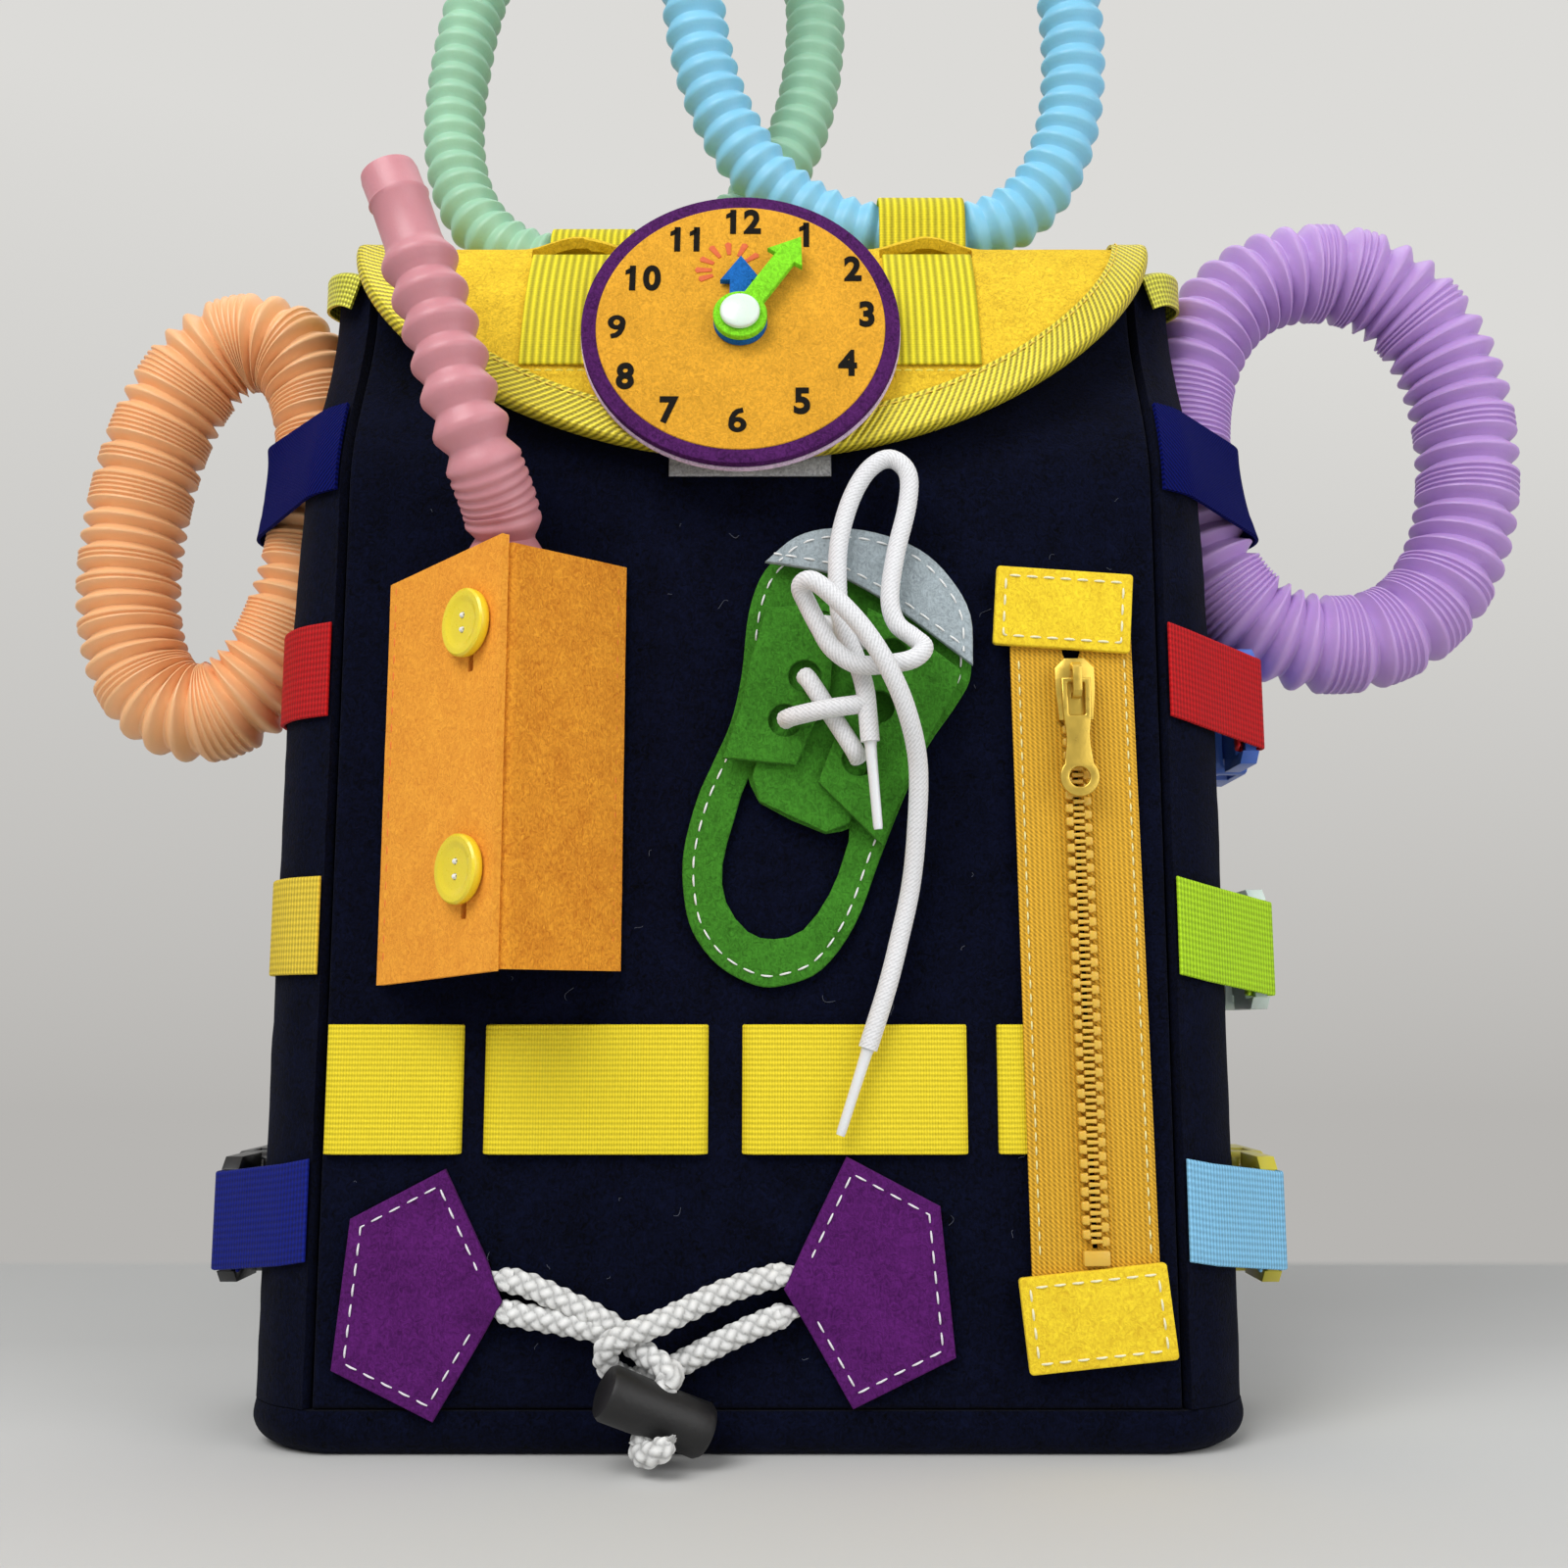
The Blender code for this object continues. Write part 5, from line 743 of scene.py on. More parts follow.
ROPE_LEFT_ROUTE = ((-0.0589, -0.0484, 0.0422), (-0.0533, -0.0484, 0.0408), (-0.0448, -0.0484, 0.0371),
                   (-0.0364, -0.0484, 0.0332), (-0.0301, -0.0486, 0.0293), (-0.0258, -0.0515, 0.0262), )
ROPE_LEFT_LEG = ((-0.0589, -0.0484, 0.0346), (-0.0531, -0.0484, 0.0334), (-0.0447, -0.0484, 0.0320),
                 (-0.0376, -0.0484, 0.0306), (-0.0320, -0.0485, 0.0295), )
ROPE_RIGHT_ROUTE = ((0.0084, -0.0484, 0.0434), (0.0018, -0.0484, 0.0417), (-0.0066, -0.0488, 0.0390),
                    (-0.0148, -0.0505, 0.0354), (-0.0221, -0.0538, 0.0325), (-0.0286, -0.0546, 0.0304),
                    (-0.0336, -0.0536, 0.0270), (-0.0332, -0.0500, 0.0218), (-0.0278, -0.0484, 0.0187),
                    (-0.0195, -0.0484, 0.0210), (-0.0101, -0.0484, 0.0256), (-0.0005, -0.0484, 0.0302),
                    (0.0084, -0.0484, 0.0338), )


def plait(strands, pitch, depth):
    """The radius of a plaited cord, as a share: strands of both turns pass over and under each other."""
    def carve(angles, along):
        one = strands * angles / (2 * math.pi) + along / pitch
        other = strands * angles / (2 * math.pi) - along / pitch
        over = (np.floor(one) + np.floor(other)) % 2 == 0
        a, b = one % 1 - 0.5, other % 1 - 0.5
        across, lengthwise = np.where(over, b, a), np.where(over, a, b)
        return 1 - depth + depth * np.cos(math.pi * across) * (0.6 + 0.4 * np.cos(math.pi * lengthwise))
    return carve


LACE_PLAIT = plait(12, 0.0011, 0.05)
ROPE_PLAIT = plait(4, 0.0042, 0.24)


def cord(name, points, radii, sides, carve):
    """A plaited cord's mesh."""
    return fixed(pipe(name, points, radii, sides, carve=carve), 60)


def aglet(name, end, before):
    """The clear tip of a lace, moulded over its last two millimetres."""
    end = Vector(end)
    run = (end - Vector(before)).normalized()
    line = [end + run * d for d in (-0.0018, -0.0002, 0.0012, AGLET_LENGTH * 0.5, AGLET_LENGTH - 0.0008,
                                    AGLET_LENGTH)]
    sizes = [LACE_RADIUS * share for share in (0.99, 0.9)]
    sizes += [AGLET_RADIUS * share for share in (1.15, 1, 0.94, 0.6)]
    mesh = fixed(pipe(name, smooth(line, 3), np.interp(np.linspace(0, 5, 16), range(6), sizes), 14), 40)
    return keep(name, mesh, plastic("aglet_film", (226, 228, 230), 0.25, coat=0.3), "bag")


def make_shoelace():
    # 0.66: how dark the painted shade in the lace's grooves is
    white = plaited("lace_yarn", (242, 242, 244), 0.66)
    route = Route(smooth(SHOELACE_ROUTE, 8))
    points = route.every(CORD_STEP)
    mesh = cord("shoelace_cord", points, LACE_RADIUS * LACE_FULLNESS, 36, LACE_PLAIT)
    lace = keep("shoelace_cord", mesh, white, "bag", ["shoelace"])
    tips = [aglet("aglet_short", points[0], points[3]), aglet("aglet_long", points[-1], points[-4])]
    make_crossings(white)


def toggle_frame():
    """The toggle's own frame: Z along its barrel, X along the bore."""
    return (Matrix.Translation(TOGGLE_PLACE) @ Matrix.Rotation(math.radians(TOGGLE_TURN), 4, "Z")
            @ Matrix.Rotation(math.radians(90 + TOGGLE_LEAN), 4, "Y"))


def tuck(name, points, side, look):
    """The end of a rope, flattened where it goes in under its patch."""
    start, second = Vector(points[0]), Vector(points[1])
    line = [start.lerp(second, 0.12), start, start + Vector((-side * 0.0022, 0.0014, 0.0002)),
            start + Vector((-side * 0.0046, 0.0022, 0.0007))]
    path = Route(smooth(line, 6)).every(CORD_STEP)
    size = np.interp(np.linspace(0, 1, len(path)), (0, 0.2, 0.6, 1), (0.97, 0.97, 0.6, 0.36))
    mesh = cord(name, path, ROPE_RADIUS * ROPE_FULLNESS * size, 40, ROPE_PLAIT)
    return keep(name, mesh, look, "bag")


def make_ropes():
    # 0.42: how dark the painted shade in the rope's grooves is
    white = plaited("rope_yarn", (238, 238, 236), 0.42)
    hub = toggle_frame()
    through = [hub @ Vector((x, 0, 0)) for x in (-TOGGLE_RADIUS - ROPE_RADIUS, -TOGGLE_RADIUS, 0, 0.0085)]
    made = {}
    for name, points, nodes in (("rope_left_upper", list(ROPE_LEFT_ROUTE) + through, ["rope_left"]),
                                ("rope_left_lower", ROPE_LEFT_LEG, []),
                                ("rope_right_loop", ROPE_RIGHT_ROUTE, ["rope_right"])):
        route = Route(smooth(points, 8))
        line = route.every(CORD_STEP)
        mesh = cord(name, line, ROPE_RADIUS * ROPE_FULLNESS, 40, ROPE_PLAIT)
        rope = keep(name, mesh, white, "bag", nodes)
        made[name] = (rope, route.length, [list(p) for p in line])
    tucks = [tuck(name, points, side, white) for name, points, side in (
        ("rope_tuck_upper", ROPE_LEFT_ROUTE, 1), ("rope_tuck_lower", ROPE_LEFT_LEG, 1),
        ("rope_tuck_first", ROPE_RIGHT_ROUTE, -1), ("rope_tuck_last", ROPE_RIGHT_ROUTE[::-1], -1))]
    tuft = make_tuft(hub, white)
    hardware = make_toggle(hub)
    rope, length, line = made["rope_left_upper"]
    rope, length, line = made["rope_right_loop"]


def make_tuft(hub, look):
    """The rope's cut end, bent forward below the toggle, with a few loose threads."""
    bend = hub @ Vector((0.0088, 0, 0))
    line = [hub @ Vector((0.0060, 0, 0)), bend]
    line += [bend + Vector(p) for p in ((0.0014, -0.0036, -0.0004), (0.0046, -0.0066, 0.0010),
                                        (0.0080, -0.0078, 0.0034))]
    points = Route(smooth(line, 8)).every(CORD_STEP)
    size = np.interp(np.linspace(0, 1, len(points)), (0, 0.5, 0.85, 0.97, 1),
                     (0.0027, 0.0032, 0.0030, 0.0021, 0.0006))
    made = [pipe("stub", points, size, 40, carve=ROPE_PLAIT)]
    tip = Vector(points[-1])
    for k in range(12):
        turn = 2.4 * k
        side = Vector((0.5 * math.cos(turn), 0.4 * math.sin(turn), 0.8 * math.cos(turn + 1)))
        way = Vector((0.5, -0.2, 0.35)) + 0.6 * side
        root = tip + side * 0.0012 - Vector((0.6, -0.2, 0.4)) * 0.0020
        made.append(pipe("thread", [root + way * t * 0.0020 for t in (0, 0.4, 0.75, 1)],
                         [0.00042, 0.00040, 0.00034, 0.00018], 6))
    return keep_all("rope_tuft", made, look, "bag")


def make_toggle(hub):
    half, radius, bore = TOGGLE_HALF, TOGGLE_RADIUS, TOGGLE_BORE
    profile = [(0, -half), (radius * 0.72, -half), (radius * 0.9, -half + 0.0005), (radius, -half + 0.0016)]
    profile += [(radius * s, half * z) for s, z in ((0.985, -0.5), (0.97, 0), (0.985, 0.5))]
    profile += [(radius, half - 0.0016), (radius * 0.9, half - 0.0005), (radius * 0.72, half), (0, half)]
    mesh = lathe("toggle_barrel", profile, hub, 48)
    hole = [(0, -0.012), (bore, -0.012), (bore, 0.012), (0, 0.012)]
    cut_away(mesh, [lathe("toggle_bore", hole, hub @ Matrix.Rotation(math.radians(90), 4, "Y"), 24)])
    return keep("toggle_barrel", mesh, rubber("toggle_rubber", (13, 13, 15)), "bag", ["toggle"])


def cut_away(mesh, cutters, smooth_angle=35):
    """The mesh less the cutters, in place."""
    target = in_scene("cut_target", mesh)
    tools = []
    for k, cutter in enumerate(cutters):
        tool = in_scene(f"cut_tool_{k}", cutter)
        step = target.modifiers.new(f"cut_{k}", "BOOLEAN")
        step.operation = "DIFFERENCE"
        step.object = tool
        tools.append(tool)
    depsgraph = bpy.context.evaluated_depsgraph_get()
    made = bpy.data.meshes.new_from_object(target.evaluated_get(depsgraph), preserve_all_data_layers=True,
                                           depsgraph=depsgraph)
    bm = bmesh.new()
    bm.from_mesh(made)
    bm.to_mesh(mesh)
    bm.free()
    for obj in [target, *tools]:
        bpy.data.objects.remove(obj)
    return smooth_shaded(mesh, smooth_angle)


# Shoe outlines, in shares of its width and height

SHOE_WIDTH, SHOE_HEIGHT, SHOE_LEFT, SHOE_FOOT = 0.0745, 0.118, -0.0170, 0.1135
EYELET_RADIUS = 0.0042
SHOE_SHARES = ((0.283, 0.916), (0.226, 0.820), (0.201, 0.676), (0.164, 0.572), (0.107, 0.488),
               (0.050, 0.404), (0.006, 0.292), (0.006, 0.200), (0.038, 0.116), (0.126, 0.044),
               (0.252, 0.002), (0.352, 0.002), (0.478, 0.036), (0.591, 0.132), (0.679, 0.276),
               (0.755, 0.396), (0.843, 0.516), (0.956, 0.620), (1.000, 0.684), (0.987, 0.800),
               (0.918, 0.880), (0.818, 0.944), (0.668, 0.982), (0.528, 0.992), (0.390, 0.972))
HEEL_SHARES = ((0.226, 0.450), (0.176, 0.356), (0.138, 0.260), (0.151, 0.180), (0.226, 0.116),
               (0.314, 0.100), (0.415, 0.120), (0.503, 0.196), (0.553, 0.276), (0.573, 0.340),
               (0.491, 0.328), (0.264, 0.396))
TOE_SHARES = ((0.283, 0.924), (0.390, 0.980), (0.516, 1.000), (0.667, 0.990), (0.820, 0.952),
              (0.925, 0.888), (0.994, 0.804), (1.000, 0.692), (0.805, 0.788), (0.690, 0.840),
              (0.541, 0.892), (0.400, 0.912))
TONGUE_SHARES = ((0.24, 0.450), (0.264, 0.396), (0.491, 0.328), (0.573, 0.348), (0.680, 0.560),
                 (0.640, 0.760), (0.420, 0.780), (0.300, 0.600))
LEFT_EYESTAY_SHARES = ((0.289, 0.820), (0.516, 0.832), (0.522, 0.740), (0.510, 0.644), (0.440, 0.540),
                       (0.390, 0.472), (0.140, 0.488), (0.200, 0.600), (0.232, 0.700))
RIGHT_EYESTAY_SHARES = ((0.600, 0.660), (0.465, 0.436), (0.685, 0.296), (0.755, 0.410), (0.843, 0.530),
                        (0.940, 0.640), (0.960, 0.680), (0.760, 0.780), (0.640, 0.820))
EYELET_SHARES = ((0.484, 0.780), (0.421, 0.667), (0.352, 0.570))
RIGHT_EYELET_SHARES = ((0.720, 0.716), (0.672, 0.600), (0.604, 0.484))


def shoe_points(shares):
    return [Vector((SHOE_LEFT + x * SHOE_WIDTH, SHOE_FOOT + z * SHOE_HEIGHT)) for x, z in shares]


def closed_smooth(points, steps=3):
    ring = list(points)
    long = smooth(ring[-2:] + ring + ring[:3], steps)
    return long[2 * steps:(len(ring) + 2) * steps]


def make_crossings(look):
    """The lace between the eyelets, under and over the eyestays."""
    seat = layer_y(2) - THIN_FELT / 2 - CLEAR - LACE_RADIUS
    deep = layer_y(1) - THIN_FELT / 2 - CLEAR - LACE_RADIUS
    left, right = shoe_points(EYELET_SHARES), shoe_points(RIGHT_EYELET_SHARES)
    nip = LACE_RADIUS / 5
    over = seat - 2 * LACE_RADIUS + nip
    crossings = ((left[0], right[0].lerp(left[0], 0.35), seat, seat - LACE_RADIUS - nip),
                 (left[1], right[2], seat, deep), (left[2], right[1].lerp(left[2], 0.15), over, over))
    made = []
    for start, end, lift, last in crossings:
        near, half, far = [start.lerp(end, share) for share in (0.12, 0.5, 0.88)]
        path = [(start.x, deep, start.y), (near.x, (deep + lift) / 2 if lift < seat else lift, near.y),
                (half.x, lift, half.y), (far.x, lift, far.y), (end.x, last, end.y)]
        points = Route(smooth(path, 8)).every(CORD_STEP)
        made.append(pipe("crossing", points, LACE_RADIUS * LACE_FULLNESS, 36, carve=LACE_PLAIT))
    keep_all("shoelace_crossings", made, look, "bag")


make_shoelace()
make_ropes()


# Bag shell

GUSSET_DEPTHS = (0, 0.07, 0.19, 0.30, 0.42, 0.67, 0.77, 0.86, 0.94, 1)
GUSSET_ROLLS = (0, 0.60, 1, 0.75, 0, 0, 0, 0, 0, 0)
GUSSET_DIPS = (0, 0, 0, 0, 1, 1, 0, 0, 0, 0)
GUSSET_REARS = (0, 0, 0, 0, 0, 0, 0.75, 1, 0.70, 0)
# How far the gusset stands off the front panel's side, and its roll, dip and rear roll where they are full
GUSSET_OFF, FULL_ROLL, FULL_DIP, FULL_REAR = 0.0021, 0.0165, 0.0035, 0.012
SEAM_ROLL, SEAM_TAPE = 0.0017, 0.0008
ZIP_CENTRE = 0.0845


def front_y(z):
    rise = min(max((z - LEAN_START) / (PANEL_TOP - LEAN_START), 0), 1)
    return -BAG_DEPTH / 2 + LEAN_BACK * rise * rise * (3 - 2 * rise)


def gusset_plan(z, steps=1):
    """The outer face of the right gusset at one height, from the front seam to the back seam."""
    full = 1 - 0.3 * max(0, (z - 0.190) / (GUSSET_TOP - 0.190))
    points = []
    for depth, roll, dip, rear in zip(GUSSET_DEPTHS, GUSSET_ROLLS, GUSSET_DIPS, GUSSET_REARS):
        y = front_y(z) + depth * (BAG_DEPTH / 2 - front_y(z))
        swell = roll * FULL_ROLL + dip * FULL_DIP + rear * FULL_REAR
        points.append((PANEL_WIDTH / 2 + GUSSET_OFF + full * swell, y))
    return smooth([(x, y, 0) for x, y in points], steps)


def gusset_top(share):
    front = max(0, 1 - share / 0.30)
    rear = max(0, (share - 0.72) / 0.28)
    return GUSSET_TOP - 0.006 * front ** 2 - 0.009 * rear ** 2


def gusset_grid(rows=72, steps=5):
    """The right gusset's face as rows of points."""
    count = (len(GUSSET_DEPTHS) - 1) * steps
    grid = []
    for i in range(rows + 1):
        row = []
        for k in range(count + 1):
            z = FOOT_HEIGHT + (gusset_top(k / count) - FOOT_HEIGHT) * i / rows
            p = gusset_plan(z, steps)[k]
            row.append((p.x, p.y, z))
        grid.append(row)
    return np.array(grid)


def make_bag():
    navy = felt("navy_felt", NAVY, 0.45)
    half = PANEL_WIDTH / 2
    height = PANEL_TOP - FOOT_HEIGHT

    def front_surface(u, v):
        z = FOOT_HEIGHT + u
        x = v - half
        return x, front_y(z) + FELT / 2 - front_wave(x, z), z

    keep("front_felt", shell("front_felt", front_surface, height, PANEL_WIDTH, FELT, 0.003, fuzz=0.00006),
         navy, "bag", ["front_panel"])

    def back_surface(u, v):
        return half - v, BAG_DEPTH / 2 - FELT / 2, FOOT_HEIGHT + u

    keep("back_felt", shell("back_felt", back_surface, BACK_TOP - FOOT_HEIGHT, PANEL_WIDTH, FELT, 0.005,
                            fuzz=0.00006), navy, "bag", ["back_panel"])
    for side, name in ((1, "right_gusset_felt"), (-1, "left_gusset_felt")):
        grid = gusset_grid() * np.array((side, 1, 1))
        if side < 0:
            grid = grid[:, ::-1]
        mesh = thick_grid(name, grid, FELT, side=1, fuzz=0.00025)
        keep(name, mesh, navy, "bag")
    rolls = []
    for side in (-1, 1):
        line = [Vector((side * half, BAG_DEPTH / 2 - FELT - 0.0004, z)) for z in
                np.linspace(FOOT_HEIGHT + FELT, BACK_TOP - 0.0015, 60)]
        rolls.append(pipe("seam_roll", line, SEAM_ROLL, 12))
    keep_all("back_seam_rolls", rolls, navy, "bag")
    inner = BAG_DEPTH / 2 - FELT - 0.0010
    tape = [[(x, inner, z) for x in np.linspace(-half + 0.004, half - 0.004, 80)]
            for z in np.linspace(BACK_TOP - 0.007, BACK_TOP + 0.0032, 8)]
    keep("back_seam_tape", thick_grid("back_seam_tape", tape, SEAM_TAPE), navy, "bag")
    make_tray(navy)
    make_gusset_bindings()


def front_wave(x, z):
    """How far the front panel and all that lies on it swell out, flat near the zipper and the edges."""
    edge = ease((PANEL_WIDTH / 2 - abs(x)) / 0.02) * ease((z - FOOT_HEIGHT) / 0.02)
    edge *= ease((LEAN_START - z) / 0.03)
    away = ease((abs(x - ZIP_CENTRE) - 0.018) / 0.02)
    return 0.0005 * edge * away * wobble((x, 0, z), 0.045, 3.0)


def on_wave(co):
    return Vector((co.x, co.y - front_wave(co.x, co.z), co.z))


# The tray's wall from its top to the floor, as shares of its width, depth and height
TRAY_SHARES = ((1, 1, 1), (1.004, 1.012, 0.6), (0.99, 0.985, 0.22), (0.965, 0.93, 0))
GUSSET_STEPS = 5
GUSSET_TAPE, GUSSET_TAPE_WIDTH = 0.0008, 0.0085


def make_tray(look):
    """The strip under the bag, whose edges roll up to the seams."""
    half = PANEL_WIDTH / 2
    side = [(p.x, p.y) for p in gusset_plan(FOOT_HEIGHT, 4)]
    front = [(-half + 2 * half * k / 40, FRONT) for k in range(41)]
    back = [(half - 2 * half * k / 40, BAG_DEPTH / 2) for k in range(41)]
    left = [(-x, y) for x, y in reversed(side)]
    loop = np.array(front + side[1:-1] + back + left[1:-1])
    shares = smooth(TRAY_SHARES, 4)
    verts, faces = [], []
    for layer, away in ((0, 0.0), (1, FELT)):
        for wide, deep, up in shares:
            z = max(up, 0) * (FOOT_HEIGHT - CLEAR)
            for x, y in loop:
                verts.append((x * wide - math.copysign(away, x) * (abs(x) > half), y * deep
                              - math.copysign(away, y), z + away * (1 - max(up, 0))))
    n, count = len(loop), len(shares)
    for layer in (0, 1):
        base = layer * n * count
        for k in range(count - 1):
            for j in range(n):
                m = (j + 1) % n
                faces.append((base + k * n + j, base + (k + 1) * n + j, base + (k + 1) * n + m,
                              base + k * n + m))
        faces.append([base + (count - 1) * n + j for j in range(n)])
    for j in range(n):
        m = (j + 1) % n
        faces.append((j, m, n * count + m, n * count + j))
    mesh = fixed(mesh_of("bottom_felt", verts, faces), 75)
    keep("bottom_felt", mesh, look, "bag", ["gusset"])


FOLD_SHARES = ((1, 1), (0.3, 1), (0, 1.02), (-0.07, 0.72), (-0.10, 0), (-0.07, -0.72), (0, -1.02),
               (0.3, -1), (1, -1))


def fold_rows(reach, off):
    """How far in and how far off the middle a folded tape's points lie."""
    line = smooth([(reach * a, off * b, 0) for a, b in FOLD_SHARES], 2)
    return [(p.x if p.x > 0 else p.x * off / reach * 6, p.y) for p in line]


def make_gusset_bindings():
    """Gold tape folded over the top edge of each gusset."""
    basket = woven("gold_basket", (240, 206, 66), rib=0.0014, cross=0.0014, depth=0.6, cords=1.0,
                   roughness=0.4, metallic=0.3, specular=0.5)
    count = (len(GUSSET_DEPTHS) - 1) * GUSSET_STEPS
    for side, name in ((1, "right_gusset_binding"), (-1, "left_gusset_binding")):
        edge = []
        for k in range(count + 1):
            z = gusset_top(k / count)
            p = gusset_plan(z, GUSSET_STEPS)[k]
            edge.append(Vector((side * p.x, p.y, z)))
        grid = []
        for k, p in enumerate(edge):
            run = (edge[min(k + 1, count)] - edge[max(k - 1, 0)]).normalized()
            down = Vector((0, 0, -1)) - run * run.dot(Vector((0, 0, -1)))
            out = down.normalized().cross(run) * side
            if out.x * side < 0:
                out = -out
            middle = p + out * FELT / 2
            grid.append([tuple(middle + down.normalized() * a + out * b)
                         for a, b in fold_rows(GUSSET_TAPE_WIDTH, FELT / 2 + 0.0007)])
        mesh = thick_grid(name, grid, GUSSET_TAPE, angle=60)
        keep(name, mesh, basket, "bag")


make_bag()


# Flap

FLAP_OVERHANG = 0.0045
FLAP_HALF_WIDTH = PANEL_WIDTH / 2 + FLAP_OVERHANG
FLAP_DROP = 0.082
FLAP_FLAT_END = 0.017
BEND_RADIUS, BEND_TURN = 0.012, 50
BINDING_WIDTH = 0.0085
SLIT_WIDTH, LOOP_SLIT_WIDTH = 0.0042, 0.0040
FLAP_ELASTIC_WIDTH = 0.025
FLAP_ELASTIC_SPREAD = 0.049
FRONT_SLIT_DROP = 0.011
STRAP_TAIL = 0.006
PATCH_WIDTH, PATCH_HEIGHT, HOOK_PATCH_HEIGHT, PATCH_THICKNESS = 0.043, 0.018, 0.013, 0.0012
LOOP_PATCH_PEEP = 0.0051
LOOP_RADIUS = 0.0095
GREEN_LOOP_Y, BLUE_LOOP_Y = 0.012, -0.007
TUBE_GRIP = 0.0012
FLAP_MID = GUSSET_TOP + CLEAR + TAPE + CLEAR + FELT / 2 + 2 * CLEAR + TAPE
FLAP_START_Z = BACK_TOP + CLEAR
FLAP_BACK_RADIUS = FLAP_MID - FLAP_START_Z
FLAP_START_Y = BAG_DEPTH / 2 - FELT / 2
BEND_LENGTH = BEND_RADIUS * math.radians(BEND_TURN)
FLAP_LEGS = (
    (FLAP_BACK_RADIUS * math.pi / 2, 90),
    (FLAP_START_Y - FLAP_BACK_RADIUS + FLAP_FLAT_END, 0),
    (BEND_LENGTH, BEND_TURN),
    (FLAP_DROP - BEND_LENGTH, 90 - BEND_TURN),
)
FLAP_FLAT_S = FLAP_LEGS[0][0] + FLAP_LEGS[1][0]
GATE = FLAP_FLAT_S + FRONT_SLIT_DROP


def flap_profile(s, off=0):
    """Y, Z and heading in degrees at a distance along the flap's middle, off to its outer side."""
    y, z, heading = FLAP_START_Y, FLAP_START_Z, 90
    for k, (length, turn) in enumerate(FLAP_LEGS):
        run = s if k == len(FLAP_LEGS) - 1 else min(max(s, 0), length)
        turned = turn * run / length
        if turn:
            radius = length / math.radians(turn)
            a, b = math.radians(heading), math.radians(heading + turned)
            y += radius * (math.sin(b) - math.sin(a))
            z += radius * (math.cos(a) - math.cos(b))
        else:
            y += run * math.cos(math.radians(heading))
            z += run * math.sin(math.radians(heading))
        heading += turned
        s -= run
        if s <= 0:
            break
    a = math.radians(heading)
    return y + off * math.sin(a), z - off * math.cos(a), heading


def flap_at(x, s, off=0):
    return Vector((x, *flap_profile(s, off)[:2]))


def flap_drop(x):
    return FLAP_DROP * math.sqrt(max(0, 1 - (x / FLAP_HALF_WIDTH) ** 2))


def lip(x, s):
    """How far the felt stands off above the front slits, where the elastics go in."""
    beside = max(ease(1 - abs(abs(x) - FLAP_ELASTIC_SPREAD) / 0.017), 0)
    above = ease(1 - max(0, GATE - 0.002 - s) / 0.010) if s < GATE else 0
    return 0.0040 * beside * above


def make_flap():
    columns = [FLAP_HALF_WIDTH * math.sin(math.radians(t)) for t in np.linspace(-85, 85, 121)]
    rows = []
    for s in np.concatenate([np.linspace(0, FLAP_LEGS[0][0], 12)[:-1],
                             np.linspace(FLAP_LEGS[0][0], FLAP_FLAT_S, 28)]):
        rows.append([tuple(flap_at(x, s)) for x in columns])
    for share in np.linspace(0, 1, 55)[1:]:
        rows.append([tuple(flap_at(x, FLAP_FLAT_S + share * flap_drop(x),
                                   lip(x, FLAP_FLAT_S + share * flap_drop(x)))) for x in columns])
    mesh = thick_grid("flap_felt", rows, FELT, fuzz=0.00007)
    cutters = []
    for x, tube_y in ((-FLAP_ELASTIC_SPREAD, GREEN_LOOP_Y), (FLAP_ELASTIC_SPREAD, BLUE_LOOP_Y)):
        rise = LOOP_RADIUS + TUBE_GRIP + ELASTIC / 2
        for s, width in ((GATE, SLIT_WIDTH), (flat_top_s(tube_y - rise), LOOP_SLIT_WIDTH),
                         (flat_top_s(tube_y + rise), LOOP_SLIT_WIDTH)):
            cutters.append(slit_cutter(x, s, width))
    pin = clock_frame() @ Matrix.Translation((0, 0, -0.012))
    cutters.append(lathe("pin_hole", [(0, -0.02), (0.0024, -0.02), (0.0024, 0.012), (0, 0.012)], pin, 24))
    cut_away(mesh, cutters, 60)
    keep("flap_felt", mesh, felt("yellow_felt", YELLOW), "flap", ["flap"])
    make_flap_binding()
    make_flap_elastics()
    make_closure_patches()


def slit_cutter(x, s, width):
    y, z, heading = flap_profile(s)
    at = Matrix.Translation((x, y, z)) @ Matrix.Rotation(math.radians(heading), 4, "X")
    half = FLAP_ELASTIC_WIDTH / 2 + 0.0006
    bm = bmesh.new()
    bmesh.ops.create_cube(bm, size=1)
    bmesh.ops.transform(bm, verts=bm.verts, matrix=at @ Matrix.Diagonal((2 * half, width, 0.011, 1)))
    mesh = bpy.data.meshes.new("slit")
    bm.to_mesh(mesh)
    bm.free()
    return mesh


def flap_edge():
    """Stations (x, s) round the flap's free edge, with the direction into the flap."""
    columns = [FLAP_HALF_WIDTH * math.sin(math.radians(t)) for t in np.linspace(-85, 85, 150)]
    rim = [Vector((x, FLAP_FLAT_S + flap_drop(x))) for x in columns]
    start = FLAP_LEGS[0][0] + 2 * TAPE
    sides = list(np.linspace(start, FLAP_FLAT_S + flap_drop(columns[0]) * 0.96, 40))
    line = [Vector((columns[0], s)) for s in sides] + rim
    line += [Vector((columns[-1], s)) for s in reversed(sides)]
    inward = []
    for k in range(len(line)):
        run = (line[min(k + 2, len(line) - 1)] - line[max(k - 2, 0)]).normalized()
        inward.append(Vector((run.y, -run.x)))
    return line, inward


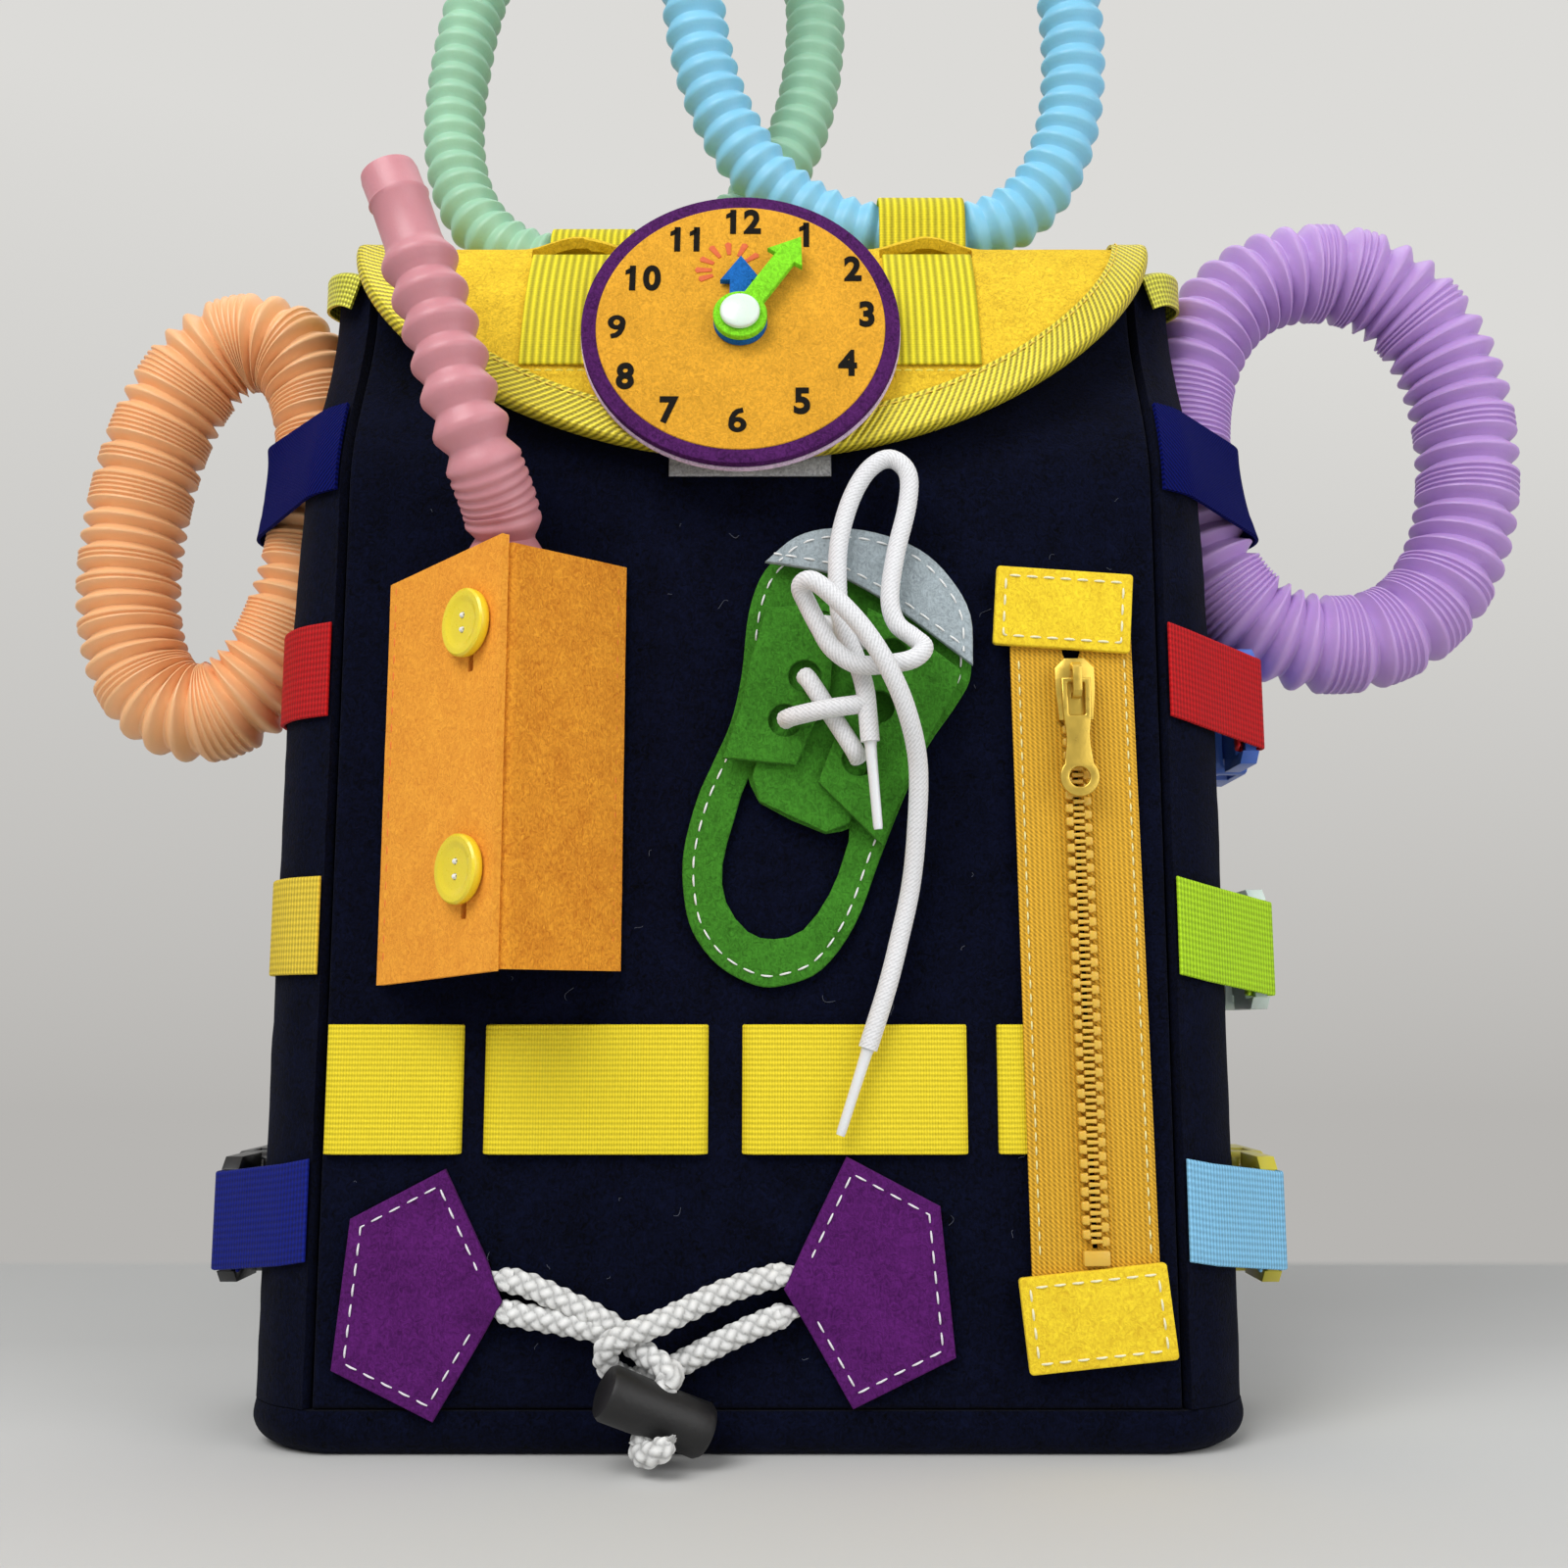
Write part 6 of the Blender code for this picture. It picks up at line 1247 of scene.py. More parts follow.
def make_flap_binding():
    line, inward = flap_edge()
    out = 2 * CLEAR + TAPE / 2
    twill = woven("gold_twill", GOLD, rib=0.0022, cross=0.0008, depth=0.6, slant=1.0, cords=0.2,
                  roughness=0.45, metallic=0.3, specular=0.5)
    grid = []
    for p, d in zip(line, inward):
        grid.append([tuple(flap_at(p.x + a * d.x, p.y + a * d.y, b))
                     for a, b in fold_rows(BINDING_WIDTH, FELT / 2 + out - 0.0002)])
    keep("flap_tape", thick_grid("flap_tape", grid, TAPE * 0.9, angle=60), twill, "flap", ["flap_binding"])
    path = [tuple(flap_at(p.x + 0.0072 * d.x, p.y + 0.0072 * d.y, FELT / 2 + out + TAPE * 0.3))
            for p, d in zip(line, inward)]
    seam = stitches("flap_seam", path, 0.0032, 0.0022, 0.0002, (0, -0.8, 0.6), 0.0001)
    keep("flap_seam", seam, thread("gold_thread", (235, 200, 70)), "flap")


def flat_top_s(y):
    return FLAP_LEGS[0][0] + FLAP_START_Y - FLAP_BACK_RADIUS - y


def make_flap_elastics():
    """Each elastic: up the flap's front, in at a slit, out and over its tube, and in again."""
    look = woven("lemon_elastic", LEMON, rib=0.0008, cross=0.0021, depth=0.42, cords=6.0)
    for name, x, tube_y in (("left_flap_elastic", -FLAP_ELASTIC_SPREAD, GREEN_LOOP_Y),
                            ("right_flap_elastic", FLAP_ELASTIC_SPREAD, BLUE_LOOP_Y)):
        outer = abs(x) + FLAP_ELASTIC_WIDTH / 2
        off = FELT / 2 + CLEAR + ELASTIC / 2
        low = FLAP_FLAT_S + flap_drop(outer) - BINDING_WIDTH - 2 * TAPE
        rise = LOOP_RADIUS + TUBE_GRIP + ELASTIC / 2
        centre_z = FLAP_MID + FELT / 2 + CLEAR + LOOP_RADIUS
        front, rear = tube_y - rise, tube_y + rise
        path = [flap_profile(low + (GATE + off - low) * k / 24, off)[:2] for k in range(25)]
        under = FLAP_MID - off
        inside = GATE - off
        last = flat_top_s(front - 2 * ELASTIC)
        path += [flap_profile(inside + (last - inside) * k / 8, -off)[:2] for k in range(9)]
        path += [(front - ELASTIC, under), (front, under + ELASTIC)]
        path += [tuple(p) for p in arc((tube_y, centre_z), rise, 180, 0, 24)]
        path += [(rear, under + ELASTIC), (rear + ELASTIC, under), (rear + STRAP_TAIL, under)]
        mesh = band(name + "_band", [(x, y, z) for y, z in path], (FLAP_ELASTIC_WIDTH, 0, 0), ELASTIC,
                    0.0012, 0.002)
        keep(name + "_band", mesh, look, "flap", [name])
        line = [tuple(flap_at(x + t, low + 0.0022, off + ELASTIC / 2))
                for t in np.linspace(-0.0115, 0.0115, 24)]
        sewn = stitches(name + "_stitches", line, 0.0026, 0.0019, 0.0002, (0, -0.95, 0.3))
        keep(name + "_stitches", sewn, thread("lemon_thread", (235, 225, 90)), "flap")


def make_closure_patches():
    look = felt("hook_and_loop", (172, 173, 176), 0.2)
    stack = CLEAR + PATCH_THICKNESS / 2
    half = PATCH_WIDTH / 2
    end = FLAP_FLAT_S + flap_drop(half) - BINDING_WIDTH - 2 * CLEAR - TAPE
    under = -FELT / 2 - stack - CLEAR
    hook = shell("hook_patch", lambda u, v: flap_at(v - half, end - u, under), HOOK_PATCH_HEIGHT,
                 PATCH_WIDTH, PATCH_THICKNESS, 0.0015, fuzz=0.00012)
    keep("hook_patch", fixed(hook), look, "flap", ["closure_hook_patch"])
    foot = flap_at(0, FLAP_FLAT_S + FLAP_DROP).z - LOOP_PATCH_PEEP
    loop = shell("loop_patch", lambda u, v: (v - half, front_y(foot + u) - stack - CLEAR, foot + u),
                 PATCH_HEIGHT, PATCH_WIDTH, PATCH_THICKNESS, 0.0015, fuzz=0.00012)
    keep("loop_patch", fixed(loop), look, "bag", ["closure_loop_patch"])


# Clock

CLOCK_RADIUS, CLOCK_THICKNESS = 0.0425, 0.0045
CLOCK_X, CLOCK_RISE, CLOCK_LEAN = -0.0025, 0.0334, 12.5
HAND_THICKNESS, HAND_WIDTH, HUB_RADIUS, PIN_RADIUS = 0.002, 0.0058, 0.0071, 0.002
ARROW_WIDTH, ARROW_LENGTH = 0.0110, 0.008
RIM_WIDTH, RIM_DROP, CLOCK_BACK = 0.0042, 0.0004, 0.0016
CAP_RADIUS, CAP_HEIGHT = 0.0052, 0.0022
# Name, length, turn from twelve and felt of each hand
HANDS = (("hour_hand", 0.0205, 0, "blue_felt", (30, 98, 172)),
         ("minute_hand", 0.0295, 33, "lime_felt", (128, 214, 42)))
PRINT, DIGIT_SIZE, DIGIT_BOLD, DIGIT_STEP = 0.00024, 0.0112, 0.00042, 0.0052
DIGIT_SHARES = (0.82, 0.94, 1, 1)
SUN_CENTRE, RAY_START, RAY_END = (-0.0028, 0.0173), 0.0050, 0.0086
RAY_TURNS = (200, 180, 155, 125, 95, 65, 35)
TURN = [2 * math.pi * k / 28 for k in range(28)]
SIX_TAIL = ((-0.00235, -0.0014), (-0.00215, 0.0006), (-0.0014, 0.0023), (-0.0003, 0.0033), (0.0013, 0.0037),
            (0.0016, 0.0023), (0.0004, 0.0020), (-0.0004, 0.0012), (-0.0008, 0.0002), (-0.0009, -0.0014))
NUMBERS = ((12, 0.0003, 0.0328), (1, 0.0175, 0.0285), (2, 0.0299, 0.0173), (3, 0.0335, 0.0027),
           (4, 0.0282, -0.0127), (5, 0.0162, -0.0243), (6, -0.0005, -0.0297), (7, -0.0185, -0.0270),
           (8, -0.0299, -0.0167), (9, -0.0327, -0.0009), (10, -0.0264, 0.0143), (11, -0.0147, 0.0270))


def clock_frame():
    """The clock's own frame: Z out of its face, Y up the face, the origin on its back."""
    height = flap_at(0, FLAP_FLAT_S + FLAP_DROP).z + CLOCK_RISE
    lean = math.radians(CLOCK_LEAN)
    normal = Vector((0, -math.cos(lean), math.sin(lean)))
    proud = FELT / 2 + CLEAR + TAPE
    reach = [FLAP_FLAT_S + FLAP_DROP * k / 40 for k in range(41)]
    touch = max(flap_at(0, s, proud).dot(normal) for s in reach)
    y = (touch + CLEAR - height * normal.z) / normal.y
    return Matrix.Translation((CLOCK_X, y, height)) @ Matrix.Rotation(math.radians(90) - lean, 4, "X")


def disc(name, radius, bore, low, high, at, edge=0.0005):
    profile = [(bore, low), (radius - edge, low), (radius, low + edge), (radius, high - edge),
               (radius - edge * 0.3, high - edge * 0.3), (radius - edge, high), (bore, high)]
    return lathe(name, profile, at, 128)


def hand_outline(length):
    half, head = HAND_WIDTH / 2, ARROW_WIDTH / 2
    sweep = math.degrees(math.acos(half / HUB_RADIUS))
    neck = length - ARROW_LENGTH
    hub = arc((0, 0), HUB_RADIUS, 180 - sweep, 360 + sweep, 40)
    return [Vector((half, neck)), Vector((head, neck)), Vector((0, length)), Vector((-head, neck)),
            Vector((-half, neck))] + hub


def digit(mark, x, y, matrix):
    """One bold digit as thin solids; a 9 is a 6 turned over."""
    if mark in "69":
        turn = -1 if mark == "9" else 1
        centre = Vector((x, y))
        outer = [centre + turn * Vector((0.00235 * math.cos(a), 0.00225 * math.sin(a) - 0.0014))
                 for a in TURN]
        inner = [centre + turn * Vector((0.00085 * math.cos(a), 0.00095 * math.sin(a) - 0.0014))
                 for a in TURN]
        tail = [centre + turn * Vector(p) for p in SIX_TAIL]
        return [flat("bowl", [outer, inner], 0.00024, matrix, 0.00003),
                flat("tail", [tail], 0.00020, matrix, 0.00003)]
    curve = bpy.data.curves.new("digit", "FONT")
    curve.body = mark
    curve.size = DIGIT_SIZE
    curve.align_x, curve.align_y = "CENTER", "CENTER"
    curve.offset = DIGIT_BOLD
    curve.extrude = PRINT / 2
    obj = in_scene("digit", curve)
    mesh = bpy.data.meshes.new_from_object(obj.evaluated_get(bpy.context.evaluated_depsgraph_get()))
    bpy.data.objects.remove(obj)
    mesh.transform(matrix @ Matrix.Translation((x, y, 0)) @ Matrix.Diagonal(DIGIT_SHARES))
    if mark != "1":
        return [mesh]
    top = Vector((x, y + 0.00405))
    flag = [top, top + Vector((-0.0019, -0.0012)), top + Vector((-0.0019, -0.0025)),
            top + Vector((0, -0.0017))]
    return [mesh, flat("flag", [flag], PRINT, matrix, 0.00003)]


def number(value, x, y, matrix):
    marks = str(value)
    starts = [x + (k - (len(marks) - 1) / 2) * DIGIT_STEP for k in range(len(marks))]
    return [mesh for mark, start in zip(marks, starts) for mesh in digit(mark, start, y, matrix)]


def make_clock():
    at = clock_frame()
    bore = PIN_RADIUS + CLEAR
    face = disc("clock_felt", CLOCK_RADIUS - RIM_WIDTH, bore, 0.0012, CLOCK_THICKNESS, at)
    keep("clock_felt", face, felt("clock_felt", (218, 158, 48), 0.12), "flap", ["clock_face"])
    back = disc("clock_back", CLOCK_RADIUS, bore, 0, CLOCK_BACK, at)
    keep("clock_back", back, felt("clock_back_felt", (214, 188, 212)), "flap")
    rim = disc("clock_rim", CLOCK_RADIUS - 0.0003, CLOCK_RADIUS - RIM_WIDTH, CLOCK_BACK,
               CLOCK_THICKNESS - RIM_DROP, at)
    keep("clock_rim", rim, felt("clock_rim_felt", (74, 30, 86), 0.25), "flap")
    print_at = at @ Matrix.Translation((0, 0, CLOCK_THICKNESS + 0.00008))
    black = ink("number_ink", 1500, (8, 8, 6), (30, 26, 22), 0.8, 0.1)
    marks = [mesh for n, x, y in NUMBERS for mesh in number(n, x, y, print_at)]
    keep_all("clock_numbers", marks, black, "flap")
    rays = []
    for k, turn in enumerate(RAY_TURNS):
        a = math.radians(turn)
        along, across = Vector((math.cos(a), math.sin(a))), Vector((-math.sin(a), math.cos(a)))
        root = Vector(SUN_CENTRE) + along * RAY_START
        tip = Vector(SUN_CENTRE) + along * (RAY_END + 0.0005 * (k % 2))
        stroke = [root - across * 0.0005, root + across * 0.0005, tip + across * 0.0009,
                  tip + along * 0.0005, tip - across * 0.0009]
        rays.append(flat(f"ray_{k}", [stroke], PRINT, print_at, 0.00005))
    keep_all("clock_rays", rays, ink("ray_ink", 1500, (196, 78, 26), (228, 108, 44), 0.65), "flap")
    level = CLOCK_THICKNESS + CLEAR
    for name, length, turn, cloth, screen in HANDS:
        place = (at @ Matrix.Translation((0, 0, level + HAND_THICKNESS / 2))
                 @ Matrix.Rotation(math.radians(-turn), 4, "Z"))
        outlines = [hand_outline(length), arc((0, 0), bore, 10, 360, 35)]
        mesh = flat(name + "_felt", outlines, HAND_THICKNESS, place, 0.0003)
        keep(name + "_felt", mesh, felt(cloth, screen), name, [name])
        level += HAND_THICKNESS + CLEAR
    under = clock_pin_depth(at)
    head, thick = CAP_RADIUS, CAP_HEIGHT
    dome = [(0, level + thick)]
    dome += [(head * math.sin(math.radians(t)), level + thick * (0.45 + 0.55 * math.cos(math.radians(t))))
             for t in range(10, 91, 10)]
    dome += [(head, level + 0.0003), (head - 0.0003, level), (PIN_RADIUS, level), (PIN_RADIUS, -under),
             (head, -under), (head, -under - 0.0004), (head - 0.0003, -under - 0.0006),
             (0, -under - 0.0006)]
    pale = plastic("clock_cap", (222, 238, 224), 0.3, coat=0.2)
    keep("clock_cap", lathe("clock_cap", dome, at, 48), pale, "flap", ["clock_pin"])


def clock_pin_depth(at):
    inside = at.inverted()
    deepest = 0
    for k in range(81):
        point = inside @ flap_at(CLOCK_X, FLAP_FLAT_S + FLAP_DROP * k / 80, -FELT / 2)
        if abs(point.y) < CAP_RADIUS + CLEAR:
            deepest = max(deepest, -point.z)
    return deepest + 2 * CLEAR


make_flap()
make_clock()


# Pop tubes

LOOP_HALF_WIDTH, LOOP_HALF_HEIGHT, LOOP_SPREAD, LOOP_POWER, LOOP_LEAN = 0.056, 0.073, 0.034, 2.4, 6
RING_RADIUS, RING_X, RING_Y, RING_POWER, RING_GRIP = 0.0145, PANEL_WIDTH / 2 + 0.0206, 0.0045, 2.2, 0.0004
SIDE_ELASTIC_WIDTH, SIDE_ELASTIC_HEIGHT = 0.027, 0.2575
PINK_RADIUS, PINK_VALLEY, TUBE_WALL = 0.0098, 0.77, 0.0010
PINK_SOCKET_RADIUS, PINK_SOCKET_LENGTH = 0.0074, 0.022
POCKET_LEFT = 0.0135 - PANEL_WIDTH / 2
POCKET_RIGHT = POCKET_LEFT + 0.060
POCKET_TOP, POCKET_FOOT = 0.2205, 0.1155
PINK_X, PINK_FOOT = POCKET_RIGHT - 0.029, 0.130
PINK_LEAN = ((-0.0005, -0.0049, 0.0115), (-0.0040, -0.0129, 0.0225), (-0.0088, -0.0164, 0.0355),
             (-0.0142, -0.0169, 0.0535), (-0.0198, -0.0169, 0.0705), (-0.0244, -0.0169, 0.0845),
             (-0.0295, -0.0169, 0.0975))
# Half a stretched rib from valley to rim, as (share of its pitch, share of its depth)
HALF_RIB = ((0, 0), (0.03, 0.02), (0.22, 0.50), (0.40, 0.93), (0.455, 1))
NEST_PITCH = 0.28
NEST_GROOVE = 0.72
# The groove between two nested ribs, round its middle
NEST_SHARES = ((-0.35, 0.98), (-0.14, NEST_GROOVE + 0.04), (0, NEST_GROOVE), (0.14, NEST_GROOVE + 0.04),
               (0.35, 0.98))


def oval(half_wide, half_high, power, steps=480):
    out = []
    for k in range(steps + 1):
        a = 2 * math.pi * k / steps
        s, c = math.sin(a), -math.cos(a)
        across = math.copysign(abs(s) ** (2 / power), s)
        up = math.copysign(abs(c) ** (2 / power), c)
        out.append(Vector((half_wide * across, half_high * up)))
    return out


def rib_marks(groups, radius, valley):
    """Distances, in pitches, and radii along a tube: each group is a count of ribs nested together."""
    marks, start = [], 0.0
    depth = radius * (1 - valley)
    for ribs in groups:
        span = 1 + (ribs - 1) * NEST_PITCH
        profile = list(HALF_RIB)
        for k in range(ribs - 1):
            middle = 0.5 + (k + 0.5) * NEST_PITCH
            profile += [(middle + share * NEST_PITCH, full) for share, full in NEST_SHARES]
        profile += [(span - at, full) for at, full in reversed(HALF_RIB[1:])]
        marks += [(start + at, radius - depth * (1 - full)) for at, full in profile]
        start += span
    return marks, start


def ribbed_loop(name, route, groups, radius, look, body, node, valley=0.82):
    """A closed loop whose groups of ribs are stretched to fill its length."""
    marks, total = rib_marks(groups, radius, valley)
    points = [route.at(d * route.length / total) for d, r in marks]
    mesh = fixed(pipe(name, points, [r for d, r in marks], 36, closed=True), 35)
    return keep(name, mesh, look, body, [node])


def loop_route(x, foot_x, y, lean):
    base = FLAP_MID + FELT / 2 + CLEAR + LOOP_RADIUS
    slope = math.tan(math.radians(lean))
    points = []
    for p in oval(LOOP_HALF_WIDTH, LOOP_HALF_HEIGHT, LOOP_POWER)[:-1]:
        rise = p.y + LOOP_HALF_HEIGHT
        low = 1 - rise / (2 * LOOP_HALF_HEIGHT)
        points.append((x + p.x + (foot_x - x) * low * low, y + rise * slope, base + rise))
    return Route(points + points[:1])


def ring_points(side, half_wide, half_high, height, lean):
    oval_points = oval(half_wide, half_high, RING_POWER)
    quarter = len(oval_points) // 4
    ring = oval_points[3 * quarter:-1] + oval_points[:3 * quarter + 1]
    turn = math.radians(lean)
    turned = [(p.x * math.cos(turn) - p.y * math.sin(turn), p.x * math.sin(turn) + p.y * math.cos(turn))
              for p in ring]
    shift = RING_X - min(x for x, z in turned)
    return [Vector((side * (x + shift), RING_Y, height + z)) for x, z in turned]


def make_pop_tubes():
    mint = plastic("mint_tube", (154, 200, 168), 0.42)
    sky = plastic("sky_tube", (130, 198, 228), 0.42)
    pink = plastic("pink_tube", (200, 134, 142), 0.42)
    peach = plastic("peach_tube", (242, 184, 130), 0.42)
    purple = plastic("purple_tube", (184, 147, 209), 0.42)
    even = [1] * 66
    ribbed_loop("mint_loop", loop_route(-LOOP_SPREAD, -FLAP_ELASTIC_SPREAD, GREEN_LOOP_Y, LOOP_LEAN), even,
                LOOP_RADIUS, mint, "flap", "green_tube", 0.83)
    ribbed_loop("sky_loop", loop_route(LOOP_SPREAD, FLAP_ELASTIC_SPREAD, BLUE_LOOP_Y, -LOOP_LEAN), even,
                LOOP_RADIUS, sky, "flap", "blue_tube", 0.83)
    right = ring_points(1, 0.0425, 0.0575, SIDE_ELASTIC_HEIGHT + 0.0137, 0)
    left = ring_points(-1, 0.027, 0.057, SIDE_ELASTIC_HEIGHT - 0.0075, 8)
    ribbed_loop("purple_ring", Route(right), PURPLE_GROUPS, RING_RADIUS, purple, "purple_ring",
                "purple_tube", 0.78)
    ribbed_loop("peach_ring", Route(left), PEACH_GROUPS, RING_RADIUS, peach, "peach_ring", "peach_tube",
                0.80)
    make_pink_tube(pink)
    make_side_elastics({1: right, -1: left})


PURPLE_GROUPS = (8, 1, 1, 1, 8, 1, 1, 1, 6, 5, 5, 3, 1, 1, 1, 5, 1, 4, 1, 1, 1, 1, 4, 1, 1, 4, 4, 1, 1, 1,
                 1, 1, 1, 1, 1, 12)
PEACH_GROUPS = (6, 1, 1, 10, 1, 1, 1, 6, 1, 1, 1, 4, 1, 1, 2, 1, 2, 3, 1, 1, 6, 3, 6, 1, 6, 1, 1, 6, 1, 3,
                1, 1, 6, 8, 1, 1, 1, 1)


def pink_route():
    y = FRONT - 2 * CLEAR - PINK_RADIUS - THIN_FELT
    straight = [(PINK_X, y, PINK_FOOT + (POCKET_TOP - PINK_FOOT) * k / 3) for k in range(4)]
    lean = [(PINK_X + out, y + ahead, POCKET_TOP + up) for out, ahead, up in PINK_LEAN]
    return Route(smooth(straight + lean, 8))


def make_pink_tube(look):
    route = pink_route()
    length = route.length
    marks, total = rib_marks((36, 7, 1, 1, 1, 1, 1, 1), PINK_RADIUS, PINK_VALLEY)
    end, socket = length - PINK_SOCKET_LENGTH, PINK_SOCKET_RADIUS
    bead = end + PINK_SOCKET_LENGTH * 0.62
    marks = [(d * end / total, r) for d, r in marks]
    marks += [(end + 0.0006, socket + 0.0002), (end + 0.0014, socket), (bead - 0.0009, socket),
              (bead, socket + 0.0005), (bead + 0.0009, socket), (length - 0.0016, socket),
              (length, socket - 0.0003)]
    points = [route.at(d) for d, r in marks]
    bores = [min(r, PINK_RADIUS * PINK_VALLEY) - TUBE_WALL for d, r in marks]
    mesh = hollow_pipe("pink_pipe", points, [r for d, r in marks], bores, 40)
    keep("pink_pipe", mesh, look, "pink_tube", ["pink_tube"])


def make_side_elastics(rings):
    look = woven("royal_elastic", (4, 12, 84), rib=0.0015, cross=0.0009, depth=0.62, slant=1.0, cords=0.2,
                 roughness=0.85, specular=0.08)
    out = CLEAR + ELASTIC / 2
    half = PANEL_WIDTH / 2
    for side, points in rings.items():
        rows = []
        for z in np.linspace(SIDE_ELASTIC_HEIGHT - SIDE_ELASTIC_WIDTH / 2,
                             SIDE_ELASTIC_HEIGHT + SIDE_ELASTIC_WIDTH / 2, 13):
            grip = RING_RADIUS + RING_GRIP + ELASTIC / 2
            near = max(abs(p.x) for p in points if abs(p.z - z) < SIDE_ELASTIC_WIDTH / 8
                       and abs(p.x) < RING_X + RING_RADIUS)
            around = [(half, front_y(z) - out - CLEAR), (half, BAG_DEPTH / 2 + out)]
            around += offset_line(gusset_plan(z, 6), out + 2 * CLEAR)
            around += arc((near + 2 * CLEAR, RING_Y), grip, -90, 90, 36)
            line = Route(taut(around))
            rows.append([(side * x, y, z) for x, y in line.at(np.linspace(0, line.length, 60))])
        name = "right_elastic_band" if side > 0 else "left_elastic_band"
        keep(name, thick_grid(name, rows, ELASTIC, angle=60), look, "bag",
             ["right_ring_elastic" if side > 0 else "left_ring_elastic"])


make_pop_tubes()


# Side webbing and buckles

HIGH_WEBBING, MIDDLE_WEBBING, LOW_WEBBING, WEBBING_SAG = 0.1955, 0.129, 0.0585, 0.005
BUCKLE_X = PANEL_WIDTH / 2 + 0.0295
BUCKLE_FRONT, BUCKLE_LENGTH = -0.024, 0.050
BAR, BAR_WRAP_SHARE, WRAP_START_ANGLE = 0.003, 0.75, 150
STRAP_TUCK = 0.003


def plain_wrap():
    """Webbing pulled taut round the left gusset, from its front seam to its back seam."""
    out = CLEAR + WEBBING / 2
    half = PANEL_WIDTH / 2
    around = [(half, FRONT - out), (half, -FRONT + out)]
    around += offset_line(gusset_plan(FOOT_HEIGHT, 4), out + CLEAR)
    return [Vector((-x, y)) for x, y in Route(taut(around)).every(0.004)]


def bar_wrap(side, bar_y, ahead, height, seam_y):
    """A strap from a seam over the gusset's roll to a buckle's bar, round it, and doubled back."""
    out = CLEAR + WEBBING / 2
    turn = BAR * BAR_WRAP_SHARE + out + CLEAR
    half = PANEL_WIDTH / 2
    bend = arc((BUCKLE_X, bar_y), turn, ahead * WRAP_START_ANGLE, 0, 10)
    roll = offset_line(gusset_plan(FOOT_HEIGHT, 4), out + CLEAR)
    path = taut([(half - STRAP_TUCK, seam_y)] + bend + roll)
    if ahead < 0:
        path = [p for p in path if p.y <= bar_y]
        wrap = arc((BUCKLE_X, bar_y), turn, 0, 180, 12)
    else:
        path = list(reversed([p for p in path if p.y >= bar_y]))
        wrap = arc((BUCKLE_X, bar_y), turn, 0, -180, 12)
    back = Vector((BUCKLE_X - turn - WEBBING, bar_y + ahead * STRAP_TAIL))
    path = path[:-1] + wrap + [back]
    marks = Route(path).marks
    drop = [WEBBING_SAG * min(1, d / (marks[-1] / 2)) for d in marks]
    return [(side * p.x, p.y, height - s) for p, s in zip(path, drop)]


def box_stitch(name, corner, across, up, out, colour, body):
    """A box of stitches with a cross, as webbing is sewn down."""
    a, b = Vector(corner), Vector(across)
    c = Vector(up)
    corners = [a, a + b, a + b + c, a + c]
    lines = [[corners[k], corners[(k + 1) % 4]] for k in range(4)]
    lines += [[corners[k], corners[k + 2]] for k in range(2)]
    made = [stitches(name, [tuple(p) for p in line], 0.0030, 0.0022, 0.00022, out) for line in lines]
    return keep(name, joined(name, made), thread(name + "_thread", colour), body)


def make_straps():
    webs = {
        "red": woven("red_webbing", (180, 14, 20), depth=0.42),
        "yellow": woven("yellow_webbing", (226, 194, 58), depth=0.36),
        "blue": woven("blue_webbing", (0, 18, 116), depth=0.5),
        "lime": woven("lime_webbing", (166, 208, 32), depth=0.38),
        "sky": woven("sky_webbing", (130, 190, 230), depth=0.34),
    }
    seam = BAG_DEPTH / 2 + CLEAR + WEBBING / 2
    rear_bar = BUCKLE_FRONT + BUCKLE_LENGTH - BAR / 2
    up = (0, 0, WEBBING_WIDTH)
    for node, height, both, web, slot in (("red_belt", HIGH_WEBBING, False, "red", "red_webbing"),
                                          ("yellow_belt", MIDDLE_WEBBING, False, "yellow", "gold_webbing"),
                                          ("blue_belt", LOW_WEBBING, True, "blue", "blue_webbing")):
        if both:
            left = list(reversed(bar_wrap(-1, rear_bar, 1, height, seam)))
        else:
            left = [(p.x, p.y, height) for p in plain_wrap()]
        path = left + bar_wrap(1, rear_bar, 1, height, seam)
        mesh = band(node + "_web", path, up, WEBBING, 0.0016, 0.0025)
        keep(node + "_web", mesh, webs[web], "bag", [node])
    front_bar = BUCKLE_FRONT + BAR / 2
    for node, side, height, web, male in (("left_blue_strap", -1, LOW_WEBBING, "blue", "black_male"),
                                          ("right_red_strap", 1, HIGH_WEBBING, "red", "blue_male"),
                                          ("right_lime_strap", 1, MIDDLE_WEBBING, "lime", "white_male"),
                                          ("right_sky_strap", 1, LOW_WEBBING, "sky", "yellow_male")):
        mesh = band(node + "_web", bar_wrap(side, front_bar, -1, height, -seam), up, WEBBING, 0.0012,
                    0.0025)
        strap = keep(node + "_web", mesh, webs[web], None, [node])
        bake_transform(strap)


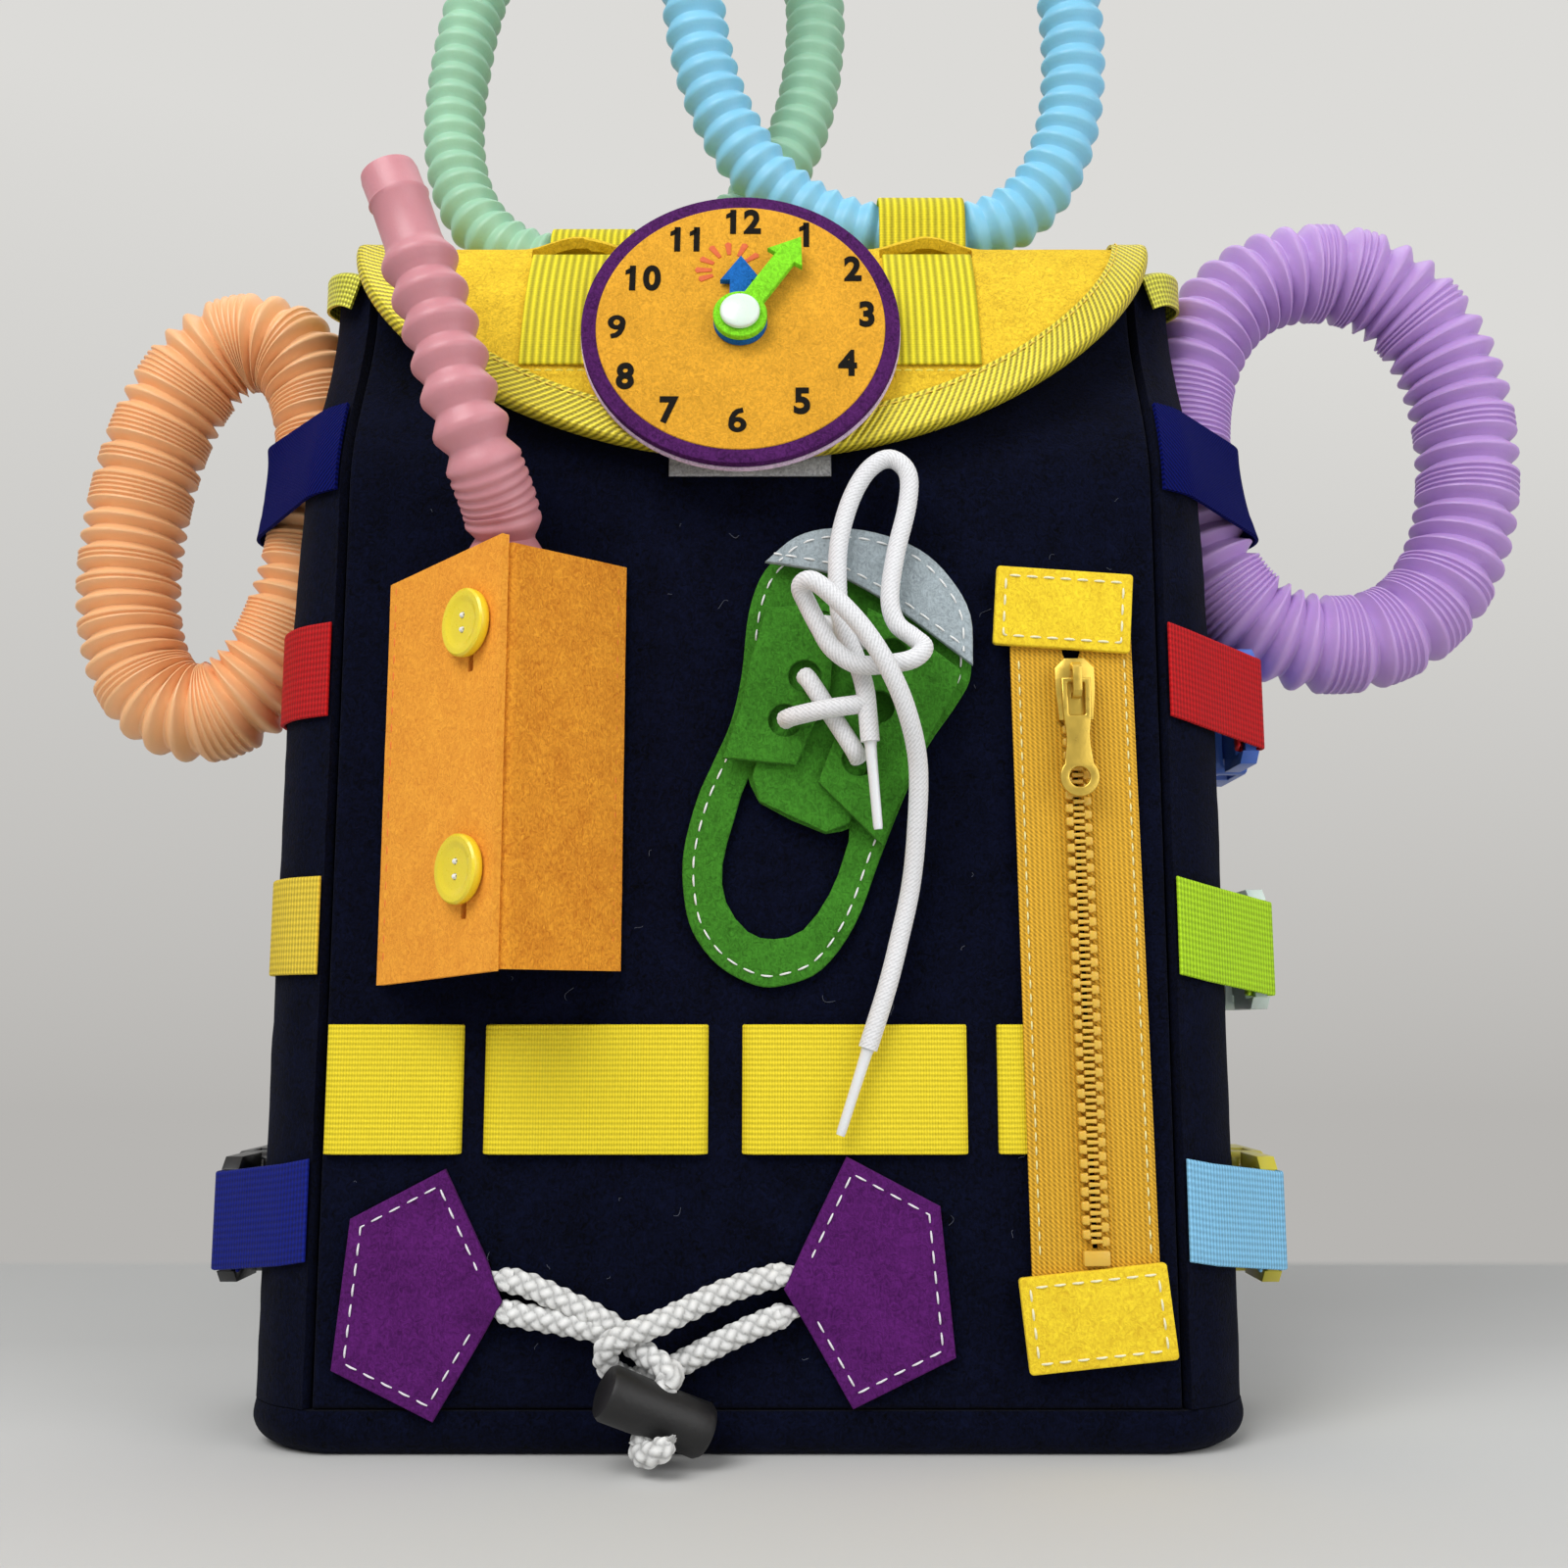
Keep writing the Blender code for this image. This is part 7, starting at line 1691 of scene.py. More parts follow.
def node_copy(name, node, bevel, segments=2, angle=35):
    """A CAD node's mesh with its sharp edges rounded."""
    source = bpy.data.objects[node]
    mesh = source.data.copy()
    mesh.name = name
    mesh.transform(source.matrix_world)
    bm = bmesh.new()
    bm.from_mesh(mesh)
    bmesh.ops.remove_doubles(bm, verts=bm.verts, dist=1e-6)
    bmesh.ops.dissolve_limit(bm, angle_limit=math.radians(1), verts=bm.verts, edges=bm.edges)
    bmesh.ops.recalc_face_normals(bm, faces=bm.faces)
    edges = [e for e in bm.edges if len(e.link_faces) == 2 and e.calc_face_angle(0) > math.radians(angle)]
    bmesh.ops.bevel(bm, geom=edges, offset=bevel, segments=segments, profile=0.5, affect="EDGES",
                    clamp_overlap=True)
    bm.to_mesh(mesh)
    bm.free()
    return smooth_shaded(mesh, 50)


def make_buckles():
    for colour, screen in (("black", (32, 32, 34)), ("blue", (68, 108, 200)), ("white", (214, 230, 220)),
                           ("yellow", (204, 192, 60))):
        look = plastic(colour + "_buckle", screen, 0.36)
        male = node_copy(colour + "_male_body", colour + "_buckle_male", 0.0004)
        keep(colour + "_male_body", male, look, colour + "_male", [colour + "_buckle_male"])
        female = node_copy(colour + "_female_body", colour + "_buckle_female", 0.0006, 3)
        keep(colour + "_female_body", female, look, "bag", [colour + "_buckle_female"])


make_straps()
make_buckles()


# Pencil elastic

PENCIL_ELASTIC_WIDTH, PENCIL_ELASTIC_HEIGHT, PENCIL_SLACK = 0.032, 0.088, 0.0013
PENCIL_HIDDEN = 0.0105
PENCIL_SLOTS = (-0.072, -0.0655, -0.0105, -0.001, 0.0545, 0.063)


def make_pencil_elastic():
    half = PANEL_WIDTH / 2
    front, back = FRONT - CLEAR - ELASTIC / 2, FRONT + FELT + CLEAR + ELASTIC / 2
    a, b, c, d, e, f = PENCIL_SLOTS
    path = []
    for start, end, follow in ((-half + ELASTIC, a, b), (b, c, d), (d, e, f)):
        path += [(start, front), (start + ELASTIC, front - PENCIL_SLACK * 0.55),
                 (start + 3 * ELASTIC, front - PENCIL_SLACK)]
        path += [(x, front - PENCIL_SLACK) for x in np.linspace(start + 6 * ELASTIC, end - 6 * ELASTIC, 12)]
        path += [(end - 3 * ELASTIC, front - PENCIL_SLACK), (end - ELASTIC, front - PENCIL_SLACK * 0.55),
                 (end, front), (end, back), (follow, back)]
    path += [(f, front), (f + ELASTIC, front - PENCIL_SLACK * 0.1), (half - PENCIL_HIDDEN, front)]
    look = woven("pencil_elastic", (236, 212, 40), rib=0.0007, cross=0.0013, depth=0.2, cords=1.4)
    mesh = band("pencil_band", [(x, y, PENCIL_ELASTIC_HEIGHT) for x, y in path],
                (0, 0, PENCIL_ELASTIC_WIDTH), ELASTIC, 0.0012, 0.0022)
    keep("pencil_band", mesh, look, "bag", ["pencil_elastic"])


make_pencil_elastic()


# Zipper

ZIP_X, ZIP_TOP, ZIP_FOOT, ZIP_TILT = PANEL_WIDTH / 2 - 0.022, 0.202, 0.0455, 0.0011
ZIP_TAPE_WIDTH, ZIP_TAPE, ZIP_GAP, ZIP_HIDDEN = 0.0315, 0.0008, 0.0012, 0.010
CHAIN_WIDTH, TOOTH_THICKNESS, STOP_HEIGHT = 0.0066, 0.0022, 0.004
# A tooth: a foot round the tape's cord, its end drawn in, and a narrow head between the other side's teeth
TOOTH_PITCH, TOOTH_FOOT, TOOTH_FOOT_DEPTH, TOOTH_FOOT_DRAW = 0.0034, 0.0025, 0.0019, -0.22
TOOTH_HEAD, TOOTH_HEAD_REACH, TOOTH_HEAD_DRAW = 0.00116, 0.0013, -0.3
SLIDER_TOP, SLIDER_LENGTH = 0.197, 0.016
ZIP_MOUTH = 0.0023
PULL_BAR, PULL_RING, PULL_HOLE, PULL_RING_DROP, PULL_WINDOW = 0.0006, 0.005, 0.0026, 0.025, (0.0042, 0.0085)
PULL_HALF = [(0.00375, 0.0006), (0.0037, -0.006), (0.0034, -0.0105), (0.0030, -0.014), (0.0031, -0.017),
             (0.0035, -0.0197)]
TOP_PATCH, BOTTOM_PATCH = (0.0355, 0.021, -4), (0.0365, 0.023, 6)


def zip_frame(y):
    top_x, foot_x = ZIP_X - ZIP_TILT, ZIP_X + ZIP_TILT
    turn = math.atan2(foot_x - top_x, ZIP_TOP - ZIP_FOOT)
    return Matrix.Translation((foot_x, y, ZIP_FOOT)) @ Matrix.Rotation(-turn, 4, "Y")


def zip_levels():
    tape = FRONT - 2 * CLEAR - ELASTIC - ZIP_TAPE / 2
    teeth = tape - ZIP_TAPE / 2 - CLEAR - TOOTH_THICKNESS / 2
    return tape, teeth


def block(low, high, bevel, matrix, taper=0.0):
    """A box with rounded edges, its +X end taller by the taper."""
    bm = bmesh.new()
    bmesh.ops.create_cube(bm, size=1)
    size = Vector(high) - Vector(low)
    middle = (Vector(high) + Vector(low)) / 2
    bmesh.ops.transform(bm, verts=bm.verts, matrix=Matrix.Translation(middle) @ Matrix.Diagonal((*size, 1)))
    if taper:
        for v in bm.verts:
            if v.co.x > middle.x:
                v.co.z = middle.z + (v.co.z - middle.z) * (1 + taper)
    bmesh.ops.bevel(bm, geom=bm.edges[:], offset=bevel, segments=2, profile=0.5, affect="EDGES")
    bmesh.ops.transform(bm, verts=bm.verts, matrix=matrix)
    mesh = bpy.data.meshes.new("block")
    bm.to_mesh(mesh)
    bm.free()
    return smooth_shaded(mesh, 45)


def make_zipper():
    tape_y, teeth_y = zip_levels()
    at = zip_frame(tape_y)
    length = ZIP_TOP - ZIP_FOOT
    wide, gap, top = ZIP_TAPE_WIDTH / 2, ZIP_GAP / 2, length + ZIP_HIDDEN
    half = [(wide, -ZIP_HIDDEN), (wide, top), (ZIP_MOUTH, top), (ZIP_MOUTH, length - 0.0025),
            (gap, length - 0.0075), (gap, STOP_HEIGHT)]
    outline = half + [(-x, z) for x, z in reversed(half)]
    tape_look = woven("zip_tape", (218, 166, 44), rib=0.0011, cross=0.0013, depth=0.42, slant=0.9,
                      cords=0.9)
    keep("zip_cloth", flat("zip_cloth", [outline], ZIP_TAPE, at @ UPRIGHT, 0.00015), tape_look, "bag",
         ["zipper_tape"])
    seams = []
    for x in (-wide + 0.0021, wide - 0.0021):
        line = [tuple(at @ Vector((x, -ZIP_TAPE / 2, z))) for z in np.linspace(0.002, length - 0.004, 60)]
        seams.append(stitches("zip_seam", line, 0.0034, 0.0021, 0.00024))
    keep_all("zip_seams", seams, thread("zip_thread", (244, 230, 160)), "bag")
    make_teeth(zip_frame(teeth_y))
    make_slider()
    make_end_patches(tape_y)


def make_teeth(at):
    """Moulded teeth on the two tapes' edge cords, closed below the slider."""
    half, outer = TOOTH_THICKNESS / 2, CHAIN_WIDTH / 2
    run = SLIDER_TOP - SLIDER_LENGTH / 2 - ZIP_FOOT
    count = int((run - STOP_HEIGHT) / TOOTH_PITCH)
    teeth = [block((-outer, -half, 0), (outer, half, STOP_HEIGHT - 0.0003), 0.0005, at)]
    for side in (-1, 1):
        mirror = at @ Matrix.Scale(side, 4, Vector((1, 0, 0)))
        for k in range(count):
            z = STOP_HEIGHT + TOOTH_PITCH * (k + (0.55 if side > 0 else 1.05))
            foot = block((outer - TOOTH_FOOT_DEPTH, -half, z - TOOTH_FOOT / 2),
                         (outer, half, z + TOOTH_FOOT / 2), 0.0004, mirror, TOOTH_FOOT_DRAW)
            head = block((-TOOTH_HEAD_REACH, -half * 0.9, z - TOOTH_HEAD / 2),
                         (outer - 0.0016, half * 0.9, z + TOOTH_HEAD / 2), 0.00025, mirror, TOOTH_HEAD_DRAW)
            teeth += [foot, head]
    mesh = fixed(joined("zip_teeth", teeth), 45)
    keep("zip_teeth", mesh, plastic("zip_teeth", (222, 178, 66), 0.34), "bag", ["zipper_chain"])


def make_slider():
    look = metal("brass", (222, 188, 84))
    keep("slider_body", node_copy("slider_body", "zipper_slider", 0.0003), look, "slider",
         ["zipper_slider"])
    low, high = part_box("zipper_pull")
    drop = Matrix.Translation((0, 0, high[2] - ZIP_FOOT - PULL_BAR)) @ UPRIGHT
    at = zip_frame((low[1] + high[1]) / 2) @ drop
    ring = arc((0, -PULL_RING_DROP), PULL_RING, 138, 402, 40)
    outline = [(-x, y) for x, y in PULL_HALF] + ring + list(reversed(PULL_HALF))
    wide, long = PULL_WINDOW
    window = [(x, y - PULL_BAR - long / 2) for x, y in rectangle(wide, long, 0.0005)]
    hole = arc((0, -PULL_RING_DROP), PULL_HOLE, 10, 360, 35)
    tab = flat("pull_tab", [outline, window, hole], high[1] - low[1], at, 0.00035)
    keep("pull_tab", tab, look, "pull", ["zipper_pull"])


def make_end_patches(tape_y):
    y = tape_y - ZIP_TAPE / 2 - CLEAR - THIN_FELT / 2
    look = felt("patch_felt", (250, 206, 50), 0.12)
    white = thread("patch_thread", (250, 240, 196))
    for name, node, (width, height, turn), x, z in (
            ("top_patch", "zipper_top_patch", TOP_PATCH, ZIP_X - ZIP_TILT - THIN_FELT,
             ZIP_TOP + TOP_PATCH[1] / 2 - THIN_FELT),
            ("bottom_patch", "zipper_bottom_patch", BOTTOM_PATCH, ZIP_X + ZIP_TILT,
             ZIP_FOOT - BOTTOM_PATCH[1] / 2 - 3 * CLEAR)):
        at = on_front(y, x, z, turn)
        outline = rectangle(width, height, 0.0010)
        keep(name + "_felt", flat(name + "_felt", [outline], THIN_FELT, at, 0.0005), look, "bag", [node])
        ring = rectangle(width - 0.005, height - 0.005, 0.0006)
        path = [tuple(at @ Vector((p.x, p.y, THIN_FELT / 2))) for p in ring + ring[:1]]
        keep(name + "_stitches", stitches(name + "_stitches", path, 0.0043, 0.0027, 0.0003), white, "bag")


make_zipper()


# Orange pocket

POCKET_RIDGE = (POCKET_RIGHT - 0.025, FRONT - 0.036)
BUTTON_RADIUS, BUTTON_THICKNESS, BUTTON_HEIGHTS = 0.0085, 0.003, (0.2005, 0.1405)
BUTTONHOLE, BUTTON_SHANK = (0.0022, 0.019), 0.0015
THREAD_HOLE, THREAD_HOLE_OFF, KNOT_RADIUS = 0.00085, 0.0018, 0.00034
# A knot's arch from hole to rim, as (along, height over the well)
KNOT = ((-0.00045, -0.0012), (-0.0003, 0.0001), (0, 0.0003), (0.0003, 0.0001), (0.00045, -0.0012))
LEFT_FLAP_TOP, LEFT_FLAP_FOOT = (-0.0030, 0.0004), (-0.0018, 0.0008)
RIGHT_FLAP_TOP, RIGHT_FLAP_FOOT = (0.0018, -0.0030), (0.0018, 0.0010)


def pocket_flaps():
    """The left and right flap's middle lines in X and Y, the left one over the right one."""
    base = FRONT - CLEAR - THIN_FELT / 2
    ridge = Vector(POCKET_RIDGE)
    left_foot, right_foot = Vector((POCKET_LEFT, base)), Vector((POCKET_RIGHT, base))
    along = (ridge - left_foot).normalized()
    inward = Vector((-along.y, along.x))
    left = [left_foot, left_foot + along * THIN_FELT * 2, ridge]
    tip = ridge + inward * (THIN_FELT + CLEAR) - along * THIN_FELT * 0.6
    length = (ridge - left_foot).length
    right = [right_foot, right_foot.lerp(tip, 0.5)]
    right += [tip - along * length * share for share in (0, 0.25, 0.52)]
    return left, right, along, inward


def make_pocket():
    look = felt("orange_felt", (255, 160, 58), 0.12)
    left, right, along, inward = pocket_flaps()
    meshes = []
    height = POCKET_TOP - POCKET_FOOT
    for name, line, top, foot in (("left_pocket_felt", left, LEFT_FLAP_TOP, LEFT_FLAP_FOOT),
                                  ("right_pocket_felt", right, RIGHT_FLAP_TOP, RIGHT_FLAP_FOOT)):
        route = Route([(p.x, p.y, 0) for p in line])
        grid = []
        for up in np.linspace(0, 1, 54):
            row = []
            for share in np.linspace(0, 1, 44):
                x, y = route.at(share * route.length)[:2]
                low = foot[0] + (foot[1] - foot[0]) * share
                high = top[0] + (top[1] - top[0]) * share
                row.append((x, y, POCKET_FOOT + low + (height + high - low) * up))
            grid.append(row)
        meshes.append(thick_grid(name, grid, THIN_FELT, fuzz=0.00008))
    spot = left[0].lerp(left[-1], 0.76)
    cutters, places = [], []
    for z in BUTTON_HEIGHTS:
        at = Matrix(((along.x, 0, -inward.x), (along.y, 0, -inward.y), (0, 1, 0))).to_4x4()
        at = Matrix.Translation((spot.x, spot.y, z)) @ at
        places.append(at)
        wide, long = BUTTONHOLE
        cutters.append(block((-wide / 2, -long * 0.62, -0.004), (wide / 2, long * 0.38, 0.004), 0.0004, at))
    cut_away(meshes[0], cutters, 60)
    keep("left_pocket_felt", meshes[0], look, "bag", ["pocket_left_flap"])
    # The right flap's orange is darker and more mottled than the left flap's: partly brown melange fibres and
    # partly painted shade
    keep("right_pocket_felt", meshes[1], felt("orange_melange", (255, 150, 48), 0.2), "bag",
         ["pocket_right_flap"])
    for name, at in zip(("upper", "lower"), places):
        make_button(name, at)
    make_pocket_seams(right, left)


def make_button(name, at):
    face = THIN_FELT / 2 + CLEAR
    rim = face + BUTTON_THICKNESS
    well = face + BUTTON_THICKNESS * 0.8
    r = BUTTON_RADIUS
    profile = [(0, well), (r * 0.56, well), (r * 0.64, well + 0.0001), (r * 0.74, rim - 0.0001),
               (r * 0.80, rim), (r - 0.0006, rim), (r - 0.0001, rim - 0.0005),
               (r, face + BUTTON_THICKNESS / 2), (r - 0.0002, face + 0.0005), (r - 0.0007, face),
               (BUTTON_SHANK, face), (BUTTON_SHANK, -THIN_FELT / 2), (0, -THIN_FELT / 2)]
    mesh = lathe(name + "_button_body", profile[::-1], at, 64)
    holes, knots = [], []
    for y in (-THREAD_HOLE_OFF, THREAD_HOLE_OFF):
        bore = [(0, face + 0.0004), (THREAD_HOLE, face + 0.0004), (THREAD_HOLE, rim + 0.001),
                (0, rim + 0.001)]
        holes.append(lathe("hole", bore, at @ Matrix.Translation((0, y, 0)), 20))
        for side in (-0.0003, 0.0003):
            line = [at @ Vector((side, y + across, well + up)) for across, up in KNOT]
            knots.append(pipe("knot", smooth(line, 3), KNOT_RADIUS, 8))
    cut_away(mesh, holes)
    keep(name + "_button_body", mesh, plastic("button_yellow", (238, 214, 44), 0.3, coat=0.2), "bag",
         [f"pocket_{name}_button"])
    keep_all(name + "_button_thread", knots, thread("button_thread", (244, 244, 240)), "bag")


def make_pocket_seams(right, left):
    """The seam that holds each flap's foot, as sunken dashes of orange thread."""
    made = []
    for line in (left, right):
        x, y = Route([(p.x, p.y, 0) for p in line]).at(0.0018)[:2]
        path = [(x, y - THIN_FELT * 0.55, z)
                for z in np.linspace(POCKET_FOOT + 0.003, POCKET_TOP - 0.003, 50)]
        made.append(stitches("pocket_seam", path, 0.0045, 0.0028, 0.00026))
    keep_all("pocket_seams", made, thread("orange_thread", (236, 122, 34)), "bag")


make_pocket()


# Shoe and pentagons


def dashes(name, outline, distance, y, look, pitch=0.0047, length=0.0029):
    ring = inset(outline, distance)
    path = [on_wave(Vector(p)) for p in closed_path(ring, y)]
    return keep(name, stitches(name, path, pitch, length, 0.00026), look, "bag")


def felt_piece(name, outlines, level, look, node):
    mesh = flat(name, outlines, THIN_FELT, on_front(layer_y(level)), 0.0004, 0.006, on_wave)
    return keep(name, mesh, look, "bag", [node])


def make_shoe():
    green = felt("green_felt", (60, 122, 36), 0.2)
    toe = felt("toe_felt", (158, 169, 174), 0.14)
    white = thread("shoe_thread", (240, 242, 238))
    upper = closed_smooth(shoe_points(SHOE_SHARES), 4)
    heel = closed_smooth(shoe_points(HEEL_SHARES), 2)
    felt_piece("shoe_sole_felt", [upper, heel], 0, green, "shoe_upper")
    corners = shoe_points(TOE_SHARES)
    cap = smooth(corners[:8], 4)[:-1] + smooth(corners[7:] + corners[:1], 4)[:-1]
    felt_piece("shoe_toe_felt", [cap], 2, toe, "shoe_toe_cap")
    felt_piece("shoe_tongue_felt", [shoe_points(TONGUE_SHARES)], 1, green, "shoe_tongue")
    for name, node, outline, eyelets in (
            ("left_eyestay_felt", "shoe_left_eyestay", LEFT_EYESTAY_SHARES, EYELET_SHARES),
            ("right_eyestay_felt", "shoe_right_eyestay", RIGHT_EYESTAY_SHARES, RIGHT_EYELET_SHARES)):
        holes = [arc(c, EYELET_RADIUS, 11.25, 360, 31) for c in shoe_points(eyelets)]
        felt_piece(name, [shoe_points(outline)] + holes, 2, green, node)
    face = THIN_FELT / 2
    dashes("shoe_outer_stitches", upper, 0.0028, layer_y(0) - face, white)
    dashes("toe_cap_stitches", cap, 0.0024, layer_y(2) - face, white)


PATCH_TIP_LIFT, PATCH_TIP_REACH = 0.0042, 0.012
PENTAGON_WIDTH, PENTAGON_HEIGHT = 0.042, 0.060
PENTAGON = ((0.13, 0.5), (-0.42, 0.30), (-0.5, -0.30), (0.10, -0.5), (0.5, -0.02))


def make_pentagons():
    purple = felt("purple_felt", (84, 28, 98), 0.2)
    white = thread("pentagon_thread", (236, 230, 240))
    for name, node, (x, z), side in (("left_pentagon", "left_rope_patch", (-0.0805, 0.0385), 1),
                                     ("right_pentagon", "right_rope_patch", (0.0300, 0.0415), -1)):
        outline = [Vector((x + side * a * PENTAGON_WIDTH, z + b * PENTAGON_HEIGHT)) for a, b in PENTAGON]
        tip = outline[-1]

        def lifted(co):
            """The patch's tip lies over the ropes' ends."""
            near = math.hypot(co.x - tip.x, co.z - tip.y)
            return on_wave(co) + Vector((0, -PATCH_TIP_LIFT * ease(1 - near / PATCH_TIP_REACH), 0))

        mesh = flat(name + "_felt", [outline], THIN_FELT, on_front(layer_y(0)), 0.0004, 0.0025, lifted)
        keep(name + "_felt", mesh, purple, "bag", [node])
        dashes(name + "_stitches", outline, 0.0030, layer_y(0) - THIN_FELT / 2, white)


make_shoe()
make_pentagons()


# Back of the bag

SHOULDER_STRAP, SHOULDER_STRAP_WIDTH = 0.005, 0.036
SHOULDER_TOP_X, SHOULDER_SPREAD = PANEL_WIDTH / 2 - 0.0425, 0.020
SHOULDER_SHARES = ((0, 0, 0), (0.04, 0, 0), (0.12, 0.03, 0.25), (0.30, 0.20, 0.95), (0.55, 0.55, 1),
                   (0.78, 0.85, 0.55), (0.90, 0.97, 0.17), (0.96, 1, 0), (1, 1, 0))
SHOULDER_TOP, SHOULDER_FOOT, SHOULDER_BOW, SHOULDER_SEAM = 0.300, 0.016, 0.030, 0.004
HANDLE_HEIGHT, HANDLE_HALF, HANDLE_BOW = 0.2875, 0.040, 0.016
HANDLE_SHARES = ((-1, 0), (-0.75, 0), (-0.5, 0.6), (0, 1), (0.5, 0.6), (0.75, 0), (1, 0))


def make_back():
    navy = felt("strap_felt", (22, 30, 54), 0.3)
    wall = BAG_DEPTH / 2 + CLEAR + SHOULDER_STRAP / 2
    for name, side in (("left_shoulder_pad", -1), ("right_shoulder_pad", 1)):
        points = [(side * (SHOULDER_TOP_X + SHOULDER_SPREAD * out), wall + SHOULDER_BOW * off,
                   SHOULDER_TOP - (SHOULDER_TOP - SHOULDER_FOOT) * down) for down, out,
                  off in SHOULDER_SHARES]
        path = [(p.x, max(p.y, wall), p.z) for p in smooth(points, 6)]
        mesh = band(name, path, (SHOULDER_STRAP_WIDTH, 0, 0), SHOULDER_STRAP, 0.003, 0.003)
        node = name.replace("pad", "strap")
        pad = keep(name, mesh, navy, "bag", [node])
        route = Route(path)
        for edge in (-1, 1):
            line = []
            for d in np.linspace(SHOULDER_SEAM, route.length - SHOULDER_SEAM, 90):
                here, ahead = route.at(d), route.at(min(d + 0.002, route.length))
                run = Vector(ahead - here)
                out = Vector((0, -run.z, run.y)).normalized() if run.length > 1e-6 else Vector((0, 1, 0))
                beside = Vector((edge * (SHOULDER_STRAP_WIDTH / 2 - SHOULDER_SEAM), 0, 0))
                line.append(tuple(Vector(here) + beside + out * SHOULDER_STRAP / 2))
            keep(f"{name}_seam_{'left' if edge < 0 else 'right'}",
                 stitches("pad_seam", line, 0.0040, 0.0028, 0.00024, (0, 1, 0)),
                 thread("navy_thread", (60, 72, 110)), "bag")
    back = BAG_DEPTH / 2 + CLEAR + WEBBING
    grip = [(HANDLE_HALF * across, back + HANDLE_BOW * off, 0) for across, off in HANDLE_SHARES]
    path = [(p.x, p.y, HANDLE_HEIGHT) for p in smooth(grip, 8)]
    black = woven("black_webbing", (30, 30, 34), depth=0.5)
    keep("handle_web", band("handle_web", path, (0, 0, WEBBING_WIDTH), WEBBING, 0.0014, 0.0025), black,
         "bag", ["grab_handle"])
    for side in (-1, 1):
        corner = (side * 0.031 - 0.0065, back + WEBBING / 2, HANDLE_HEIGHT - 0.0085)
        box_stitch(f"handle_stitches_{'left' if side < 0 else 'right'}", corner, (0.013, 0, 0),
                   (0, 0, 0.017), (0, 1, 0), (120, 122, 130), "bag")


make_back()


# Stray fibres

HAIRS, HAIR_RADIUS = 70, 0.00004


def make_lint():
    """Short pale fibres that cling to the navy felt."""
    hairs = []
    for k in range(HAIRS):
        x = -0.098 + 0.196 * ((k * 0.618034) % 1)
        z = 0.018 + 0.225 * ((k * 0.414214 + 0.21) % 1)
        way = Vector((math.cos(2.4 * k), 0, math.sin(2.4 * k)))
        side = Vector((-way.z, 0, way.x))
        long = 0.0008 + 0.0026 * ((k * 0.732051) % 1) ** 2
        start = Vector((x, front_y(z) - 0.00035, z))
        line = [start + way * long * t + side * long * 0.35 * math.sin(3.4 * t + k)
                + Vector((0, -0.0003 * t, 0)) for t in (0, 0.3, 0.6, 0.85, 1)]
        hairs.append(pipe("hair", smooth(line, 3), HAIR_RADIUS, 5))
    keep_all("lint", hairs, ink("lint", 900, (60, 66, 84), (130, 134, 146)), "bag")


make_lint()


# Camera, light and stage

LENS, SENSOR, CAMERA_PLACE, CAMERA_PITCH = 37.125, 36, (0.009, -0.4575, 0.1044), 8.4
# Name, place, what it is turned to, size and watts
LIGHTS = (("key", (-0.55, -0.95, 1.15), (0, 0, 0.16), 0.9, 14.7),
          ("fill", (0.95, -0.85, 0.55), (0, 0, 0.18), 1.1, 7.0),
          ("top", (0.1, 0.25, 1.4), (0, 0, 0.2), 1.0, 4))
SKY, SKY_STRENGTH = (0.95, 0.97, 1.0, 1), 0.37
# The floor runs from SWEEP_START back to SWEEP_END and bends up there into a wall SWEEP_TOP high
SWEEP_START, SWEEP_END, SWEEP_BEND, SWEEP_TOP, SWEEP_HALF = -3.0, 1.6, 0.25, 4.0, 8.0
# Where the pale card ends behind the bag and at the sides, and how softly; beyond it the sweep glows with
# painted light for the camera and reflections
CARD_EDGE, CARD_BLEND, CARD_REACH, CARD_FADE = 0.268, 0.016, 0.8, 0.7
# Floor colours: lighter near the front as painted light, darker further back as painted shade behind the bag
FLOOR_NEAR_LIT, FLOOR_FAR_SHADED = (208, 208, 206), (193, 193, 191)
# The glowing wall's painted light: its colour low down (painted shade) and high up, the height it rises over,
# and how it brightens towards +X
WALL_LOW_SHADED, WALL_HIGH_LIT, WALL_RISE, WALL_LIGHT_LEAN = (183, 181, 178), (220, 219, 216), 1.3, 0.12


def make_camera():
    data = bpy.data.cameras.new("camera")
    data.lens, data.sensor_width = LENS, SENSOR
    camera = in_scene("camera", data)
    camera.location = CAMERA_PLACE
    camera.rotation_euler = (math.radians(90 + CAMERA_PITCH), 0, 0)
    bpy.context.scene.camera = camera


def seen_rays(tree):
    """1 where the backdrop is looked at, directly or in a reflection, and 0 where it lights the bag."""
    path = tree.nodes.new("ShaderNodeLightPath")
    total = None
    for name in ("Is Camera Ray", "Is Glossy Ray", "Is Transmission Ray"):
        both = tree.nodes.new("ShaderNodeMath")
        both.operation, both.use_clamp = "ADD", True
        tree.links.new(path.outputs[name], both.inputs[0])
        if total:
            tree.links.new(total, both.inputs[1])
        else:
            both.inputs[1].default_value = 0
        total = both.outputs[0]
    return total


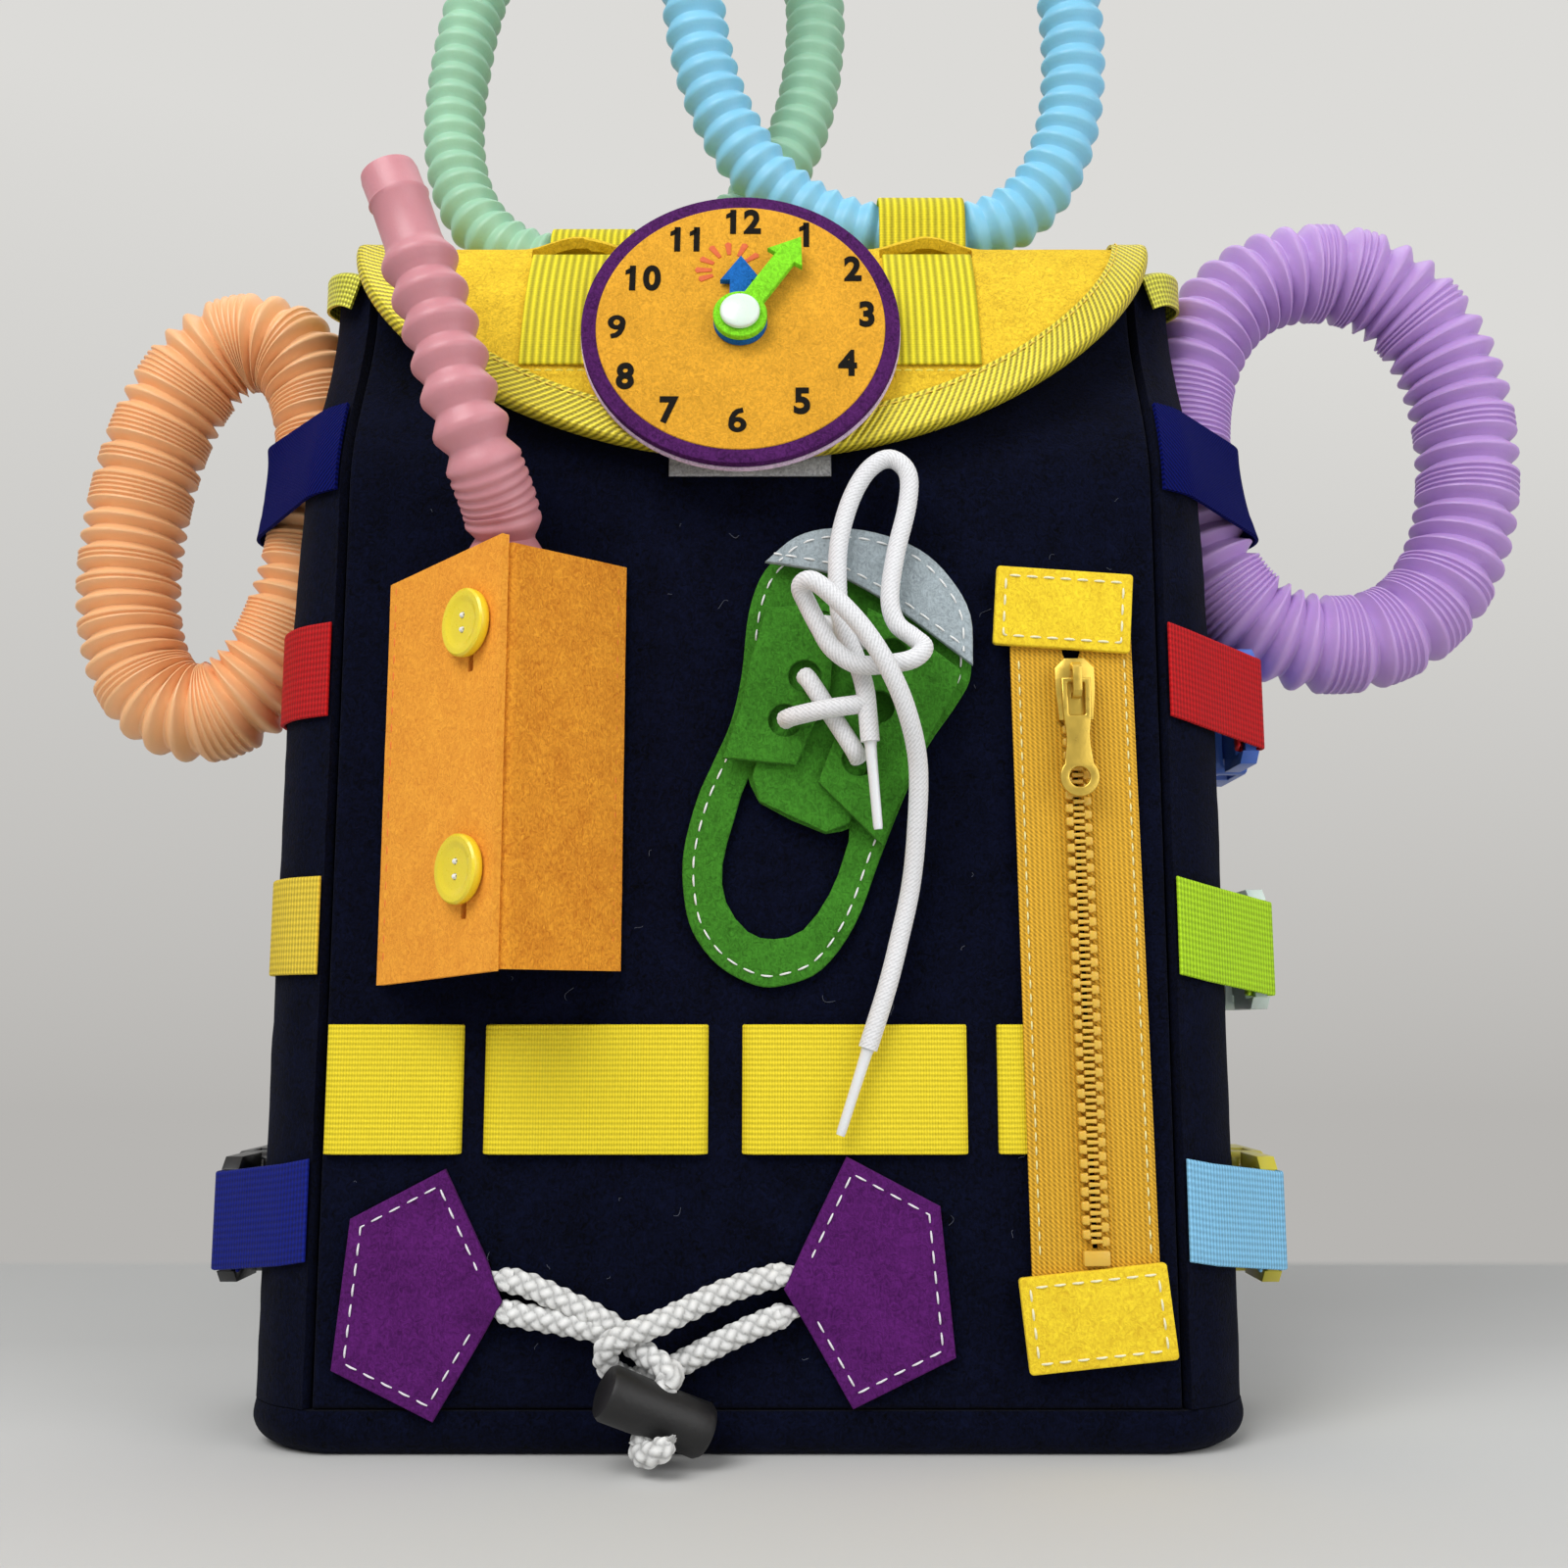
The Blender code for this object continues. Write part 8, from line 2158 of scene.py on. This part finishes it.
def make_stage():
    """A pale floor that sweeps up into a pale backdrop, far enough back to leave room behind the bag. The
    floor is painted lighter in front and darker behind the bag as painted light and shade; beyond the card
    the sweep glows, for camera and reflection rays only, with painted light that is darker low down and
    brighter high up and towards +X.
    """
    profile = [(SWEEP_START, 0), (SWEEP_END, 0)]
    profile += [(SWEEP_END + SWEEP_BEND * math.sin(a), SWEEP_BEND * (1 - math.cos(a)))
                for a in np.linspace(0.1, math.pi / 2, 16)]
    profile += [(SWEEP_END + SWEEP_BEND, SWEEP_TOP)]
    verts = [(x, y, z - 0.0002) for y, z in profile for x in (-SWEEP_HALF, SWEEP_HALF)]
    faces = [(2 * k, 2 * k + 1, 2 * k + 3, 2 * k + 2) for k in range(len(profile) - 1)]
    sweep = in_scene("sweep", smooth_shaded(mesh_of("sweep", verts, faces), 60))
    look = Look("sweep_card", 0.85)
    x, y, z = look.node("ShaderNodeSeparateXYZ", i0=look.place()).outputs
    # The floor's colour is painted lighter in front and darker behind the bag, as painted light and shade
    look.colour(look.spread(look.share(y, -0.02, 0.12), linear(*FLOOR_NEAR_LIT), linear(*FLOOR_FAR_SHADED)))
    distance = look.node("ShaderNodeVectorMath", {"operation": "LENGTH"}, i0=look.place()).outputs["Value"]
    beyond = look.math("MAXIMUM", look.share(y, CARD_EDGE, CARD_BLEND),
                       look.share(distance, CARD_REACH, CARD_FADE))
    # The wall's painted light: darker low down, brighter high up and towards +X
    height = look.math("MULTIPLY", z, 1 / WALL_RISE)
    rise = look.math("POWER", look.math("MAXIMUM", height, 0.0), 0.8)
    lean = look.math("MULTIPLY", look.math("MULTIPLY", x, WALL_LIGHT_LEAN), height)
    tone = look.spread(look.math("ADD", rise, lean, clamp=True), linear(*WALL_LOW_SHADED), linear(*WALL_HIGH_LIT))
    # The painted light glows, and beyond the card it is shown instead of the lit card, only to camera and
    # reflection rays
    painted_wall_light = look.node("ShaderNodeEmission", i0=tone)
    both = look.node("ShaderNodeMixShader", i0=look.math("MULTIPLY", beyond, seen_rays(look.tree)),
                     i1=look.shader.outputs[0], i2=painted_wall_light.outputs[0])
    look.tree.links.new(both.outputs[0], look.tree.nodes["Material Output"].inputs["Surface"])
    sweep.data.materials.append(look.material)


def make_light():
    world = bpy.data.worlds.new("soft_light")
    world.use_nodes = True
    tree = world.node_tree
    ground = tree.nodes["Background"]
    ground.inputs["Color"].default_value = SKY
    ground.inputs["Strength"].default_value = SKY_STRENGTH
    # Camera and reflection rays see the world in the low wall's painted shade colour, not the sky that lights
    # the bag
    pale = tree.nodes.new("ShaderNodeBackground")
    pale.inputs["Color"].default_value = (*linear(*WALL_LOW_SHADED), 1)
    both = tree.nodes.new("ShaderNodeMixShader")
    for socket, shader in zip(both.inputs, (seen_rays(tree), ground.outputs[0], pale.outputs[0])):
        tree.links.new(shader, socket)
    tree.links.new(both.outputs[0], tree.nodes["World Output"].inputs["Surface"])
    bpy.context.scene.world = world
    for name, place, target, size, watts in LIGHTS:
        data = bpy.data.lights.new(name, "AREA")
        data.size, data.energy = size, watts
        lamp = in_scene(name, data)
        lamp.location = place
        lamp.rotation_euler = (Vector(target) - Vector(place)).to_track_quat("-Z", "Y").to_euler()
    bpy.context.scene.view_settings.view_transform = "Standard"


make_camera()
make_stage()
make_light()
